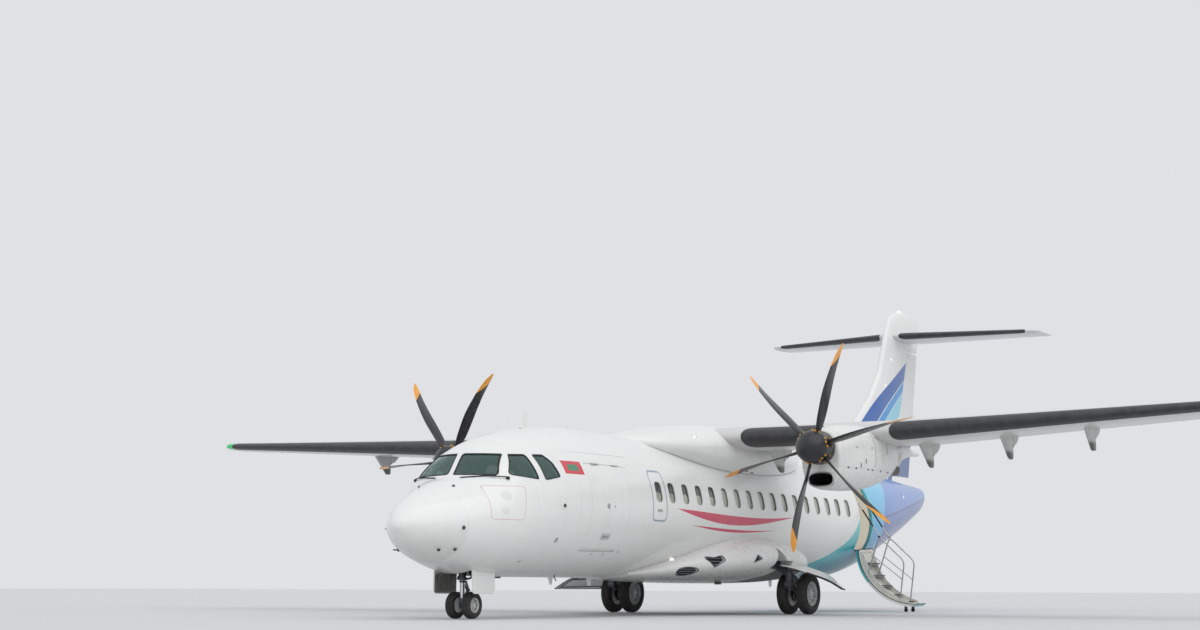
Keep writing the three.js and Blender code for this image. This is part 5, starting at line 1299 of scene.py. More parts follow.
def wing_lines(f):
    """Rib and spar seams with rivet rows on the wing."""
    out = f.maths("ABSOLUTE", f.x)
    spars = f.on_lines(f.s, (9.45, 10.55), 0.003)
    ribs = f.near_line(out, 0.56, 0.2, 0.0028)
    seams = f.maths("MAXIMUM", spars, ribs)
    dots = None
    for pitch, start, value, other in ((0.56, 0.214, out, f.s), (0.28, 0.06, f.s, out)):
        a = f.maths("PINGPONG", f.maths("SUBTRACT", value, start), pitch / 2)
        b = f.maths("PINGPONG", other, 0.014)
        far = f.maths("ADD", f.maths("MULTIPLY", a, a), f.maths("MULTIPLY", b, b))
        one = f.ramp(far, 0.0000035, 0.00001, 1.0, 0.0)
        dots = one if dots is None else f.maths("MAXIMUM", dots, one)
    return seams, dots


# Wing and flap paint is greyer than the hull white: partly the wing's own paint, partly painted shade for the
# underside that faces the ground.
wing_white = paint("wing paint", "white_paint", srgb(206, 205, 203), lines=wing_lines, dirt=0.06)
flap_white = paint("flap paint", "white_paint", srgb(196, 195, 193), lines=wing_lines, dirt=0.08)

FLAPS = {"inner": (1.56, 3.48), "outer": (4.9, 8.32)}
AILERON = (8.4, 12.02)
FLAP_HINGE_DROP = 0.33
FLAP_FAIRINGS = {"inner": (1.75, 3.33), "outer": (4.97, 6.59, 8.2)}


def flap_hinge(x):
    scale = wing_at(x)["chord"] / ROOT_CHORD
    return Vector(wing_point(x, FLAP_FRACTION, -FLAP_HINGE_DROP * scale))


def slanted(end, axis, aft, up):
    """Offset from the centreline, square to the hinge axis, of a point aft of and above a chord point."""
    return end - (axis.y * aft + axis.z * up) / axis.x


def flap_room(inner, outer, axis):
    reach = 1.2
    corners = [(-FLAP_GAP, -reach), (-FLAP_GAP, reach), (2 * reach, reach), (2 * reach, -reach)]
    rings = []
    for end in (inner - RUNNING_GAP, outer + RUNNING_GAP):
        start = Vector(wing_point(end, FLAP_FRACTION))
        ring = []
        for aft, up in corners:
            x = slanted(end, axis, aft, up)
            swept = wing_point(x, FLAP_FRACTION)[1] - start.y if aft < 0 else 0.0
            ring.append((x, start.y + aft + swept, start.z + up))
        rings.append(ring)
    return Shape().loft(rings)


def flap_shape(inner, outer, axis):
    """Flap from its rounded front face to the trailing edge, its ends square to the hinge line."""
    rings = []
    for end in (inner, outer):
        start = Vector(wing_point(end, FLAP_FRACTION))
        at = wing_at(end)
        outline = section(at["thickness"], WING_CAMBER, FLAP_FRACTION, 1.0, 14)
        nose = []
        top, bottom = outline[0], outline[-1]
        for k in range(1, 6):
            angle = math.pi * k / 6
            middle, half = (top[1] + bottom[1]) / 2, (top[1] - bottom[1]) / 2
            nose.append((FLAP_FRACTION + 0.004 - 0.004 * math.sin(angle),
                         middle - half * math.cos(angle) * 0.97))
        ring = []
        for fraction, height in [(f + (0.004 if f < FLAP_FRACTION + 1e-6 else 0), h) for f,
                                 h in outline] + nose:
            p = Vector(wing_point(end, fraction, height * at["chord"]))
            x = slanted(end, axis, p.y - start.y, p.z - start.z)
            here = wing_at(x)
            ring.append(wing_point(x, fraction,
                                   height * here["chord"] * (here["thickness"] / at["thickness"])))
        rings.append(ring)
    return Shape().loft(rings)


def blade_fairing(x, places, half=0.04):
    """Thin upright fairing: (station, top, bottom, share of the half width) rows from front to rear."""
    rings = []
    for s, top, bottom, share in places:
        w = max(half * share, 0.002)
        low = min(bottom + w, (top + bottom) / 2)
        ring = [(x + w, station(s), top), (x + w, station(s), low)]
        for k in range(1, 8):
            angle = math.pi * k / 8
            ring.append((x + w * math.cos(angle), station(s), low - (low - bottom) * math.sin(angle)))
        ring += [(x - w, station(s), low), (x - w, station(s), top)]
        rings.append(ring)
    return Shape().loft(rings)


def fairing_rows(points, top_at, front, rear, steps=14):
    """Rows of a blade fairing whose bottom runs through (station, height) points."""
    rows = []
    for k in range(steps + 1):
        t = k / steps
        s = front + (rear - front) * (1 - math.cos(math.pi * t)) / 2
        bottom = float(np.interp(s, [p[0] for p in points], [p[1] for p in points]))
        share = min(1.0, 0.12 + 1.6 * math.sqrt(max(0.0, min((s - front) / 0.5, (rear - s) / 0.34, 1.0))))
        rows.append((s, top_at(s), min(bottom, top_at(s) - 0.006), share))
    return rows


def flap_fairing(x):
    hinge = flap_hinge(x)
    scale = wing_at(x)["chord"] / ROOT_CHORD
    s, z = hinge.y + HALF_LENGTH, hinge.z
    chord_z = wing_point(x, FLAP_FRACTION)[2]
    at = wing_at(x)

    def under(station_at):
        fraction = (station_at - at["nose"]) / at["chord"]
        fraction = min(max(fraction, 0.0), 0.99)
        line = 4 * WING_CAMBER * fraction * (1 - fraction)
        height = (line - float(half_thickness(fraction, at["thickness"]))) * at["chord"]
        return wing_point(x, fraction, height)[2] + 0.02

    front, end = s - 0.74 * scale, s - FLAP_GAP
    tip = z - 0.235
    fixed = fairing_rows([(front, chord_z - 0.06), (s - 0.12, tip), (end, tip + 0.002)], under, front, end)
    fixed = [(a, b, c, max(share, 0.9) if a > s - 0.1 else share) for a, b, c, share in fixed]
    start, tail = s + 0.001, s + 0.42 * scale
    moving = fairing_rows([(start, z), (s + 0.2 * scale, z + 0.06 * scale), (tail, chord_z - 0.105 * scale)],
                          under, start, tail)
    moving = [(a, b, c, max(share, 0.9) if a < s + 0.1 else share) for a, b, c, share in moving]
    return blade_fairing(x, fixed), blade_fairing(x, moving), (s, z)


def wing_depth(x, fraction):
    at = wing_at(x)
    half = float(half_thickness(fraction, at["thickness"])) * at["chord"]
    lift = 4 * WING_CAMBER * fraction * (1 - fraction) * at["chord"]
    p = wing_point(x, fraction, lift)
    return half, p[1], p[2]


def control_ring(place, hinge, radius, tail, tail_half, belly=0.0, steps=12):
    """Surface section: round nose about the hinge, curved flanks, thin tail; place(y, up) gives the point."""
    ring = []
    for k in range(steps + 1):
        angle = math.pi * (0.5 + k / steps)
        ring.append(place(hinge + radius * math.cos(angle), radius * math.sin(angle)))
    flank = [k / 8 for k in range(1, 9)]
    for t in flank:
        ring.append(place(hinge + t * (tail - hinge),
                          -(radius * (1 - t) + tail_half * t + belly * t * (1 - t))))
    for t in reversed(flank):
        ring.append(place(hinge + t * (tail - hinge), radius * (1 - t) + tail_half * t + belly * t * (1 - t)))
    return ring


def aileron_shape():
    rings = []
    for x in AILERON:
        half, front, z = wing_depth(x, AILERON_FRACTION)
        radius = half * 0.92
        hinge = front + RUNNING_GAP + radius
        tail_point = wing_point(x, 1.0)
        slope = (tail_point[2] - z) / (tail_point[1] - hinge)
        place = lambda y, up, x=x, z=z, slope=slope, hinge=hinge: (x, y, z + up + slope * (y - hinge))
        rings.append(control_ring(place, hinge, radius, tail_point[1], 0.003))
    return Shape().loft(rings)


def aileron_room():
    rings = []
    for x in (AILERON[0] - RUNNING_GAP, AILERON[1] + RUNNING_GAP):
        p = wing_point(x, AILERON_FRACTION)
        rings.append([(x, p[1] + a, p[2] + b) for a, b in ((0.0, -1.2), (0.0, 1.2), (2.4, 1.2), (2.4, -1.2))])
    return Shape().loft(rings)


def boot(x0, x1, top, bottom, at_ring, proud=0.0018, rounding=0.16):
    """De-icing boot: shell with rounded ends on a leading edge; at_ring(x, fractions, side, lift) lays it."""
    xs = []
    length = abs(x1 - x0)
    way = 1 if x1 > x0 else -1
    for d in (0.0, 0.015, 0.04, 0.08, 0.12, rounding):
        xs.append(d)
    xs += list(np.linspace(rounding, length - rounding, 7))[1:-1]
    xs += [length - d for d in (rounding, 0.12, 0.08, 0.04, 0.015, 0.0)]
    rings = []
    for d in xs:
        near = min(d, length - d, rounding)
        share = max(0.12, math.sqrt(max(0.0, 1 - ((rounding - near) / rounding) ** 2)))
        up = [top * share * (k / 10) ** 2 for k in range(10, -1, -1)]
        down = [bottom * share * (k / 10) ** 2 for k in range(1, 11)]
        x = x0 + way * d
        outer = [at_ring(x, f, 1, proud) for f in up] + [at_ring(x, f, -1, proud) for f in down]
        inner = [at_ring(x, f, 1, -0.002) for f in up] + [at_ring(x, f, -1, -0.002) for f in down]
        rings.append(outer + inner[::-1])
    return Shape().loft(rings)


def wing_skin_point(x, fraction, side, lift):
    at = wing_at(x)
    line = 4 * WING_CAMBER * fraction * (1 - fraction)
    half = float(half_thickness(fraction, at["thickness"]))
    rise = section_slope(fraction, at["thickness"])
    normal = Vector((0.0, -rise, 1.0)).normalized() if fraction > 1e-6 else Vector((0.0, -1.0, 0.0))
    p = Vector(wing_point(x, fraction, (line + side * half) * at["chord"]))
    return p + Vector((0.0, normal.y, side * normal.z)) * lift


def make_wing():
    gap = SEAM / 2
    axes = {name: (flap_hinge(b) - flap_hinge(a)).normalized() for name, (a, b) in FLAPS.items()}
    centre = Shape().loft([wing_ring(x) for x in np.linspace(-WING_BREAK + gap, WING_BREAK - gap, 9)])
    room = flap_room(*FLAPS["inner"], axes["inner"])
    middle = mesh_object("centre_wing_skin", centre)
    carve(middle, room, mirror_x(room))
    dress(middle, wing_white, stands_for=["centre_wing"])

    rings = [wing_ring(x) for x in np.linspace(WING_BREAK + gap, SPAN / 2 - 0.06, 9)]
    base = SPAN / 2 - 0.06
    for k in range(1, 9):
        angle = math.pi / 2 * k / 8
        x, share = base + 0.06 * math.sin(angle), max(math.cos(angle), 0.04)
        at = wing_at(base)
        ring = []
        for f, h in section(at["thickness"] * share, WING_CAMBER):
            inset = 0.5 + (f - 0.5) * (1 - 0.1 * (1 - share))
            ring.append(wing_point(x, inset, h * at["chord"]))
        rings.append(ring)
    outer = Shape().loft(rings)
    tools = [flap_room(*FLAPS["outer"], axes["outer"]), aileron_room()]
    for name, side in SIDES.items():
        turned = (lambda shape: shape) if side > 0 else mirror_x
        wing = mesh_object(f"outer_wing_skin_{name}", turned(outer))
        carve(wing, *[turned(tool) for tool in tools])
        dress(wing, wing_white, stands_for=[f"outer_wing_{name}"])
        aileron = turned(aileron_shape())
        piece(f"aileron_skin_{name}", aileron, flap_white, f"aileron_body_{name}", [f"aileron_{name}"],
              angle=50)
        for part, (a, b) in FLAPS.items():
            body = f"{part}_flap_{name}"
            piece(f"flap_skin_{part}_{name}", turned(flap_shape(a, b, axes[part])), flap_white, body,
                  [f"flap_{part}_{name}"], angle=50)
            fixed, moving, pins = Shape(), Shape(), Shape()
            for x in FLAP_FAIRINGS[part]:
                still, swinging, (s, z) = flap_fairing(x)
                fixed.take(still)
                moving.take(swinging)
                pins.tube([(x - 0.042, station(s), z + 0.018), (x + 0.042, station(s), z + 0.018)], 0.016, 12)
            piece(f"flap_hinge_fairing_{part}_{name}", turned(fixed), fairing_white, angle=50)
            piece(f"flap_track_fairing_{part}_{name}", turned(moving), fairing_white, body, angle=50)
            piece(f"flap_hinge_pin_{part}_{name}", turned(pins), dark_steel)
        boots = Shape()
        boots.take(boot(1.66, 3.42, 0.085, 0.15, wing_skin_point))
        boots.take(boot(4.78, 12.05, 0.085, 0.10, wing_skin_point))
        piece(f"wing_boots_{name}", turned(boots), boot_black, angle=60)
        lens = boot(12.06, 12.2, 0.1, 0.1, wing_skin_point, 0.004, 0.05)
        piece(f"wing_tip_lens_{name}", turned(lens), red_lens if side > 0 else green_lens, angle=60)
        wicks = Shape()
        for x in (8.9, 9.7, 10.5, 11.2, 11.8):
            p = Vector(wing_point(x, 1.0))
            wicks.tube([p - Vector((0, 0.02, 0)), p + Vector((0, 0.01, 0)), p + Vector((0, 0.11, -0.006))],
                       [0.005, 0.004, 0.002], 6)
        piece(f"aileron_static_wicks_{name}", turned(wicks), seal_black, f"aileron_body_{name}")


def fairing_finish():
    """White fairing, darker along its lowest edge."""
    f = Finish("hinge fairing paint", "white_paint", roughness=0.34, coat=0.2)
    fine = f.noise(9.0, 4.0, 0.65)
    runs = f.noise(16.0, 3.0, 0.6, stretch=(1, 1, 0.2))
    tone = f.mix(f.ramp(fine, 0.35, 0.75, 0.0, 0.16), srgb(196, 196, 194), srgb(150, 146, 138))
    tone = f.mix(f.ramp(runs, 0.5, 0.8, 0.0, 0.3), tone, srgb(120, 114, 106))
    low = f.curve(f.maths("ABSOLUTE", f.x), [(1.5, 2.955), (4.9, 2.97), (8.4, 3.22)])
    # Darker towards the lowest edge of each fairing.
    darker_low_edge = f.ramp(f.maths("ADD", f.maths("SUBTRACT", f.z, low), f.maths("MULTIPLY", fine, 0.05)), 0.005,
                   0.075, 0.85, 0.0)
    tone = f.mix(darker_low_edge, tone, srgb(66, 70, 66))
    f.raised(fine, 0.0006)
    return f.done(tone, f.ramp(fine, 0.3, 0.75, 0.26, 0.5))


fairing_white = fairing_finish()


def bulged(table, s, angle, power, grow=0.0, across=0.0):
    """Point of a squared oval through a table of half width, top and bottom; angle from crown to port."""
    width, top, bottom = table(s, 0) + grow, table(s, 1) + grow, table(s, 2) - grow
    c, d = np.cos(angle), np.sin(angle)
    x = np.sign(d) * np.abs(d) ** power * width
    z = (top + bottom) / 2 + np.sign(c) * np.abs(c) ** power * (top - bottom) / 2
    return stack(across + x, s, z)


def even_angles(power, count):
    """Angles that space points evenly round a squared oval."""
    fine = np.linspace(0, 2 * math.pi, 4001)
    c, d = np.cos(fine), np.sin(fine)
    x, z = np.sign(d) * np.abs(d) ** power, np.sign(c) * np.abs(c) ** power
    run = np.concatenate([[0], np.cumsum(np.hypot(np.diff(x), np.diff(z)))])
    return np.interp(np.linspace(0, run[-1], count + 1)[:-1], run, fine)


SADDLE = Through([
    (6.56, 0.42, 3.4, 3.15), (7.1, 0.9, 3.47, 3.0), (7.9, 1.21, 3.59, 2.83), (8.8, 1.38, 3.74, 2.66),
    (9.7, 1.43, 3.81, 2.59),
    (10.7, 1.42, 3.79, 2.59), (11.7, 1.34, 3.69, 2.65), (12.7, 1.12, 3.56, 2.8), (13.6, 0.62, 3.44, 3.12),
])
POD = Through([
    (6.3, 0.64, 0.86, 0.69), (7.1, 1.15, 1.08, 0.655), (8.0, 1.56, 1.33, 0.63), (8.9, 1.88, 1.52, 0.615),
    (9.7, 2.05, 1.6, 0.61),
    (10.6, 2.08, 1.59, 0.61), (11.3, 1.95, 1.5, 0.62), (11.9, 1.66, 1.33, 0.65), (12.26, 1.25, 1.12, 0.69),
])
NACELLE = Through([
    (7.46, 0.385, 3.4, 2.33), (7.75, 0.435, 3.48, 2.31), (8.3, 0.48, 3.56, 2.32), (9.0, 0.5, 3.585, 2.37),
    (9.7, 0.47, 3.56, 2.5),
    (10.4, 0.36, 3.49, 2.72), (11.1, 0.2, 3.4, 3.03), (11.7, 0.12, 3.33, 3.15), (12.2, 0.06, 3.28, 3.19),
])


def bulged_shell(table, s0, s1, power, count=72, steps=60, across=0.0, grow=0.0, ends=(True, True)):
    share = np.linspace(0, 1, steps + 1)
    places = s0 + (s1 - s0) * share
    angles = even_angles(power, count)
    return Shape().loft([list(bulged(table, s, angles, power, grow, across)) for s in places], ends=ends)


def on_form(table, power, s, z, out, side=1, across=0.0):
    """Point a little off a squared-oval form at a station and height."""
    width, top, bottom = float(table(s, 0)), float(table(s, 1)), float(table(s, 2))
    share = min(abs((z - (top + bottom) / 2) / ((top - bottom) / 2)), 1.0)
    x = (1 - share ** (2 / power)) ** (power / 2) * width + out
    return (side * (across + x), station(s), z)


def pod_finish():
    """Pod paint with painted shade low down and oil streaks behind the openings."""
    f = Finish("pod paint", "white_paint", roughness=0.26, coat=0.3)
    fine = f.noise(6.0, 4.0, 0.65)
    blown = f.noise(5.0, 1.0, 0.4, stretch=(1.4, 0.14, 1.4))
    tone = f.mix(f.ramp(fine, 0.3, 0.7, 0.0, 0.06), srgb(226, 226, 224), srgb(190, 190, 188))
    tone = f.mix(f.ramp(blown, 0.3, 0.8, 0.0, 0.03), tone, GRIME)
    # Painted shade: the pod turns darker towards its bottom, where it faces the ground.
    low = f.both(f.ramp(f.z, 0.60, 0.98, 0.32, 0.0), f.ramp(blown, 0.2, 0.8, 0.7, 1.0))
    tone = f.mix(low, tone, srgb(104, 96, 86))
    seams = f.on_lines(f.s, (7.6, 8.7, 9.6, 11.55), 0.004)
    tone = f.mix(f.maths("MULTIPLY", seams, 0.4), tone, srgb(100, 100, 102))
    f.raised(seams, -0.0006)
    f.raised(f.noise(2.2, 2.0, 0.5), 0.003)
    return f.done(tone, f.ramp(fine, 0.3, 0.7, 0.2, 0.42))


pod_white = pod_finish()


def make_fairings():
    saddle = mesh_object("wing_saddle_skin", bulged_shell(SADDLE, 6.56, 13.6, SADDLE_POWER, 96, 64))
    smooth(saddle, 50)
    dress(saddle, smooth_white, stands_for=["wing_fairing"])
    bead = Shape()
    for side in (1, -1):
        edge = []
        for s in np.linspace(6.9, 13.3, 60):
            angles = np.linspace(0.4, 2.6, 600)
            points = bulged(SADDLE, float(s), angles, SADDLE_POWER)
            hull = np.abs(skin_side(np.full(600, s), points[:, 2])[:, 0])
            outside = points[:, 0] > hull
            if outside.any():
                k = int(np.where(outside)[0][-1])
                edge.append((side * float(points[k, 0]), float(points[k, 1]), float(points[k, 2])))
        bead.tube(edge, 0.006, 8)
    piece("wing_saddle_sealant", bead, seal_grey, angle=60)
    probes = Shape()
    for side in (1, -1):
        for s, z in ((10.0, 2.86), (10.3, 2.84)):
            x, y, zz = on_form(SADDLE, SADDLE_POWER, s, z, 0.0, side)
            probes.tube([(x, y, zz), (x + side * 0.05, y - 0.01, zz - 0.01),
                         (x + side * 0.06, y - 0.06, zz - 0.012)], [0.012, 0.009, 0.006], 10)
    piece("saddle_probes", probes, seal_black)

    pod = mesh_object("gear_pod_skin", bulged_shell(POD, 6.3, 12.26, POD_POWER, 112, 72))
    well, slot = WHEEL_WELL, LEG_SLOT
    tools = well_tools()
    for side in (1, -1):
        tools.append(box_tool(side * slot["inner"], side * slot["outer"], slot["front"], slot["rear"], 0.3,
                              slot["top"]))
        tools.append(Shape().prism(slot["mouth"], side * slot["inner"], side * slot["outer"], on_side))
        for outline in POD_VENTS:
            lay = lambda s, z, inset, side=side: on_form(POD, POD_POWER, s, z, -inset, side)
            tools.append(patch(outline, lay, -0.05, 0.07, 3))
    carve(pod, *tools)
    dress(pod, pod_white, stands_for=["gear_fairing"])
    insides, lips = Shape(), Shape()
    for side in (1, -1):
        for outline in POD_VENTS:
            lay = lambda s, z, inset, side=side: on_form(POD, POD_POWER, s, z, -inset, side)
            insides.take(patch(grown(outline, -0.001), lay, 0.06, 0.068, 2))
            lips.take(rim(grown(outline, 0.006), grown(outline, -0.008), lay, -0.004, 0.02, 0.002))
            low, high = np.min(outline, axis=0), np.max(outline, axis=0)
            for k in range(1, 4):
                z = low[1] + (high[1] - low[1]) * k / 4
                width = (high[0] - low[0]) * 0.36
                middle = (low[0] + high[0]) / 2
                lips.tube([lay(middle - width + 2 * width * t / 6, z, 0.035) for t in range(7)], 0.006, 6)
    piece("pod_vent_insides", insides, dark_inside)
    piece("pod_vent_lips", lips, seal_grey, angle=60)
    pads = Shape()
    for x, s, z in ((0.9, 9.4, 0.612), (-0.9, 9.4, 0.612)):
        pads.turned([(0, 0.03), (0.07, 0.03), (0.07, -0.02), (0.064, -0.025), (0.02, -0.025), (0.016, -0.012),
                     (0, -0.012)],
                    Matrix.Translation((x, station(s), z)), 32)
    pads.turned([(0, 0.03), (0.07, 0.03), (0.07, -0.02), (0.064, -0.025), (0.02, -0.025), (0.016, -0.012),
                 (0, -0.012)],
                Matrix.Translation((0, station(2.9), 0.702)), 32)
    piece("jacking_pads", pads, gear_grey)
    lining = Shape()
    for side in (1, -1):
        x0, x1 = side * (well["inner"] + 0.002), side * (well["wall"] - 0.002)
        s0, s1, top = well["front"] + 0.002, well["rear"] - 0.002, well["top"] - 0.002
        lining.block((x0, station(s0), top - 0.006), (x1, station(s1), top))
        for k in range(1, 8):
            s = s0 + (s1 - s0) * k / 8
            lining.prism([(x0, top - 0.006), (x1, top - 0.006), (x1, top - 0.06), (x0, top - 0.06)],
                         s - 0.006, s + 0.006,
                         cross_plane)
        for s in (s0, s1 - 0.006):
            lining.block((x0, station(s), 0.9), (x1, station(s + 0.006), top - 0.006))
        for k in range(4):
            x = x0 + (x1 - x0) * (0.2 + 0.2 * k)
            lining.tube([(x, station(s0 + 0.02), top - 0.075), (x, station(s1 - 0.02), top - 0.075)], 0.012,
                        8)
    for side in (1, -1):
        back = grown(slot["mouth"], -0.004)
        lining.prism(back, side * (slot["inner"] + 0.001), side * (slot["inner"] + 0.006), on_side)
        for k in range(3):
            s = 9.78 + 0.1 * k
            lining.tube([(side * 1.81, station(s), 0.95), (side * 1.81, station(s + 0.02), 1.08)], 0.012, 8)
    piece("wheel_well_lining", lining, gear_grey)


LEG_SLOT = {
    "inner": 1.795, "outer": 2.2, "front": 10.16, "rear": 10.41, "top": 1.06,
    "mouth": [(9.64, 0.905), (9.87, 1.3), (9.9, 1.3), (10.18, 1.05), (10.18, 0.87)],
}
POD_VENTS = [
    [(7.44 + 0.25 * math.cos(2 * math.pi * k / 28),
      0.83 + 0.085 * math.sin(2 * math.pi * k / 28)) for k in range(28)],
    rounded([(7.83, 1.07), (7.9, 1.115), (8.05, 1.10), (8.25, 1.145), (8.27, 1.04), (8.02, 0.9)], 0.03),
    rounded([(8.98, 1.0), (9.12, 1.17), (9.26, 1.085)], 0.025),
]


def nacelle_finish():
    """Cowling paint: panel seams, latch rows, soot behind the exhaust and oil streaks low down."""
    f = Finish("cowling paint", "white_paint", roughness=0.26, coat=0.3)
    fine = f.noise(6.0, 4.0, 0.65)
    blown = f.noise(6.0, 1.0, 0.4, stretch=(1.6, 0.12, 1.6))
    tone = f.mix(f.ramp(fine, 0.3, 0.7, 0.0, 0.05), srgb(230, 230, 228), srgb(196, 194, 190))
    tone = f.mix(f.ramp(blown, 0.3, 0.8, 0.0, 0.03), tone, srgb(132, 124, 112))
    low = f.both(f.ramp(f.z, 2.35, 2.7, 0.1, 0.0), f.ramp(blown, 0.2, 0.8, 0.7, 1.0))
    tone = f.mix(low, tone, srgb(120, 110, 98))
    seams = f.maths("MAXIMUM", f.on_lines(f.s, (7.62, 8.35, 10.35, 11.2), 0.004),
                    f.on_lines(f.z, (2.72, 3.33), 0.004))
    firewall = f.both(f.on_lines(f.s, (8.86,), 0.014), f.between(f.z, 2.78, 3.5))
    outboard = f.maths("SUBTRACT", f.maths("ABSOLUTE", f.x), ENGINE_OFFSET)
    root = f.both(f.on_lines(f.maths("SUBTRACT", f.s, f.maths("MULTIPLY", f.z, 0.12)), (9.1,), 0.018),
                  f.between(f.z, 3.05, 3.42))
    tone = f.mix(f.maths("MULTIPLY", seams, 0.4), tone, srgb(96, 96, 98))
    tone = f.mix(f.maths("MULTIPLY", firewall, 0.85), tone, srgb(58, 58, 60))
    tone = f.mix(f.maths("MULTIPLY", root, 0.75), tone, srgb(52, 52, 54))
    soot = f.both(f.ramp(f.s, 10.3, 11.8, 0.6, 0.1), f.ramp(outboard, 0.05, 0.3), f.ramp(f.s, 10.1, 10.3))
    tone = f.mix(f.both(soot, f.ramp(blown, 0.3, 0.7, 0.5, 1.0)), tone, srgb(92, 84, 78))
    f.raised(f.maths("MAXIMUM", seams, firewall), -0.0008)
    f.raised(f.noise(2.4, 2.0, 0.5), 0.002)
    return f.done(tone, f.ramp(fine, 0.3, 0.7, 0.2, 0.42))


cowl_white = nacelle_finish()
INTAKE = {"half": 0.235, "bottom": 2.385, "top": 2.61, "depth": 0.52}


def intake_ring(s, by=0.0, count=40):
    ring = []
    for k in range(count):
        angle = 2 * math.pi * k / count
        c, d = math.cos(angle), math.sin(angle)
        x = math.copysign(abs(c) ** 0.7, c) * (INTAKE["half"] + by)
        z = math.copysign(abs(d) ** 0.7, d) * ((INTAKE["top"] - INTAKE["bottom"]) / 2 + by)
        ring.append((ENGINE_OFFSET + x, station(s), (INTAKE["top"] + INTAKE["bottom"]) / 2 + z))
    return ring


def make_nacelles():
    angles = even_angles(0.84, 96)
    rings = []
    front = 7.46
    for back, off in ((0.0, -0.05), (0.004, -0.03), (0.014, -0.014), (0.032, -0.004), (0.06, 0.0)):
        rings.append(list(bulged(NACELLE, front + back, angles, 0.84, off, ENGINE_OFFSET)))
    for s in np.linspace(7.6, 12.14, 50):
        rings.append(list(bulged(NACELLE, float(s), angles, 0.84, 0.0, ENGINE_OFFSET)))
    for back, off in ((12.17, -0.01), (12.19, -0.03), (12.2, -0.06)):
        rings.append(list(bulged(NACELLE, back, angles, 0.84, off, ENGINE_OFFSET)))
    body = Shape().loft(rings)
    throat = Shape().loft([intake_ring(7.3), intake_ring(7.46 + INTAKE["depth"])])
    pipe_from = Vector((ENGINE_OFFSET + 0.19, station(9.7), 2.83))
    pipe_to = Vector((ENGINE_OFFSET + 0.27, station(10.35), 2.8))
    way = (pipe_to - pipe_from).normalized()
    pipe_room = Shape().tube([pipe_from - way * 0.004, pipe_to + way * 0.39], 0.112, 32)
    hub_room = Shape().tube([(ENGINE_OFFSET, station(7.3), HUB_HEIGHT),
                             (ENGINE_OFFSET, station(7.62), HUB_HEIGHT)], 0.16, 32)
    lip = Shape()
    rows = ((7.5, -0.002), (7.462, -0.002), (7.446, 0.006), (7.444, 0.016), (7.452, 0.026), (7.47, 0.032),
            (7.5, 0.033))
    lip.loft([intake_ring(s, by) for s, by in rows], closed=True)
    duct = Shape()
    duct.loft([intake_ring(7.47, -0.002), intake_ring(7.62, -0.012), intake_ring(7.8, -0.03),
               intake_ring(7.94, -0.05), intake_ring(7.95, -0.07),
               intake_ring(7.96, -0.004), intake_ring(7.47, -0.0005)], closed=True)
    grille = Shape()
    for k in range(-4, 5):
        x = ENGINE_OFFSET + k * 0.036
        grille.tube([(x, station(7.93), 2.41), (x, station(7.93), 2.585)], 0.004, 6)
    back = Shape().loft([intake_ring(7.965, -0.006), intake_ring(7.975, -0.006)])
    pipe = Shape()
    outer = [(0.105, 0.0), (0.105, 0.1), (0.105, 0.3), (0.104, 0.45), (0.105, 0.6), (0.104, 0.654),
             (0.101, 0.6546), (0.097, 0.654),
             (0.095, 0.6), (0.092, 0.4), (0.09, 0.12), (0.0, 0.1), (0.0, 0.0)]
    turn = facing(pipe_from, way)
    pipe.turned(outer, turn, 40)
    collar = Shape()
    collar.turned([(0.107, 0.33), (0.112, 0.33), (0.114, 0.336), (0.112, 0.342), (0.107, 0.342)], turn, 40,
                  closed=True)
    details = nacelle_details()
    for name, side in SIDES.items():
        turned = (lambda shape: shape) if side > 0 else mirror_x
        cowl = mesh_object(f"nacelle_skin_{name}", turned(body))
        carve(cowl, turned(throat), turned(pipe_room), turned(hub_room))
        dress(cowl, cowl_white, stands_for=[f"nacelle_{name}"])
        piece(f"intake_lip_{name}", turned(lip), alloy, angle=60)
        piece(f"intake_duct_{name}", turned(duct), dark_inside, stands_for=[f"engine_{name}"], angle=60)
        piece(f"intake_grille_{name}", turned(grille), dark_steel)
        piece(f"intake_rear_{name}", turned(back), dark_inside)
        piece(f"exhaust_nozzle_{name}", turned(pipe), heat_steel, stands_for=[f"exhaust_pipe_{name}"],
              angle=50)
        piece(f"exhaust_collar_{name}", turned(collar), alloy, angle=50)
        piece(f"nacelle_fittings_{name}", turned(details), dark_steel)


def nacelle_details():
    """Latches along the cowling seams, drain mast, small vents and the shaft housing behind the spinner."""
    shape = Shape()
    def on_cowl(s, z, out, flank):
        x, y, zz = on_form(NACELLE, 0.84, s, z, out)
        return (ENGINE_OFFSET + flank * x, y, zz)
    for flank in (1, -1):
        for s in (7.75, 8.05, 8.55, 8.75, 9.15, 9.6):
            lay = lambda a, b, inset, flank=flank: on_cowl(a, b, -inset, flank)
            shape.take(patch(box_outline((s - 0.032, s + 0.032, 2.706, 2.734), 0.008), lay, -0.003, 0.004, 2))
        for s, z in ((8.08, 3.11), (8.71, 3.13), (8.43, 2.87), (8.23, 2.78)):
            lay = lambda a, b, inset, flank=flank: on_cowl(a, b, -inset, flank)
            tall = 0.045 if z < 3 else 0.016
            shape.take(patch(box_outline((s - 0.014, s + 0.014, z - tall, z + tall), 0.009), lay, -0.004,
                             0.004, 2))
    shape.turned([(0, -0.02), (0.13, -0.02), (0.14, 0.02), (0.15, 0.1), (0.15, 0.14), (0, 0.14)],
                 Matrix.Translation((ENGINE_OFFSET, station(7.482),
                                     HUB_HEIGHT)) @ Matrix.Rotation(math.radians(-90), 4, "X"), 32)
    mast = [(0.0, 2.40), (0.03, 2.395), (0.05, 2.27), (0.02, 2.27)]
    shape.prism([(9.05 + a, b) for a, b in mast], ENGINE_OFFSET - 0.008, ENGINE_OFFSET + 0.008, on_side)
    return shape


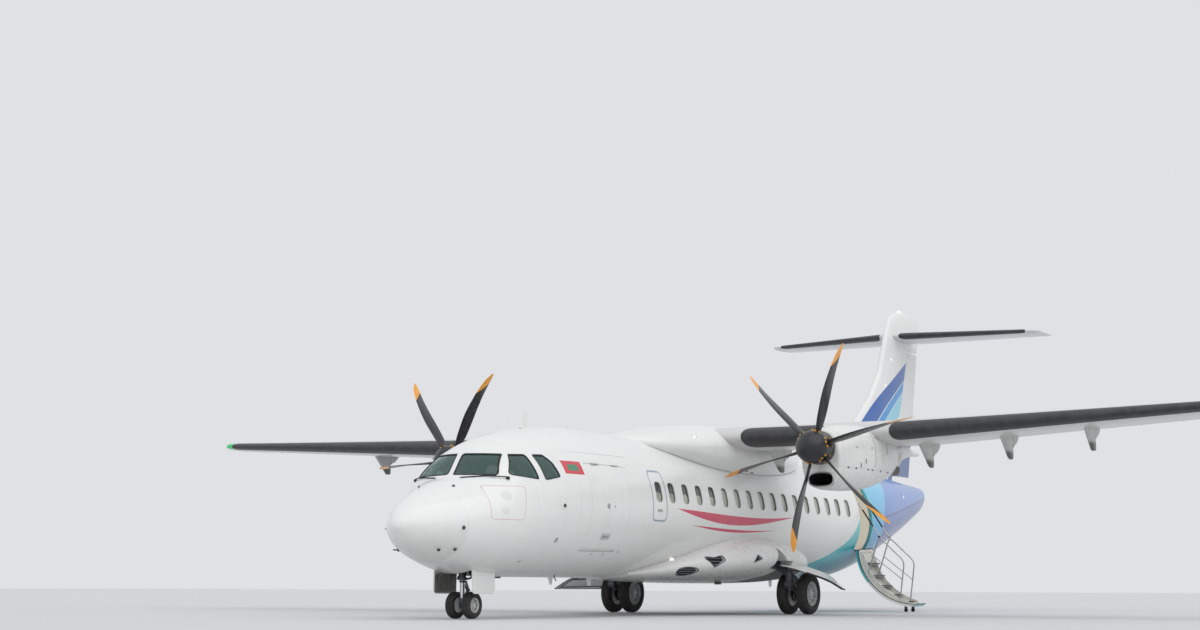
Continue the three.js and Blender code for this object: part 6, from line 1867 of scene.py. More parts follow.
# Propellers
SPINNER_RADIUS = 0.307
BLADE = Through([
    (0.25, 0.104, 0.08, 0.0, 22.0), (0.6, 0.25, 0.046, -0.014, 13.0), (1.05, 0.315, 0.03, -0.038, 5.0),
    (1.45, 0.292, 0.021, -0.006, -1.0),
    (1.8, 0.215, 0.014, 0.086, -5.0), (1.965, 0.07, 0.006, 0.165, -7.0),
])


def blade_finish():
    """Black composite blade: rubbed leading edge, stone chips, and a painted tip."""
    f = Finish("propeller blade paint", "black_composite", roughness=0.34, coat=0.25)
    out = f.maths("SQRT", f.maths("ADD", f.maths("MULTIPLY", f.x, f.x), f.maths("MULTIPLY", f.z, f.z)))
    fine = f.noise(14.0, 4.0, 0.65)
    chips = f.ramp(f.cells(90.0), 0.0, 0.12, 1.0, 0.0)
    tone = f.mix(f.ramp(fine, 0.35, 0.75, 0.0, 0.35), srgb(24, 25, 29), srgb(58, 60, 66))
    tip = f.ramp(f.maths("SUBTRACT", out, f.maths("MULTIPLY", f.y, 0.75)), 1.60, 1.612)
    amber = f.mix(f.ramp(fine, 0.35, 0.75, 0.0, 0.45), srgb(250, 170, 22), srgb(214, 122, 10))
    tone = f.mix(tip, tone, amber)
    tone = f.mix(f.both(chips, f.ramp(f.y, -0.09, -0.14, 0.0, 0.5)), tone, srgb(120, 122, 126))
    f.raised(fine, 0.0004)
    return f.done(tone, f.ramp(fine, 0.3, 0.75, 0.28, 0.5))


blade_black = blade_finish()
spinner_black = plain("spinner paint", "black_composite", srgb(24, 24, 29), roughness=0.38,
                      worn=srgb(48, 48, 56), mottle=0.25, coat=0.2)


def blade_shape(phase):
    shape = Shape()
    radii = list(np.linspace(0.25, 0.6,
                             9)) + list(np.linspace(0.66, 1.8,
                                                    26)) + [1.84, 1.88, 1.91, 1.935, 1.952, 1.962, 1.965]
    rings = []
    u = [(1 - math.cos(math.pi * k / 14)) / 2 for k in range(15)]
    for r in radii:
        chord, thick, sweep, twist = (float(BLADE(r, k)) for k in range(4))
        roundness = np.clip((0.42 - r) / 0.17, 0.0, 1.0)
        angle = math.radians(twist)
        ring = []
        for side, run in ((1, u), (-1, u[::-1][1:-1])):
            for t in run:
                form = 0.2969 * math.sqrt(t) - 0.126 * t - 0.3516 * t**2 + 0.2843 * t**3 - 0.1036 * t**4
                wing = 5 * form * 0.9
                oval = math.sqrt(max(0.0, 1 - (2 * t - 1) ** 2)) / 2 * 0.96
                across = side * thick * (wing * (1 - roundness) + oval * roundness)
                along = (t - 0.5) * chord
                y = along * math.cos(angle) - across * math.sin(angle) + sweep
                x = along * math.sin(angle) + across * math.cos(angle)
                ring.append(Vector((x, y, r)))
        rings.append(ring)
    shape.loft(rings)
    shape.turned([(0, 0.1), (0.052, 0.1), (0.052, 0.262), (0.045, 0.268), (0, 0.268)], Matrix.Identity(4), 24)
    for k in range(BLADES):
        yield k, turned_copy(shape, Matrix.Rotation(phase + k * math.tau / BLADES, 4, "Y"))


def turned_copy(shape, matrix):
    other = Shape()
    other.points = [matrix @ p for p in shape.points]
    other.faces = list(shape.faces)
    return other


def make_propellers():
    back, shoulder, nose = 7.44 - 7.2, 7.13 - 7.2, 6.79 - 7.2
    for name, side in SIDES.items():
        place = Matrix.Translation((side * ENGINE_OFFSET, station(HUB_STATION), HUB_HEIGHT))
        body, phase = f"{name}_rotor", BLADE_PHASES[name]
        blades = Shape()
        for _, blade in blade_shape(phase):
            blades.take(blade)
        piece(f"propeller_blades_{name}", blades, blade_black, body, [f"propeller_{name}"], angle=50,
              turn=place)
        profile = [(0.0, nose)]
        for k in range(1, 19):
            angle = math.pi / 2 * k / 18
            profile.append((SPINNER_RADIUS * math.sin(angle), shoulder + (nose - shoulder) * math.cos(angle)))
        profile += [(SPINNER_RADIUS, back - 0.012), (SPINNER_RADIUS - 0.003, back - 0.003),
                    (SPINNER_RADIUS - 0.01, back), (0.0, back)]
        lay = Matrix.Rotation(math.radians(-90), 4, "X")
        dome = mesh_object(f"spinner_dome_{name}", Shape().turned(profile, lay, 96))
        roots = []
        for k in range(BLADES):
            turn = Matrix.Rotation(phase + k * math.tau / BLADES, 4, "Y")
            roots.append(turned_copy(Shape().turned([(0, 0.22), (0.088, 0.22), (0.088, 0.5), (0, 0.5)],
                                                    Matrix.Identity(4), 32), turn))
        carve(dome, *roots)
        dome.matrix_world = place
        bpy.context.view_layer.update()
        dress(dome, spinner_black, body, [f"spinner_{name}"])
        cuffs, studs, band = Shape(), Shape(), Shape()
        for k in range(BLADES):
            turn = Matrix.Rotation(phase + k * math.tau / BLADES, 4, "Y")
            cuff = Shape().turned([(0.054, 0.2), (0.086, 0.2), (0.086, 0.268), (0.08, 0.292), (0.066, 0.3),
                                   (0.054, 0.3)],
                                  Matrix.Identity(4), 32, closed=True)
            cuffs.take(turned_copy(cuff, turn))
            for x, y in ((-0.075, -0.112), (0.0, -0.138), (0.075, -0.112)):
                dome_radius = SPINNER_RADIUS * math.sqrt(1 - ((y - shoulder) / (nose - shoulder)) ** 2)
                spot = Vector((x, y, math.sqrt(dome_radius**2 - x * x)))
                out = Vector((spot.x, (y - shoulder) * (SPINNER_RADIUS / (nose - shoulder)) ** 2,
                              spot.z)).normalized()
                bolt = facing(spot, out)
                studs.take(turned_copy(Shape().turned([(0, -0.01), (0.026, -0.01), (0.026, 0.002),
                                                       (0.022, 0.005), (0, 0.005)], bolt, 20), turn))
                hexed = Shape().turned([(0, 0.004), (0.016, 0.004), (0.016, 0.015), (0.010, 0.018),
                                        (0.010, 0.024), (0, 0.026)], bolt, 6)
                studs.take(turned_copy(hexed, turn))
            for x, y in ((-0.075, 0.085), (0.075, 0.085)):
                spot = Matrix.Translation((x, y, math.sqrt(SPINNER_RADIUS**2 - x * x) - 0.004))
                bolt = spot @ Matrix.Rotation(x * 2.6, 4, "Y")
                hexed = Shape().turned([(0, 0.0), (0.015, 0.0), (0.015, 0.012), (0.01, 0.014), (0.01, 0.02),
                                        (0, 0.022)], bolt, 6)
                studs.take(turned_copy(hexed, turn))
        edge = SPINNER_RADIUS
        band.turned([(edge + 0.0005, 0.16), (edge + 0.0025, 0.16), (edge + 0.0025, 0.19),
                     (edge + 0.0005, 0.19)], lay, 96, closed=True)
        piece(f"blade_cuffs_{name}", cuffs, panel_black, body, angle=50, turn=place)
        piece(f"blade_root_bolts_{name}", studs, brass, body, angle=30, turn=place)
        piece(f"spinner_band_{name}", band, dark_steel, body, angle=50, turn=place)


# Fin and tailplane
FIN = Through([
    (3.02, 15.7, 0.43), (3.45, 16.5, 0.42), (3.9, 17.33, 0.4), (4.5, 18.3, 0.375), (5.2, 19.23, 0.345),
    (5.9, 19.88, 0.31), (6.62, 20.2, 0.285),
])
FIN_ROWS = [3.02, 3.45, 3.9, 4.5, 5.2, 5.9, 6.62]
FIN_TOP = Through([
    (6.6203, 20.2, 0.285, 22.47), (7.0, 20.38, 0.28, 22.6), (7.33, 20.6, 0.25, 22.64),
    (7.49, 20.86, 0.18, 22.61), (7.59, 21.3, 0.06, 22.46),
])
RUDDER = (3.33, 6.56)
TAIL_HEIGHT = 6.88
ELEVATOR = (0.25, 3.56)


def rudder_hinge(z):
    return 21.1 + 0.373 * (z - 4.9)


def rudder_tail(z):
    return 22.08 + 0.224 * (z - 4.85)


def straight(z, column):
    """Fin value read off straight lines between the table's rows, as the sheet lies between the ribs."""
    return float(np.interp(z, FIN_ROWS, [float(FIN(row, column)) for row in FIN_ROWS]))


def fin_half(z):
    nose, tail = straight(z, 0), rudder_tail(z)
    return float(half_thickness((rudder_hinge(z) - nose) / (tail - nose),
                                straight(z, 1) / (tail - nose))) * (tail - nose)


def rudder_nose(z):
    share = (z - RUDDER[0]) / (RUDDER[1] - RUDDER[0])
    foot, head = fin_half(RUDDER[0]) * 0.94, fin_half(RUDDER[1]) * 0.94
    return foot + share * (head - foot)


def upright_ring(z, nose, tail, thickness, steps=26):
    chord = tail - nose
    return [(h * chord, station(nose + f * chord), z) for f,
            h in section(thickness / chord, 0.0, steps=steps)]


def fin_livery(f):
    """White fin with bands that sweep up and aft, deep blue to aqua, and a slate foot on the rudder."""
    s, z = f.s, f.z
    lean = f.maths("SUBTRACT", s, f.maths("MULTIPLY", f.maths("SUBTRACT", z, 4.5), 1.62))
    wave = f.maths("MULTIPLY", f.maths("SINE", f.maths("MULTIPLY", f.maths("SUBTRACT", z, 4.4), 1.9)), 0.14)
    across = f.maths("ADD", lean, wave)
    colour = WHITE
    bands = ((18.5, 19.22, srgb(34, 92, 170)), (19.27, 19.66, srgb(40, 146, 214)),
             (19.70, 20.4, srgb(140, 210, 230)))
    before_hinge = f.ramp(f.maths("SUBTRACT", s, f.maths("MULTIPLY", z, 0.373)), 19.10, 19.11, 1.0, 0.0)
    reach = f.both(f.ramp(z, 4.3, 4.32), before_hinge)
    for start, end, tone in bands:
        colour = f.mix(f.both(f.between(across, start, end, 0.004), reach), colour, tone)
    foot = f.maths("SUBTRACT", z, f.maths("ADD", f.maths("MULTIPLY", f.maths("SUBTRACT", s, 20.3), 0.32),
                                          3.72))
    slate = f.both(f.ramp(foot, -0.006, 0.006, 1.0, 0.0),
                   f.ramp(f.maths("SUBTRACT", s, f.maths("MULTIPLY", z, 0.373)), 18.86, 18.87))
    return f.mix(slate, colour, srgb(70, 96, 154))


def fin_lines(f):
    lean = f.maths("SUBTRACT", f.s, f.maths("MULTIPLY", f.z, 0.8))
    return riveted(f, f.z, lean, [3.9, 4.5, 5.2, 5.9, 6.62], (0.15, 0.1), (0.35, 0.6), [14.6, 15.6, 16.6])


def tail_lines(f):
    return riveted(f, f.x, f.s, [-3.2, -2.3, -1.4, -0.6, 0.6, 1.4, 2.3, 3.2], (0.05, 21.25), (0.3, 0.42),
                   [21.25])


fin_white = paint("fin paint", "white_paint", WHITE, livery=fin_livery, lines=fin_lines)
tail_white = paint("tailplane paint", "white_paint", srgb(216, 217, 216), lines=tail_lines, dirt=0.05)


def make_fin():
    rows = sorted(set(FIN_ROWS) | set(np.linspace(3.02, 6.62, 19)))
    fin = mesh_object("fin_skin", Shape().loft([upright_ring(z, straight(z, 0), rudder_tail(z),
                                                             straight(z, 1)) for z in rows]))
    line = lambda z: station(rudder_hinge(z) - rudder_nose(z) - RUNNING_GAP)
    room = Shape().prism([(line(2.9), 2.9), (line(6.7), 6.7), (station(24), 6.7), (station(24), 2.9)], -0.5,
                         0.5, lambda y, z, x: (x, y, z))
    inside = hull_shell(15.0, 22.6, -0.0015, None, 96)
    carve(fin, room, inside)
    dress(fin, fin_white, stands_for=["fin"])
    rings = []
    for z in RUDDER:
        place = lambda y, across, z=z: (across, y, z)
        rings.append(control_ring(place, station(rudder_hinge(z)), rudder_nose(z), station(rudder_tail(z)),
                                  0.006))
    rudder = Shape().loft(rings)
    piece("rudder_skin", rudder, fin_white, "rudder_body", ["rudder"], angle=50)
    top = Shape().loft([upright_ring(z, float(FIN_TOP(z, 0)), float(FIN_TOP(z, 2)),
                                     float(FIN_TOP(z, 1))) for z in
                        [6.6203, 6.75, 6.9, 7.0, 7.1, 7.2, 7.3, 7.38, 7.45, 7.5, 7.54, 7.57, 7.59]])
    grown_tail = Shape().loft([tail_ring(x, 1.0, 0.002) for x in (-0.4, 0.0, 0.4)])
    crown = mesh_object("fin_top_skin", top)
    carve(crown, grown_tail)
    dress(crown, smooth_white, stands_for=["fin_top"])
    tab = Shape()
    for side in (1, -1):
        for z in (3.9, 4.9, 5.9):
            s = rudder_hinge(z) - rudder_nose(z) - 0.06
            tab.tube([(side * (fin_half(z) + 0.001), station(s), z),
                      (side * (fin_half(z) + 0.004), station(s), z)], 0.018, 16)
    piece("rudder_hinge_caps", tab, alloy)
    lights = Shape()
    for z, s in ((5.55, 19.98), (6.25, 20.42)):
        chord = rudder_tail(z) - straight(z, 0)
        half = float(half_thickness((s - straight(z, 0)) / chord, straight(z, 1) / chord)) * chord
        turn = Matrix.Translation((half - 0.002, station(s), z)) @ Matrix.Rotation(math.radians(90), 4, "Y")
        lights.turned([(0, 0), (0.03, 0), (0.03, 0.006), (0.022, 0.014), (0, 0.018)], turn, 20)
    piece("fin_lights", joined(lights, mirror_x(lights)), clear_lens)
    beacon = Shape().turned([(0, 7.57), (0.055, 7.57), (0.055, 7.585), (0.045, 7.605), (0.025, 7.618),
                             (0, 7.622)],
                            Matrix.Translation((0, station(21.3), 0)), 24)
    piece("fin_beacon", beacon, clear_lens)
    wicks = Shape()
    for z in (4.0, 4.8, 5.6, 6.3):
        p = Vector((0, station(rudder_tail(z)), z))
        wicks.tube([p - Vector((0, 0.02, 0)), p + Vector((0, 0.02, 0)), p + Vector((0, 0.1, 0.0))],
                   [0.005, 0.004, 0.002], 6)
    piece("rudder_static_wicks", wicks, seal_black, "rudder_body")


def tail_at(x):
    t = abs(x) / (TAIL_SPAN / 2)
    return {"nose": 20.56 + t * 0.77, "tail": 22.52 + t * 0.02, "thickness": 0.12 - t * 0.02}


def tail_ring(x, share=1.0, grow=0.0, start=0.0, end=1.0):
    at = tail_at(x)
    chord = at["tail"] - at["nose"]
    length = chord * (1 - 0.15 * (1 - share)) + 2 * grow
    nose = at["nose"] - grow + 0.1 * chord * (1 - share)
    return [(x, station(nose + f * length), TAIL_HEIGHT + h * length) for f, h in
            section((at["thickness"] * chord * share + 2 * grow) / length, 0.0, start, end)]


def elevator_hinge(x):
    at = tail_at(x)
    chord = at["tail"] - at["nose"]
    front = at["tail"] - (0.66 - 0.19 * abs(x) / (TAIL_SPAN / 2))
    half = float(half_thickness((front - at["nose"]) / chord, at["thickness"])) * chord
    return front + half, half * 0.92, front - RUNNING_GAP


def tail_skin_point(x, fraction, side, lift):
    at = tail_at(x)
    chord = at["tail"] - at["nose"]
    half = float(half_thickness(fraction, at["thickness"]))
    rise = section_slope(fraction, at["thickness"])
    normal = Vector((0.0, -rise, 1.0)).normalized() if fraction > 1e-6 else Vector((0.0, -1.0, 0.0))
    return Vector((x, station(at["nose"] + fraction * chord),
                   TAIL_HEIGHT + side * half * chord)) + Vector((0.0, normal.y, side * normal.z)) * lift


def make_tailplane():
    tip = TAIL_SPAN / 2
    ends = [(tip - 0.11, 1.0), (tip - 0.09, 0.96), (tip - 0.07, 0.88), (tip - 0.045, 0.75), (tip - 0.02, 0.5),
            (tip, 0.2)]
    rings = [tail_ring(-x, share) for x,
             share in reversed(ends)] + [tail_ring(x) for x in np.linspace(-3.4, 3.4, 15)]
    rings += [tail_ring(x, share) for x, share in ends]
    tail = mesh_object("tailplane_skin", Shape().loft(rings))
    room = Shape().loft([[(x, station(s), TAIL_HEIGHT + up) for s, up in
                          ((elevator_hinge(x)[2], -0.6), (elevator_hinge(x)[2], 0.6), (24, 0.6), (24, -0.6))]
                         for x in (0.0, ELEVATOR[1] + RUNNING_GAP)])
    carve(tail, room, mirror_x(room))
    dress(tail, tail_white, stands_for=["tailplane"])
    rings = []
    for x in ELEVATOR:
        hinge, radius, _ = elevator_hinge(x)
        place = lambda y, up, x=x: (x, y, TAIL_HEIGHT + up)
        rings.append(control_ring(place, station(hinge), radius, station(tail_at(x)["tail"]), 0.005))
    elevator = Shape().loft(rings)
    for name, side in SIDES.items():
        turned = (lambda shape: shape) if side > 0 else mirror_x
        piece(f"elevator_skin_{name}", turned(elevator), tail_white, f"elevator_body_{name}",
              [f"elevator_{name}"], angle=50)
        piece(f"tail_boot_{name}", turned(boot(0.26, 3.36, 0.09, 0.09, tail_skin_point)), boot_black,
              angle=60)
        wicks = Shape()
        for x in (2.2, 2.8, 3.4):
            p = Vector((x, station(tail_at(x)["tail"]), TAIL_HEIGHT))
            wicks.tube([p - Vector((0, 0.02, 0)), p + Vector((0, 0.015, 0)), p + Vector((0, 0.07, -0.004))],
                       [0.005, 0.004, 0.002], 6)
        piece(f"elevator_static_wicks_{name}", turned(wicks), seal_black, f"elevator_body_{name}")


# Wheels and landing gear
def tyre_finish():
    """Weathered rubber: paler dusty patches and fine pale specks all over, with a fine surface grain."""
    f = Finish("tyre rubber", "tyre_rubber", roughness=0.78)
    fine = f.noise(60.0, 4.0, 0.65)
    dust = f.noise(9.0, 4.0, 0.6)
    tone = f.mix(f.ramp(dust, 0.35, 0.75, 0.0, 0.55), srgb(38, 38, 39), srgb(74, 71, 66))
    tone = f.mix(f.ramp(fine, 0.5, 0.8, 0.0, 0.4), tone, srgb(96, 92, 86))
    f.raised(fine, 0.0006)
    return f.done(tone, f.ramp(dust, 0.3, 0.7, 0.68, 0.88))


tyre_black = tyre_finish()
door_back = plain("door back enamel", "black_panel", srgb(108, 106, 103), roughness=0.5, mottle=0.3)
hub_pale = plain("wheel hub enamel", "bare_alloy", srgb(206, 208, 208), roughness=0.36, coat=0.2,
                 worn=srgb(136, 128, 118), mottle=0.35)


def tyre_shape(radius, rim_radius, width, grooves, segments=72):
    w = width / 2
    tall = radius - rim_radius
    half = []
    half += [(rim_radius + 0.0015, w * 0.70), (rim_radius + 0.006, w * 0.76),
             (rim_radius + 0.1 * tall, w * 0.84), (rim_radius + 0.18 * tall, w * 0.93),
             (rim_radius + 0.24 * tall, w * 0.955), (rim_radius + 0.255 * tall, w * 0.972),
             (rim_radius + 0.3 * tall, w * 0.985), (rim_radius + 0.45 * tall, w),
             (rim_radius + 0.6 * tall, w * 0.985), (rim_radius + 0.615 * tall, w * 0.972),
             (rim_radius + 0.72 * tall, w * 0.935), (rim_radius + 0.83 * tall, w * 0.85),
             (rim_radius + 0.91 * tall, w * 0.74), (rim_radius + 0.965 * tall, w * 0.6)]
    crown = [(radius - 0.0045, w * 0.5)]
    depth = 0.007 if radius < 0.3 else 0.010
    spots = []
    for k in range(grooves):
        at = w * 0.42 - k * (w * 0.84) / (grooves - 1)
        spots.append(at)
    for at in spots:
        bow = radius - 0.004 * (at / (w * 0.5)) ** 2
        half_groove = 0.0035 if radius < 0.3 else 0.005
        crown += [(bow, at + half_groove + 0.0015), (bow - 0.001, at + half_groove),
                  (bow - depth, at + half_groove * 0.7),
                  (bow - depth, at - half_groove * 0.7), (bow - 0.001, at - half_groove),
                  (bow, at - half_groove - 0.0015)]
    crown += [(radius - 0.0045, -w * 0.5)]
    profile = half + crown + [(r, -a) for r, a in reversed(half)]
    profile += [(rim_radius + 0.0015, -w * 0.3), (rim_radius + 0.0015, w * 0.3)]
    return Shape().turned(profile, Matrix.Identity(4), segments, closed=True)


def rim_shape(rim_radius, width, holes):
    """Wheel turned about its axle: bead flanges, dished disc with vent rims, hub cap and bolts, and
    near-black discs in the vent rims as painted shade for the holes.
    """
    w = width / 2
    r = rim_radius
    outer = [(0, -w * 0.5), (r * 0.7, -w * 0.5), (r * 0.86, -w * 0.6), (r - 0.012, -w * 0.74),
             (r + 0.004, -w * 0.8), (r + 0.006, -w * 0.76), (r, -w * 0.7),
             (r, w * 0.7), (r + 0.006, w * 0.76), (r + 0.004, w * 0.8), (r - 0.012, w * 0.78),
             (r - 0.02, w * 0.6), (r * 0.86, w * 0.4), (r * 0.6, w * 0.34),
             (r * 0.5, w * 0.42), (r * 0.42, w * 0.44), (r * 0.40, w * 0.6), (r * 0.26, w * 0.66),
             (r * 0.24, w * 0.74), (0, w * 0.76)]
    disc = Shape().turned(outer, Matrix.Identity(4), 64)
    extras = Shape()
    for k in range(holes):
        angle = 2 * math.pi * k / holes
        place = Matrix.Rotation(angle, 4, "Z") @ Matrix.Translation((r * 0.74, 0, w * 0.37))
        extras.turned([(r * 0.075, -0.002), (r * 0.10, -0.002), (r * 0.10, 0.006), (r * 0.085, 0.009),
                       (r * 0.075, 0.006)], place, 18, closed=True)
    for k in range(holes):
        angle = 2 * math.pi * (k + 0.5) / holes
        place = Matrix.Rotation(angle, 4, "Z") @ Matrix.Translation((r * 0.52, 0, w * 0.41))
        extras.turned([(0, 0), (r * 0.045, 0), (r * 0.045, 0.010), (r * 0.028, 0.012), (r * 0.028, 0.018),
                       (0, 0.019)], place, 6)
    for k in range(6):
        angle = 2 * math.pi * k / 6
        place = Matrix.Rotation(angle, 4, "Z") @ Matrix.Translation((r * 0.33, 0, w * 0.62))
        extras.turned([(0, 0), (r * 0.03, 0), (r * 0.03, 0.007), (0, 0.009)], place, 6)
    # Painted shade: near-black discs in the vent rims stand in for the holes, which are not cut.
    dark = Shape()
    for k in range(holes):
        angle = 2 * math.pi * k / holes
        place = Matrix.Rotation(angle, 4, "Z") @ Matrix.Translation((r * 0.74, 0, w * 0.355))
        dark.turned([(0, -0.002), (r * 0.078, -0.002), (r * 0.078, 0.0035), (0, 0.0035)], place, 18)
    return disc, extras, dark


def wheel_pair(prefix, centre, spacing, size, body, labels, pale):
    x, s, z = centre
    discs, fittings, holes = Shape(), Shape(), Shape()
    for out, label in zip((1, -1), labels):
        lay = Matrix.Translation((x + out * spacing / 2, station(s),
                                  z)) @ Matrix.Rotation(math.radians(90 * out), 4, "Y")
        tyre = turned_copy(tyre_shape(size["radius"], size["rim"], size["width"], size["grooves"]), lay)
        piece(f"{prefix}_tyre_rubber_{label}", tyre, tyre_black, body, [f"{prefix}_tyre_{label}"], angle=34)
        disc, extras, dark = rim_shape(size["rim"], size["width"], size["holes"])
        discs.take(turned_copy(disc, lay))
        fittings.take(turned_copy(extras, lay))
        holes.take(turned_copy(dark, lay))
    discs.tube([(x - spacing / 2, station(s), z), (x + spacing / 2, station(s), z)], size["axle"], 24)
    piece(f"{prefix}_hubs", discs, pale, body, [f"{prefix}_wheels"], angle=40)
    piece(f"{prefix}_hub_bolts", fittings, steel, body, angle=40)
    # Near-black discs of painted shade in the hub vents.
    piece(f"{prefix}_hub_vent_shade", holes, dark_inside, body, angle=40)


def torque_link(upper, lower, elbow, width=0.05, thick=0.022):
    """Scissor link: two tapered arms that meet at an elbow pin."""
    shape = Shape()
    for end in (upper, lower):
        a, b = Vector(end), Vector(elbow)
        way = (b - a).normalized()
        side = Vector((1, 0, 0))
        up = way.cross(side).normalized()
        for half in (-1, 1):
            rings = []
            for t, wide in ((0.0, width), (1.0, width * 0.45)):
                p = a + (b - a) * t + side * half * wide * 0.5
                rings.append([p + side * (0.011 * c) + up * (thick * d) for c,
                              d in ((-1, -1), (1, -1), (1, 1), (-1, 1))])
            shape.loft(rings)
        for t in (0.32, 0.62):
            p, wide = a + (b - a) * t, width * (1 - 0.55 * t)
            shape.tube([p - side * wide * 0.5, p + side * wide * 0.5], thick * 0.55, 10)
    shape.tube([Vector(elbow) - Vector((width * 0.5, 0, 0)), Vector(elbow) + Vector((width * 0.5, 0, 0))],
               thick * 1.15, 14)
    shape.tube([Vector(upper) - Vector((width * 0.72, 0, 0)), Vector(upper) + Vector((width * 0.72, 0, 0))],
               thick * 1.15, 14)
    shape.tube([Vector(lower) - Vector((width * 0.72, 0, 0)), Vector(lower) + Vector((width * 0.72, 0, 0))],
               thick * 1.15, 14)
    return shape


def nose_underside(x, s):
    """Height of the belly skin at an offset and a station."""
    middle, bottom, width = float(HULL(s, 3)), float(HULL(s, 2)), float(HULL(s, 0))
    return middle - (middle - bottom) * math.sqrt(max(0.0, 1 - (x / width) ** 2))


def make_nose_gear():
    y, axle_y = station(1.88), station(NOSE_GEAR_STATION)
    leg = Shape()
    leg.turned([(0, 0.69), (0.058, 0.69), (0.060, 0.72), (0.056, 0.74), (0.056, 0.86), (0.064, 0.87),
                (0.064, 0.93), (0.058, 0.94), (0.058, 1.12),
                (0.066, 1.13), (0.066, 1.2), (0.056, 1.22), (0.056, 1.2495), (0, 1.2495)],
                Matrix.Translation((0, y, 0)), 40)
    leg.turned([(0, 0.64), (0.074, 0.64), (0.084, 0.646), (0.086, 0.66), (0.084, 0.684), (0.074, 0.69),
                (0, 0.69)], Matrix.Translation((0, y, 0)), 40)
    leg.tube([(0, y, 0.76), (0, station(1.66), 1.18)], 0.03, 16)
    leg.tube([(0, station(1.85), 0.74), (0, station(1.89), 0.80)], 0.044, 16)
    leg.tube([(-0.366, y, 1.09), (0.366, y, 1.09)], 0.04, 20)
    leg.tube([(-0.366, y, 1.09), (-0.32, y, 1.09)], 0.055, 20)
    leg.tube([(0.32, y, 1.09), (0.366, y, 1.09)], 0.055, 20)
    for side in (1, -1):
        leg.tube([(side * 0.03, station(1.83), 0.80), (side * 0.17, station(1.80), 1.08)], 0.014, 10)
        leg.tube(bent_path([(side * 0.074, station(1.88), 0.665), (side * 0.12, station(1.9), 0.665),
                            (side * 0.14, station(1.97), 0.7),
                            (side * 0.06, station(1.98), 0.78), (side * 0.05, station(1.93), 0.86)], 0.05),
                            0.017, 10)
    piece("nose_leg_casting", leg, gear_grey, stands_for=["nose_gear_leg"], angle=40)
    pipes = Shape()
    for side, off in ((1, 0.0), (-1, 0.0), (1, 0.022)):
        x = side * (0.062 + off)
        pipes.tube(smooth_path([(x, station(1.865), 1.2), (x, station(1.86), 1.05),
                                (x * 1.15, station(1.862), 0.9), (x, station(1.865), 0.76),
                                (x * 1.08, station(1.84), 0.7)], 5), 0.006, 8)
    for z in (0.8, 0.99, 1.15):
        pipes.tube([(-0.09, station(1.864), z), (0.09, station(1.864), z)], 0.008, 8)
    piece("nose_leg_pipes", pipes, seal_black, angle=60)
    lamps, rings = Shape(), Shape()
    for side in (1, -1):
        turn = Matrix.Translation((side * 0.11, station(1.79),
                                   0.88)) @ Matrix.Rotation(math.radians(90), 4, "X")
        rings.turned([(0, -0.05), (0.03, -0.05), (0.05, -0.02), (0.056, 0.02), (0.05, 0.02), (0.046, 0.006),
                      (0, 0.006)], turn, 28)
        lamps.turned([(0, 0.004), (0.047, 0.004), (0.047, 0.014), (0.03, 0.022), (0, 0.025)], turn, 28)
        rings.tube([(side * 0.11, station(1.83), 0.88), (side * 0.04, station(1.87), 0.88)], 0.014, 10)
    piece("nose_leg_lamp_cases", rings, alloy, angle=50)
    piece("nose_leg_lamp_lenses", lamps, clear_lens, angle=50)

    piston = Shape().turned([(0, 0.3), (0.041, 0.3), (0.041, 0.639), (0, 0.639)],
                            Matrix.Translation((0, y, 0)), 36)
    piece("nose_piston", piston, chrome, "nose_steering", ["nose_gear_fork"])
    fork = Shape()
    fork.turned([(0, 0.24), (0.046, 0.24), (0.05, 0.26), (0.05, 0.33), (0.044, 0.345), (0, 0.345)],
                Matrix.Translation((0, y, 0)), 28)
    fork.turned([(0, 0.60), (0.052, 0.60), (0.056, 0.607), (0.056, 0.628), (0.05, 0.636), (0, 0.636)],
                Matrix.Translation((0, y, 0)), 32)
    fork.loft([[(x, station(s), z) for s,
                z in rounded([(1.84, 0.225), (1.84, 0.3), (1.93, 0.3), (1.975, 0.25), (1.975, 0.2),
                              (1.88, 0.18)], 0.02)] for x in (-0.04, 0.04)])
    piece("nose_fork_casting", fork, gear_grey, "nose_steering", angle=40)
    housing = Shape()
    housing.turned([(0.0308, -0.062), (0.05, -0.062), (0.053, -0.056), (0.053, 0.056), (0.05, 0.062),
                    (0.0308, 0.062)],
                   Matrix.Translation((0, axle_y, 0.225)) @ Matrix.Rotation(math.radians(90), 4, "Y"), 36,
                   closed=True)
    piece("nose_axle_housing", housing, gear_grey, "nose_steering", angle=40)
    links = torque_link((0, station(1.935), 0.612), (0, station(1.965), 0.33), (0, station(2.045), 0.475),
                        0.07, 0.016)
    piece("nose_torque_links", links, gear_pale, "nose_steering", angle=40, edge=0.0015)
    size = {"radius": 0.225, "rim": 0.12, "width": 0.16, "grooves": 3, "axle": 0.03, "holes": 8}
    wheel_pair("nose", (0, NOSE_GEAR_STATION, 0.225), 0.33, size, "nose_wheel_pair", ("port", "starboard"),
               hub_pale)

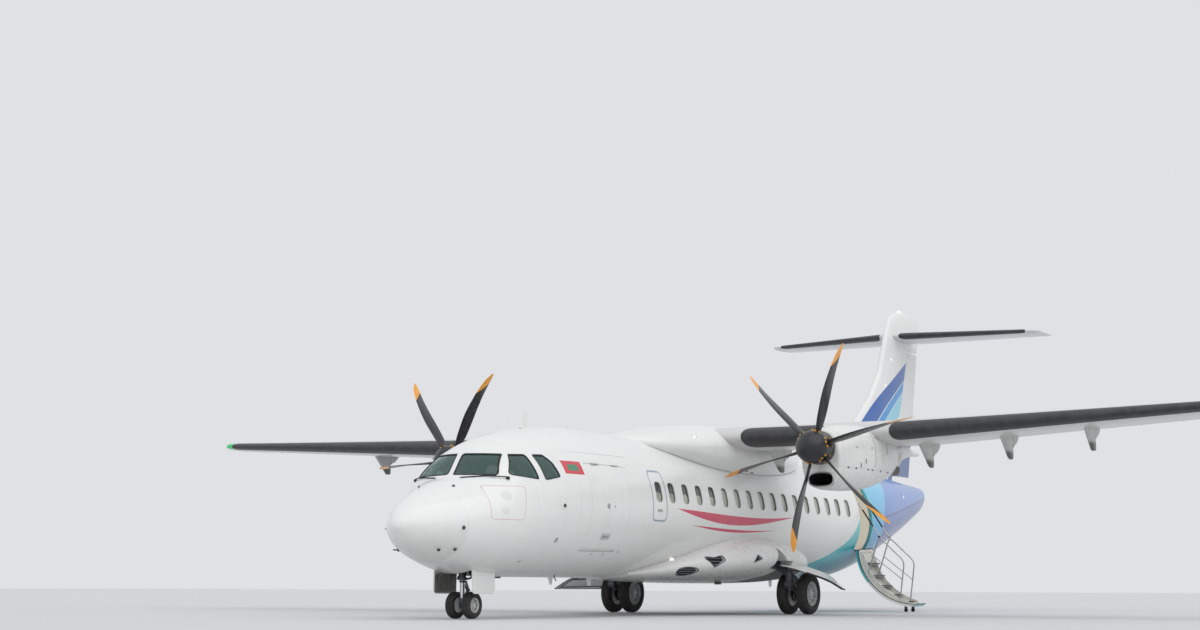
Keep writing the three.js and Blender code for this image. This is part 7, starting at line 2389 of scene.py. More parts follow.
    lining = Shape()
    well_top = 1.249
    for k in range(9):
        s = 1.62 + k * 0.075
        lining.prism([(-0.368, well_top), (0.368, well_top), (0.368, well_top - 0.03),
                      (-0.368, well_top - 0.03)], s, s + 0.01,
                     cross_plane)
    for side in (1, -1):
        lining.prism([(side * 0.3685, 0.9), (side * 0.3685, well_top), (side * 0.362, well_top),
                      (side * 0.362, 0.9)], 1.602, 2.248,
                     cross_plane)
    piece("nose_well_lining", lining, gear_grey)
    for name, side in SIDES.items():
        turned = (lambda shape: shape) if side > 0 else mirror_x
        rings = []
        stations = [1.6, 1.608, 1.62] + list(np.linspace(1.66, 2.19, 9)) + [2.23, 2.242, 2.25]
        for s in stations:
            near = min(s - 1.6, 2.25 - s)
            low = 0.415 + (0.05 * (1 - min(near / 0.06, 1.0)) ** 2)
            high = float(nose_underside(0.39, s)) + 0.012
            skin_out = [(0.398, high), (0.4025, 0.63), (0.4045, 0.55), (0.403, 0.48), (0.398, low + 0.006),
                        (0.391, low)]
            skin_in = [(0.383, low + 0.008), (0.384, 0.48), (0.385, 0.55), (0.383, 0.63), (0.378, high)]
            rings.append([(x, station(s), z) for x, z in skin_out + skin_in])
        door = Shape().loft(rings)
        piece(f"nose_door_skin_{name}", turned(door), smooth_white, stands_for=[f"nose_gear_door_{name}"],
              angle=40)
        ribs = Shape()
        for s in (1.64, 1.71, 1.78, 1.85, 1.92, 1.99, 2.06, 2.13, 2.2):
            ribs.prism([(0.384, 0.45), (0.378, 0.72), (0.368, 0.72), (0.370, 0.47)], s - 0.006, s + 0.006,
                       cross_plane)
        for z in (0.5, 0.57, 0.64):
            ribs.block((0.374, station(1.64), z - 0.005), (0.385, station(2.2), z + 0.005))
        ribs.prism([(0.3835, 0.43), (0.3785, 0.73), (0.3765, 0.73), (0.3815, 0.43)], 1.615, 2.235,
                   cross_plane)
        ribs.tube([(0.368, station(1.62), 0.735), (0.368, station(2.23), 0.735)], 0.009, 10)
        for s in (1.7, 2.12):
            ribs.tube(bent_path([(0.374, station(s), 0.66), (0.31, station(s), 0.75),
                                 (0.355, station(s), 0.95)], 0.06), 0.011, 8)
        piece(f"nose_door_frame_{name}", turned(ribs), door_back)


def make_main_gear():
    axle = (TRACK / 2, station(MAIN_GEAR_STATION), 0.41)
    knee, shoulder, root = (2.05, station(10.28), 0.6), (2.05, station(10.28),
                                                         0.8), (1.45, station(10.3), 1.135)
    leg = Shape()
    leg.tube([root, shoulder], [0.075, 0.066], 24)
    leg.turned([(0, 0.6), (0.06, 0.6), (0.064, 0.66), (0.066, 0.78), (0.07, 0.8), (0.07, 0.85), (0.064, 0.87),
                (0, 0.87)],
               Matrix.Translation((2.05, station(10.28), 0)), 32)
    side_turn = Matrix.Rotation(math.radians(90), 4, "Y")
    leg.turned([(0, -0.075), (0.074, -0.075), (0.088, -0.066), (0.088, 0.066), (0.074, 0.075), (0, 0.075)],
               Matrix.Translation(knee) @ side_turn, 36)
    leg.turned([(0, -0.09), (0.03, -0.09), (0.03, 0.09), (0, 0.09)], Matrix.Translation(knee) @ side_turn, 16)
    leg.tube([knee, (2.05, station(10.45), 0.525), axle], [0.062, 0.056, 0.064], 28)
    boss = [(0.0508, -0.08), (0.07, -0.08), (0.078, -0.072), (0.078, 0.072), (0.07, 0.08), (0.0508, 0.08)]
    leg.turned(boss, Matrix.Translation(axle) @ side_turn, 40, closed=True)
    leg.tube([(1.45, station(9.952), 1.13), (1.45, station(11.398), 1.13)], 0.058, 20)
    strut = Shape()
    low, high = Vector((2.05, station(10.63), 0.47)), Vector((2.05, station(10.31), 0.8))
    way = (high - low).normalized()
    cylinder = low + (high - low) * 0.42
    strut.tube([cylinder, cylinder + way * 0.01, high - way * 0.02, high], [0.04, 0.044, 0.044, 0.04], 28)
    strut.tube([low - Vector((0.05, 0, 0)), low + Vector((0.05, 0, 0))], 0.026, 16)
    strut.tube([high - Vector((0.06, 0, 0)), high + Vector((0.06, 0, 0))], 0.028, 16)
    rod = Shape().tube([low, cylinder + way * 0.02], 0.027, 24)
    pipes = Shape()
    for off in (-0.055, 0.055):
        pipes.tube(smooth_path([(2.05 + off, station(10.3), 0.86), (2.05 + off * 1.5, station(10.26), 0.7),
                                (2.05 + off * 1.4, station(10.33), 0.58),
                                (2.05 + off * 1.2, station(10.5), 0.545),
                                (2.05 + off * 1.1, station(10.62), 0.49)], 6), 0.008, 8)
    brakes = Shape()
    for out in (-1, 1):
        turn = Matrix.Translation((2.05 + out * 0.1, axle[1],
                                   axle[2])) @ Matrix.Rotation(math.radians(90 * out), 4, "Y")
        brakes.turned([(0.079, -0.012), (0.15, -0.012), (0.156, -0.006), (0.156, 0.0), (0.079, 0.0)], turn,
                      40, closed=True)
        for k in range(8):
            angle = 2 * math.pi * k / 8
            spot = turn @ Matrix.Rotation(angle, 4, "Z") @ Matrix.Translation((0.122, 0, -0.022))
            brakes.turned([(0, -0.012), (0.018, -0.012), (0.018, 0.011), (0, 0.011)], spot, 12)
    size = {"radius": 0.41, "rim": 0.235, "width": 0.22, "grooves": 4, "axle": 0.05, "holes": 10}
    for name, side in SIDES.items():
        turned = (lambda shape: shape) if side > 0 else mirror_x
        piece(f"main_leg_casting_{name}", turned(leg), gear_grey, stands_for=[f"main_gear_leg_{name}"],
              angle=40)
        piece(f"main_shock_strut_{name}", turned(strut), gear_pale, angle=40)
        piece(f"main_shock_rod_{name}", turned(rod), chrome, angle=40)
        piece(f"main_brake_pipes_{name}", turned(pipes), seal_black, angle=60)
        piece(f"main_brake_plates_{name}", turned(brakes), dark_steel, angle=40)
        labels = ("outer", "inner") if side > 0 else ("inner", "outer")
        wheel_pair(f"main_{name}", (side * 2.05, MAIN_GEAR_STATION, 0.41), 0.43, size,
                   f"main_wheel_pair_{name}", labels, hub_pale)
    make_gear_doors()


LEG_DOOR = {
    10.05: [(1.96, 0.985), (2.27, 0.925), (2.65, 0.805), (3.0, 0.69), (3.34, 0.505)],
    11.15: [(1.96, 0.985), (2.11, 0.935), (2.33, 0.865), (2.57, 0.76), (2.86, 0.505)],
}


def door_curve(s, count=29):
    """Points of the leg door's outer face across a station, from its hinge to its lower edge."""
    ends = []
    for curve in LEG_DOOR.values():
        path = smooth_path([(x, 0, z) for x, z in curve], 7)
        ends.append([path[round(k * (len(path) - 1) / (count - 1))] for k in range(count)])
    share = (s - 10.05) / 1.1
    return [a.lerp(b, share) for a, b in zip(*ends)]


def make_gear_doors():
    """Curved leg doors with a rubber edge, inner frame and two links."""
    rings, frame_shape, arms, seal = [], Shape(), Shape(), Shape()
    for s in [10.05, 10.056, 10.075] + list(np.linspace(10.14, 11.06, 9)) + [11.125, 11.144, 11.15]:
        thin = 0.5 + 0.5 * min(min(s - 10.05, 11.15 - s) / 0.02, 1.0)
        path = door_curve(s)
        top, bottom = [], []
        for i, p in enumerate(path):
            ahead = (path[min(i + 1, len(path) - 1)] - path[max(i - 1, 0)]).normalized()
            normal = Vector((-ahead.z, 0, ahead.x)) * -1
            normal = normal if normal.z < 0 else -normal
            edge = 0.4 if i in (0, len(path) - 1) else 1.0
            middle = p + normal * 0.015
            top.append(middle - normal * 0.0135 * thin * edge)
            bottom.append(middle + normal * 0.0125 * thin * edge)
        rings.append([(p.x, station(s), p.z) for p in top + bottom[::-1]])
    skin_shape = Shape().loft(rings)
    for s in (10.1, 11.1):
        path = door_curve(s)
        for a, b in zip(path[2:-1:4], path[6:-1:4] + [path[-2]]):
            frame_shape.loft([[(p.x, station(s) + d, p.z - 0.026 + drop) for d,
                               drop in ((-0.012, 0), (0.012, 0), (0.012, -0.02), (-0.012, -0.02))]
                              for p in (a, b)])
    for k in (14, 20, 26):
        ends = [door_curve(s)[k] for s in (10.1, 11.1)]
        frame_shape.tube([(p.x, station(s), p.z - 0.04) for p, s in zip(ends, (10.1, 11.1))], 0.011, 8)
    tips = [door_curve(s)[-1] for s in (10.056, 11.144)]
    frame_shape.tube([(p.x - 0.006, station(s), p.z - 0.012) for p, s in zip(tips, (10.06, 11.14))], 0.013,
                     12)
    frame_shape.tube([(1.975, station(10.06), 0.965), (1.975, station(11.14), 0.965)], 0.016, 12)
    front = door_curve(10.05)
    seal.tube([(p.x, station(10.046), p.z - 0.014) for p in front[12:]], 0.012, 10)
    seal.tube([(p.x + 0.004, station(s), p.z - 0.004) for p, s in zip(tips, (10.052, 11.148))], 0.011, 10)
    for s in (10.2, 11.0):
        held = door_curve(s)[10]
        arms.tube([(held.x, station(s), held.z - 0.03), (2.02, station(s), 0.88), (1.85, station(s), 0.98)],
                  0.014, 10)
        arms.tube([(held.x - 0.05, station(s), held.z - 0.02), (held.x + 0.05, station(s), held.z - 0.04)],
                  0.02, 10)
    for name, side in SIDES.items():
        turned = (lambda shape: shape) if side > 0 else mirror_x
        piece(f"gear_door_skin_{name}", turned(skin_shape), smooth_white,
              stands_for=[f"main_gear_door_{name}"], angle=40)
        piece(f"gear_door_frame_{name}", turned(frame_shape), gear_grey, angle=40)
        piece(f"gear_door_seal_{name}", turned(seal), seal_black, angle=60)
        piece(f"gear_door_arms_{name}", turned(arms), gear_grey, angle=50)


# Airstair, drawn closed about its hinge line and turned open
STAIR_HINGE = Vector((1.2782, 0.0, 1.361))
STAIR_CHORD = math.radians(104.4)
STAIR_MIDDLE = 15.675
STAIR_SPREAD = 0.302
STAIR_TURN = Matrix.Translation(STAIR_HINGE) @ Matrix.Rotation(STAIR_OPEN_ANGLE, 4,
                                                               "Y") @ Matrix.Translation(-STAIR_HINGE)
tread_grey = plain("tread rubber", "black_panel", srgb(58, 60, 64), roughness=0.75, relief=0.0012,
                   scale=160.0, mottle=0.3)
stair_alloy = metal("handrail tube", "bare_steel", srgb(186, 188, 190), roughness=0.28, grain=(8, 8, 1))
stair_panel = plain("stair panel", "white_paint", srgb(206, 204, 196), roughness=0.45, mottle=0.25)


def stair_point(along, off, s):
    c, d = math.cos(STAIR_CHORD), math.sin(STAIR_CHORD)
    return Vector((STAIR_HINGE.x + along * c - off * d, station(s), STAIR_HINGE.z + along * d + off * c))


def skin_x(s, z):
    return float(skin_side(s, z)[0])


def make_airstair():
    door = PASSENGER_DOOR
    body = "airstair"
    outline = rounded_box(door["front"] + 0.008, door["rear"] - 0.008, door["sill"] + 0.008,
                          door["top"] - 0.008, 0.07)
    piece("airstair_skin", patch(outline, on_port, 0.0, 0.05, 9), tail_blue, body, ["airstair_door"],
          angle=50, turn=STAIR_TURN)
    inner = rounded_box(door["front"] + 0.03, door["rear"] - 0.03, door["sill"] + 0.03, door["top"] - 0.03,
                        0.06)
    lining = Shape()
    lining.take(rim(inner, grown(inner, -0.045), on_port, 0.0505, 0.068, -0.004))
    lining.take(patch(grown(inner, -0.045), on_port, 0.0505, 0.056, 6))
    piece("airstair_lining", lining, stair_panel, body, angle=50, turn=STAIR_TURN)
    seal = rim(grown(outline, -0.004), grown(outline, -0.016), on_port, 0.047, 0.066, -0.003)
    piece("airstair_seal", seal, seal_black, body, angle=50, turn=STAIR_TURN)

    ahead = Vector((math.cos(STAIR_OPEN_ANGLE), 0, math.sin(STAIR_OPEN_ANGLE)))
    up = Vector((-math.sin(STAIR_OPEN_ANGLE), 0, math.cos(STAIR_OPEN_ANGLE)))
    treads, mats, noses = Shape(), Shape(), Shape()
    half = 0.288
    for i in range(1, 6):
        z = door["sill"] + 0.29 * i
        start = Vector((skin_x(STAIR_MIDDLE, z) - 0.03, 0, z))
        profile = [(0.015, -0.012), (0.015, 0.010), (0.205, 0.010), (0.217, 0.006), (0.222, -0.002),
                   (0.219, -0.014), (0.205, -0.022), (0.19, -0.016), (0.03, -0.012)]
        treads.loft([[start + ahead * a + up * b + Vector((0, station(s), 0)) for a,
                      b in profile] for s in (STAIR_MIDDLE - half, STAIR_MIDDLE + half)])
        mat_line = [(0.02, 0.0105), (0.02, 0.0145), (0.192, 0.0145), (0.192, 0.0105)]
        mats.loft([[start + ahead * a + up * b + Vector((0, station(s), 0)) for a,
                    b in mat_line] for s in (STAIR_MIDDLE - half + 0.02, STAIR_MIDDLE + half - 0.02)])
        for k in range(9):
            a = 0.03 + k * 0.019
            rib = [(a, 0.0145), (a + 0.002, 0.0175), (a + 0.007, 0.0175), (a + 0.009, 0.0145)]
            mats.loft([[start + ahead * p + up * q + Vector((0, station(s), 0)) for p,
                        q in rib] for s in (STAIR_MIDDLE - half + 0.03, STAIR_MIDDLE + half - 0.03)])
        edge = [(0.196, 0.0102), (0.196, 0.0135), (0.212, 0.0125), (0.2235, 0.002), (0.2225, -0.006),
                (0.219, -0.004), (0.216, 0.006), (0.21, 0.0102)]
        noses.loft([[start + ahead * p + up * q + Vector((0, station(s), 0)) for p,
                     q in edge] for s in (STAIR_MIDDLE - half, STAIR_MIDDLE + half)])
        for s in (STAIR_MIDDLE - 0.2, STAIR_MIDDLE + 0.2):
            web = [(0.06, -0.012), (0.15, -0.012), (0.075, -0.04)]
            treads.loft([[start + ahead * p + up * q + Vector((0, station(s + d), 0)) for p,
                          q in web] for d in (-0.006, 0.006)])
    piece("airstair_treads", treads, alloy, body, angle=40, turn=STAIR_TURN)
    piece("airstair_mats", mats, tread_grey, body, angle=40, turn=STAIR_TURN)
    piece("airstair_nosings", noses, seal_black, body, angle=40, turn=STAIR_TURN)

    cheeks, tubes, pads = Shape(), Shape(), Shape()
    heights = [1.465, 1.6, 1.775, 1.975, 2.175, 2.375, 2.575, 2.75, 2.855, 2.95, 3.015]
    for s in (STAIR_MIDDLE - STAIR_SPREAD, STAIR_MIDDLE + STAIR_SPREAD):
        outer = [(skin_x(STAIR_MIDDLE, z) - 0.03, z) for z in heights]
        inner_edge = [(x - 0.15 * (0.55 if k in (0, len(outer) - 1) else 1.0), z) for k,
                      (x, z) in enumerate(outer)]
        rings = []
        for d, off in ((-0.0125, 0.004), (-0.009, 0.0), (0.009, 0.0), (0.0125, 0.004)):
            rings.append([(x, station(s + d), z) for x,
                          z in outer] + [(x + off, station(s + d), z) for x, z in reversed(inner_edge)])
        cheeks.loft(rings)
        path = [stair_point(a, b, s) for a, b in ((1.56, -0.17), (1.02, 0.6), (0.215, 0.6), (0.56, -0.17))]
        tubes.tube(bent_path(path, 0.12, 8), 0.015, 16)
        for a, b in ((1.56, -0.17), (0.56, -0.17)):
            foot = stair_point(a, b + 0.02, s)
            tubes.tube([stair_point(a, b, s), foot], 0.024, 16)
        between = [stair_point(1.25, 0.27, s), stair_point(0.40, 0.19, s)]
        tubes.tube(between, 0.011, 12)
        pivot = stair_point(0.215, 0.6, s)
        pads.tube([pivot - Vector((0, 0.0175, 0)), pivot + Vector((0, 0.0175, 0))], 0.026, 24)
        pads.tube([pivot - Vector((0, 0.019, 0)), pivot - Vector((0, 0.0175, 0))], 0.012, 6)
    piece("airstair_cheeks", cheeks, stair_panel, body, angle=40, turn=STAIR_TURN)
    piece("airstair_rails", tubes, stair_alloy, body, angle=50, turn=STAIR_TURN)
    piece("airstair_rail_joints", pads, dark_steel, body, angle=40, turn=STAIR_TURN)

    hinge = Shape()
    hinge.tube([(STAIR_HINGE.x, station(15.45), STAIR_HINGE.z),
                (STAIR_HINGE.x, station(15.9), STAIR_HINGE.z)], 0.016, 20)
    for s in (15.45, 15.86):
        skin_here = skin_x(s + 0.02, door["sill"])
        arm = [(STAIR_HINGE.x - 0.01, STAIR_HINGE.z - 0.008), (STAIR_HINGE.x + 0.01, STAIR_HINGE.z - 0.008),
               (STAIR_HINGE.x + 0.01, STAIR_HINGE.z + 0.04),
               (skin_here - 0.02, door["sill"] + 0.09), (skin_here - 0.03, door["sill"] + 0.06),
               (skin_here - 0.005, door["sill"] + 0.024)]
        hinge.prism(arm, s, s + 0.04, cross_plane)
    piece("airstair_hinge", hinge, dark_steel, body, angle=40, turn=STAIR_TURN)
    feet = Shape()
    brackets = Shape()
    for s in (15.47, 15.88):
        turn = Matrix.Translation((2.415, station(s), 0.044)) @ Matrix.Rotation(math.radians(90), 4, "X")
        feet.turned([(0, -0.018), (0.036, -0.018), (0.043, -0.012), (0.043, 0.012), (0.036, 0.018),
                     (0, 0.018)], turn, 28)
        brackets.prism([(2.40, 0.04), (2.43, 0.04), (2.445, 0.115), (2.385, 0.125)], s - 0.027, s - 0.021,
                       cross_plane)
        brackets.prism([(2.40, 0.04), (2.43, 0.04), (2.445, 0.115), (2.385, 0.125)], s + 0.021, s + 0.027,
                       cross_plane)
        brackets.tube([(2.415, station(s - 0.03), 0.044), (2.415, station(s + 0.03), 0.044)], 0.008, 10)
    piece("airstair_rollers", feet, seal_black, body, angle=40)
    piece("airstair_roller_brackets", brackets, dark_steel, body, angle=40)

    for name, s, way in (("front", STAIR_MIDDLE - STAIR_SPREAD, 1),
                         ("rear", STAIR_MIDDLE + STAIR_SPREAD, -1)):
        at = s + 0.036 * way
        foot, top = stair_point(0.215, 0.6, at), stair_point(-0.67, 0.82, at)
        rail = Shape().tube([foot, foot + (top - foot) * 0.5, top], 0.015, 18)
        rail.tube([foot - Vector((0, 0.017, 0)), foot + Vector((0, 0.017, 0))], 0.026, 24)
        way_up = (top - foot).normalized()
        rail.tube([top - way_up * 0.03, top - way_up * 0.004, top], [0.019, 0.019, 0.016], 18)
        piece(f"upper_handrail_tube_{name}", rail, stair_alloy, f"upper_handrail_{name}",
              [f"handrail_{name}"], angle=50, turn=STAIR_TURN)
        grip = Shape().tube([foot + (top - foot) * 0.3, foot + (top - foot) * 0.8], 0.0175, 18)
        piece(f"upper_handrail_grip_{name}", grip, seal_black, f"upper_handrail_{name}", angle=50,
              turn=STAIR_TURN)
    lugs = Shape()
    for s0, s1 in ((15.4185, 15.4485), (15.9015, 15.9315)):
        outline = [(STAIR_HINGE.x - 0.12, STAIR_HINGE.z - 0.024),
                   (STAIR_HINGE.x + 0.008, STAIR_HINGE.z - 0.022),
                   (STAIR_HINGE.x + 0.018, STAIR_HINGE.z - 0.01),
                   (STAIR_HINGE.x + 0.018, STAIR_HINGE.z + 0.002),
                   (STAIR_HINGE.x + 0.01, STAIR_HINGE.z + 0.006),
                   (STAIR_HINGE.x - 0.12, STAIR_HINGE.z + 0.006)]
        lugs.prism(outline, s0, s1, cross_plane)
    piece("airstair_lugs", lugs, dark_steel)


lit_cream = plain("lit cabin lining", "white_paint", srgb(222, 218, 206), roughness=0.55, mottle=0.1)
# Painted light: the lining glows a little of its own, standing in for the lit cabin.
lit_cream.shader.inputs["Emission Color"].default_value = srgb(232, 226, 212)
lit_cream.shader.inputs["Emission Strength"].default_value = 0.3


def make_vestibule():
    door = PASSENGER_DOOR
    panel = mesh_object("vestibule_lining", hull_shell(14.7, 16.95, 0.0715, 0.008, 96))
    room = patch(rounded_box(door["front"] - 0.01, door["rear"] + 0.01, door["sill"] - 0.01,
                             door["top"] + 0.01, 0.07), on_port, -0.1, 0.4, 4)
    carve(panel, room)
    dress(panel, lit_cream)
    frame_shape = rim(rounded_box(door["front"], door["rear"], door["sill"], door["top"], 0.07),
                      rounded_box(door["front"] + 0.006, door["rear"] - 0.006, door["sill"] + 0.004,
                                  door["top"] - 0.006, 0.064), on_port, 0.052, 0.0715)
    piece("doorway_seal", frame_shape, seal_grey, angle=50)
    floor = Shape()
    wide = [float(skin_side(s, FLOOR_TOP + 0.006, 0.082)[0]) for s in (14.75, 15.4, 16.0, 16.6, 16.9)]
    rows = list(zip((14.75, 15.4, 16.0, 16.6, 16.9), wide))
    floor.loft([[(-w, station(s), FLOOR_TOP + 0.0005), (w, station(s), FLOOR_TOP + 0.0005),
                 (w, station(s), FLOOR_TOP + 0.006), (-w, station(s), FLOOR_TOP + 0.006)]
                for s, w in rows])
    piece("vestibule_floor", floor, tread_grey)
    walls, dark = Shape(), Shape()
    for s0, s1 in ((14.76, 14.79), (16.62, 16.65)):
        ring = []
        for angle in np.linspace(0, 2 * math.pi, 64, endpoint=False):
            p = skin(s0, angle, 0.081)
            ring.append((float(p[0]), s0, max(float(p[2]), FLOOR_TOP + 0.007)))
        walls.loft([[(x, station(s0), z) for x, _, z in ring], [(x, station(s1), z) for x, _, z in ring]])
    # Painted shade: flat near-black panels on the bulkheads stand in for the unlit doorways beyond.
    dark.prism(rounded_box(-0.36, 0.36, FLOOR_TOP + 0.012, 3.05, 0.1), 14.788, 14.796, cross_plane)
    dark.prism(rounded_box(-0.32, 0.32, FLOOR_TOP + 0.02, 2.9, 0.08), 16.612, 16.621, cross_plane)
    piece("vestibule_bulkheads", walls, lit_cream)
    piece("vestibule_doorways", dark, dark_inside)
    galley = Shape()
    for z0, z1 in ((1.37, 2.05), (2.07, 2.5), (2.52, 2.95)):
        galley.prism(rounded_box(-1.15, -0.5, z0, z1, 0.03), 15.2, 16.0, cross_plane)
    piece("vestibule_cupboards", galley, stair_panel, edge=0.01)
    latches = Shape()
    for z in (1.95, 2.2, 2.6):
        latches.tube(bent_path([(-0.498, station(15.5), z), (-0.47, station(15.5), z),
                                (-0.47, station(15.7), z), (-0.498, station(15.7), z)], 0.02), 0.007, 8)
    piece("vestibule_handles", latches, chrome)
    lamps = Shape().turned([(0, -0.01), (0.05, -0.01), (0.05, 0.0), (0, 0.0)],
                           Matrix.Translation((0.35, station(15.67), 3.24)), 24)
    piece("vestibule_lamp", lamps, clear_lens)


# Aerials, probes and lamps on the skin
def blade_aerial(s, height, chord, x=0.0, under=False, sweep=0.35, thick=0.012):
    """Swept blade on its oval foot, standing on the crown or hanging from the belly."""
    way = -1 if under else 1
    base = float(HULL(s, 2)) if under else float(HULL(s, 1))
    rings = []
    for t in np.linspace(0, 1, 7):
        length = chord * (1 - 0.45 * t)
        front = s - chord / 2 + sweep * height * t
        z = base + way * (-0.012 + (height + 0.012) * t)
        half = thick * (1 - 0.55 * t)
        ring = []
        for k in range(20):
            angle = 2 * math.pi * k / 20
            side = x + half * math.sin(angle) * (0.6 + 0.4 * math.cos(angle) ** 2)
            ring.append((side, station(front + length * (1 - math.cos(angle)) / 2), z))
        rings.append(ring)
    shape = Shape().loft(rings)
    foot = []
    for off, grow in ((-0.01, 1.16), (0.004, 1.12), (0.008, 1.0)):
        foot.append([(x + 0.03 * grow * math.sin(2 * math.pi * k / 24),
                      station(s + (chord / 2 + 0.03) * grow * math.cos(2 * math.pi * k / 24)),
                      base + way * off) for k in range(24)])
    return shape.loft(foot)


def lens_on(place, out, radius, height):
    """Domed lens on a bezel ring whose axis points out of the skin."""
    turn = facing(place, out)
    bezel = Shape().turned([(radius * 0.92, -0.01), (radius * 1.22, -0.01), (radius * 1.22, 0.004),
                            (radius * 1.08, 0.008), (radius * 0.92, 0.006)], turn, 32, closed=True)
    dome = [(0, -0.008), (radius, -0.008), (radius, 0.002)]
    dome += [(radius * math.cos(a),
              0.002 + height * math.sin(a)) for a in np.linspace(0.2, math.pi / 2 - 0.05,
                                                                 7)] + [(0, 0.002 + height)]
    return bezel, Shape().turned(dome, turn, 32)


def probe(place, out, arm=0.05, length=0.10, radius=0.008):
    """Air data probe: oval foot plate, short mast and a tube that points forward."""
    place, out = Vector([float(c) for c in place]), Vector(out).normalized()
    turn = facing(place, out)
    shape = Shape().turned([(0, -0.01), (0.034, -0.01), (0.034, 0.003), (0.028, 0.006), (0, 0.006)], turn, 24)
    elbow = place + out * arm
    path = smooth_path([place, place + out * arm * 0.7, elbow + Vector((0, -0.02, 0)),
                        elbow + Vector((0, -length, 0))], 5)
    shape.tube(path, [radius * 1.7 - (radius * 0.9) * k / (len(path) - 1) for k in range(len(path))], 12)
    return shape


def make_small_items():
    aerials = Shape()
    for s, height, chord in ((3.71, 0.28, 0.24), (5.15, 0.06, 0.16), (14.2, 0.22, 0.22)):
        aerials.take(blade_aerial(s, height, chord))
    for s, height, chord in ((4.62, 0.13, 0.16), (5.95, 0.15, 0.20), (13.6, 0.16, 0.2)):
        aerials.take(blade_aerial(s, height, chord, under=True))
    piece("aerial_blades", aerials, smooth_white, angle=50)
    domes = Shape()
    for s in (4.6, 13.3):
        domes.turned([(0, -0.01), (0.09, -0.01), (0.088, 0.006), (0.07, 0.016), (0.04, 0.022), (0, 0.024)],
                     Matrix.Translation((0, station(s), float(HULL(s, 1)))), 36)
    piece("aerial_domes", domes, stair_panel, angle=50)
    probes, plates, leaf_plates = Shape(), Shape(), Shape()
    for side in (1, -1):
        for s, z in ((2.94, 1.9), (0.84, 1.48), (0.62, 1.13), (0.85, 1.14)):
            foot = skin_side(s, z, 0.0, side)
            probes.take(probe(foot, (side, -0.25, -0.15), arm=0.038, length=0.085))
        foot = skin_side(1.09, 2.17, 0.0, side)
        turn = facing(foot, (side, -0.8, 0.5))
        probes.turned([(0, -0.008), (0.03, -0.008), (0.03, 0.004), (0.012, 0.006), (0.009, 0.03), (0, 0.032)],
                      turn, 20)
        for s, z, r in ((4.28, 1.94, 0.05), (4.5, 1.94, 0.02), (2.92, 1.32, 0.045), (4.3, 1.11, 0.02),
                        (4.71, 1.11, 0.02), (5.15, 1.16, 0.02), (2.36, 0.955, 0.025)):
            lay = on_port if side > 0 else on_starboard
            ring = [(s + r * math.cos(2 * math.pi * k / 24),
                     z + r * math.sin(2 * math.pi * k / 24)) for k in range(24)]
            on_leaf = side > 0 and CARGO_DOOR["front"] < s < CARGO_DOOR["rear"] and z - r > CARGO_DOOR["sill"]
            held = leaf_plates if on_leaf else plates
            held.take(patch(ring, lay, -0.002, 0.004, 2))
            small = [(s + r * 0.22 * math.cos(2 * math.pi * k / 12),
                      z + r * 0.22 * math.sin(2 * math.pi * k / 12)) for k in range(12)]
            held.take(rim(grown(small, 0.003), small, lay, -0.0035, 0.003))
    piece("nose_probes", probes, dark_steel, angle=50)
    piece("static_port_plates", plates, alloy, angle=50)
    piece("cargo_door_plates", leaf_plates, alloy, "cargo_door_leaf", angle=50)
    bezels, lenses, reds = Shape(), Shape(), Shape()
    for side in (1, -1):
        for place, out, r in ((on_form(POD, POD_POWER, 7.27, 1.04, 0.0, side), (side * 0.8, -0.8, -0.1),
                               0.05),
                              (skin_side(19.36, 2.725, 0.0, side), (side, 0.2, 0.0), 0.04),
                              (on_form(SADDLE, SADDLE_POWER, 8.05, 3.42, 0.0, side), (side * 0.7, -0.7, 0.1),
                               0.035)):
            bezel, dome = lens_on(place, out, r, 0.016)
            bezels.take(bezel)
            lenses.take(dome)
    bezel, dome = lens_on((0, station(7.05), float(HULL(7.05, 1))), (0, 0, 1), 0.05, 0.045)
    bezels.take(bezel)
    reds.take(dome)
    bezel, dome = lens_on((0, station(22.655), 2.88), (0, 1, 0.02), 0.03, 0.012)
    bezels.take(bezel)
    lenses.take(dome)
    piece("lamp_bezels", bezels, alloy, angle=50)
    piece("white_lamp_lenses", lenses, clear_lens, angle=50)
    piece("red_lamp_lenses", reds, red_lens, angle=50)
    masts = Shape()
    for s, x in ((4.2, 0.35), (13.1, -0.3), (14.4, 0.3)):
        z = float(skin(s, math.pi - 0.25 * (1 if x > 0 else -1))[2])
        masts.tube([(x, station(s), z + 0.02), (x, station(s + 0.01), z - 0.05),
                    (x, station(s + 0.06), z - 0.1)], [0.016, 0.013, 0.01], 12)
    piece("drain_masts", masts, gear_pale, angle=50)


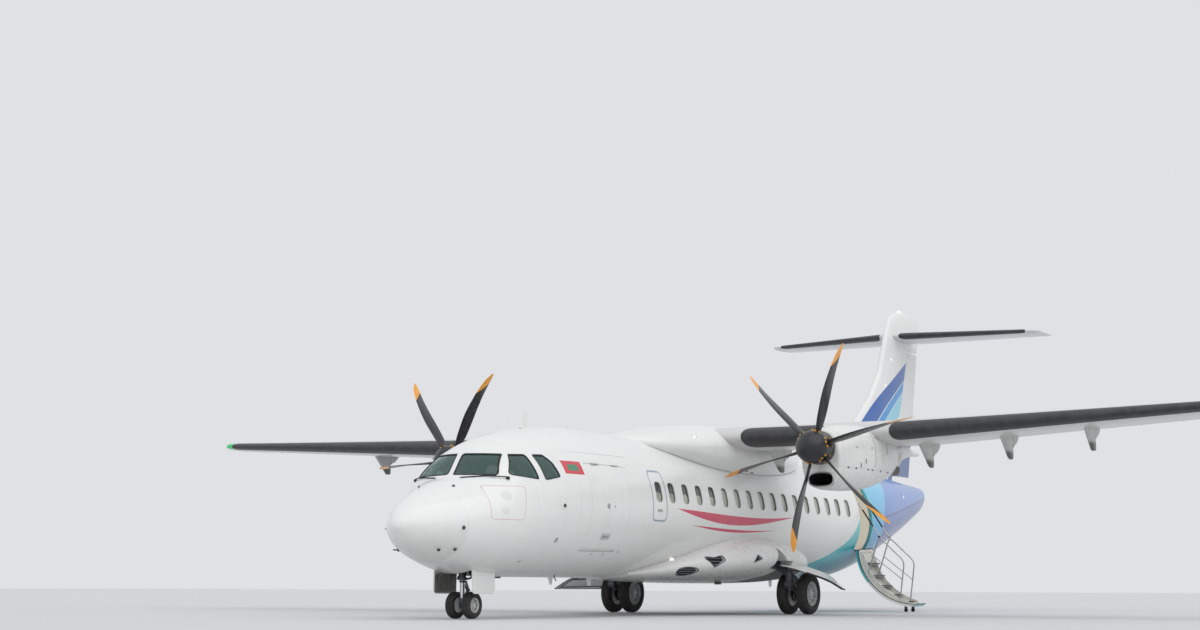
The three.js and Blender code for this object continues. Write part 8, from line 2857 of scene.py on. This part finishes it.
# Camera, floor and light
def make_camera():
    """Camera fitted to the photo's view: place in metres, angles in radians."""
    place, yaw, pitch, roll = (18.765, -36.171, 0.555), 0.542, 0.14, 0.003
    ahead = Vector((-math.sin(yaw) * math.cos(pitch), math.cos(yaw) * math.cos(pitch), math.sin(pitch)))
    right = Vector((math.cos(yaw), math.sin(yaw), 0.0))
    up = right.cross(ahead)
    across = math.cos(roll) * right + math.sin(roll) * up
    rise = -math.sin(roll) * right + math.cos(roll) * up
    data = bpy.data.cameras.new("photo_camera")
    data.sensor_width = 36.0
    data.lens = 57.64
    data.clip_end = 400.0
    camera = bpy.data.objects.new("photo_camera", data)
    turn = Matrix((across, rise, -ahead)).transposed()
    camera.matrix_world = Matrix.Translation(place) @ turn.to_4x4()
    bpy.context.scene.collection.objects.link(camera)
    bpy.context.scene.camera = camera


def make_stage():
    """Pale floor, even sky and two wide soft suns."""
    floor = mesh_object("studio_floor",
                        Shape().loft([[(-160, -160, -0.004), (160, -160, -0.004), (160, 160, -0.004),
                                       (-160, 160, -0.004)]], ends=(True, False)))
    tone = Finish("studio floor", "white_paint", roughness=0.7)
    tone.done(tone.mix(tone.ramp(tone.noise(0.3, 2.0, 0.5), 0.3, 0.7, 0.0, 0.2), srgb(206, 207, 208),
                       srgb(198, 199, 200)))
    floor.data.materials.append(tone.material)
    world = bpy.data.worlds.new("studio")
    world.use_nodes = True
    world.node_tree.nodes["Background"].inputs["Color"].default_value = srgb(234, 236, 239)
    world.node_tree.nodes["Background"].inputs["Strength"].default_value = 0.9
    bpy.context.scene.world = world
    bpy.context.scene.view_settings.view_transform = "Standard"
    for name, angle, tilt, strength, spread in (("key", 62, 40, 1.0, 75), ("fill", -50, 60, 0.25, 90)):
        data = bpy.data.lights.new(name, "SUN")
        data.energy = strength
        data.angle = math.radians(spread)
        light = bpy.data.objects.new(name, data)
        light.rotation_euler = (math.radians(tilt), 0, math.radians(angle))
        bpy.context.scene.collection.objects.link(light)


make_camera()
make_stage()
make_hull()
make_cabin_windows()
make_exits()
make_windscreen()
make_cockpit()
make_cargo_bay()
make_wing()
make_fairings()
make_nacelles()
make_propellers()
make_fin()
make_tailplane()
make_nose_gear()
make_main_gear()
make_vestibule()
make_airstair()
make_small_items()
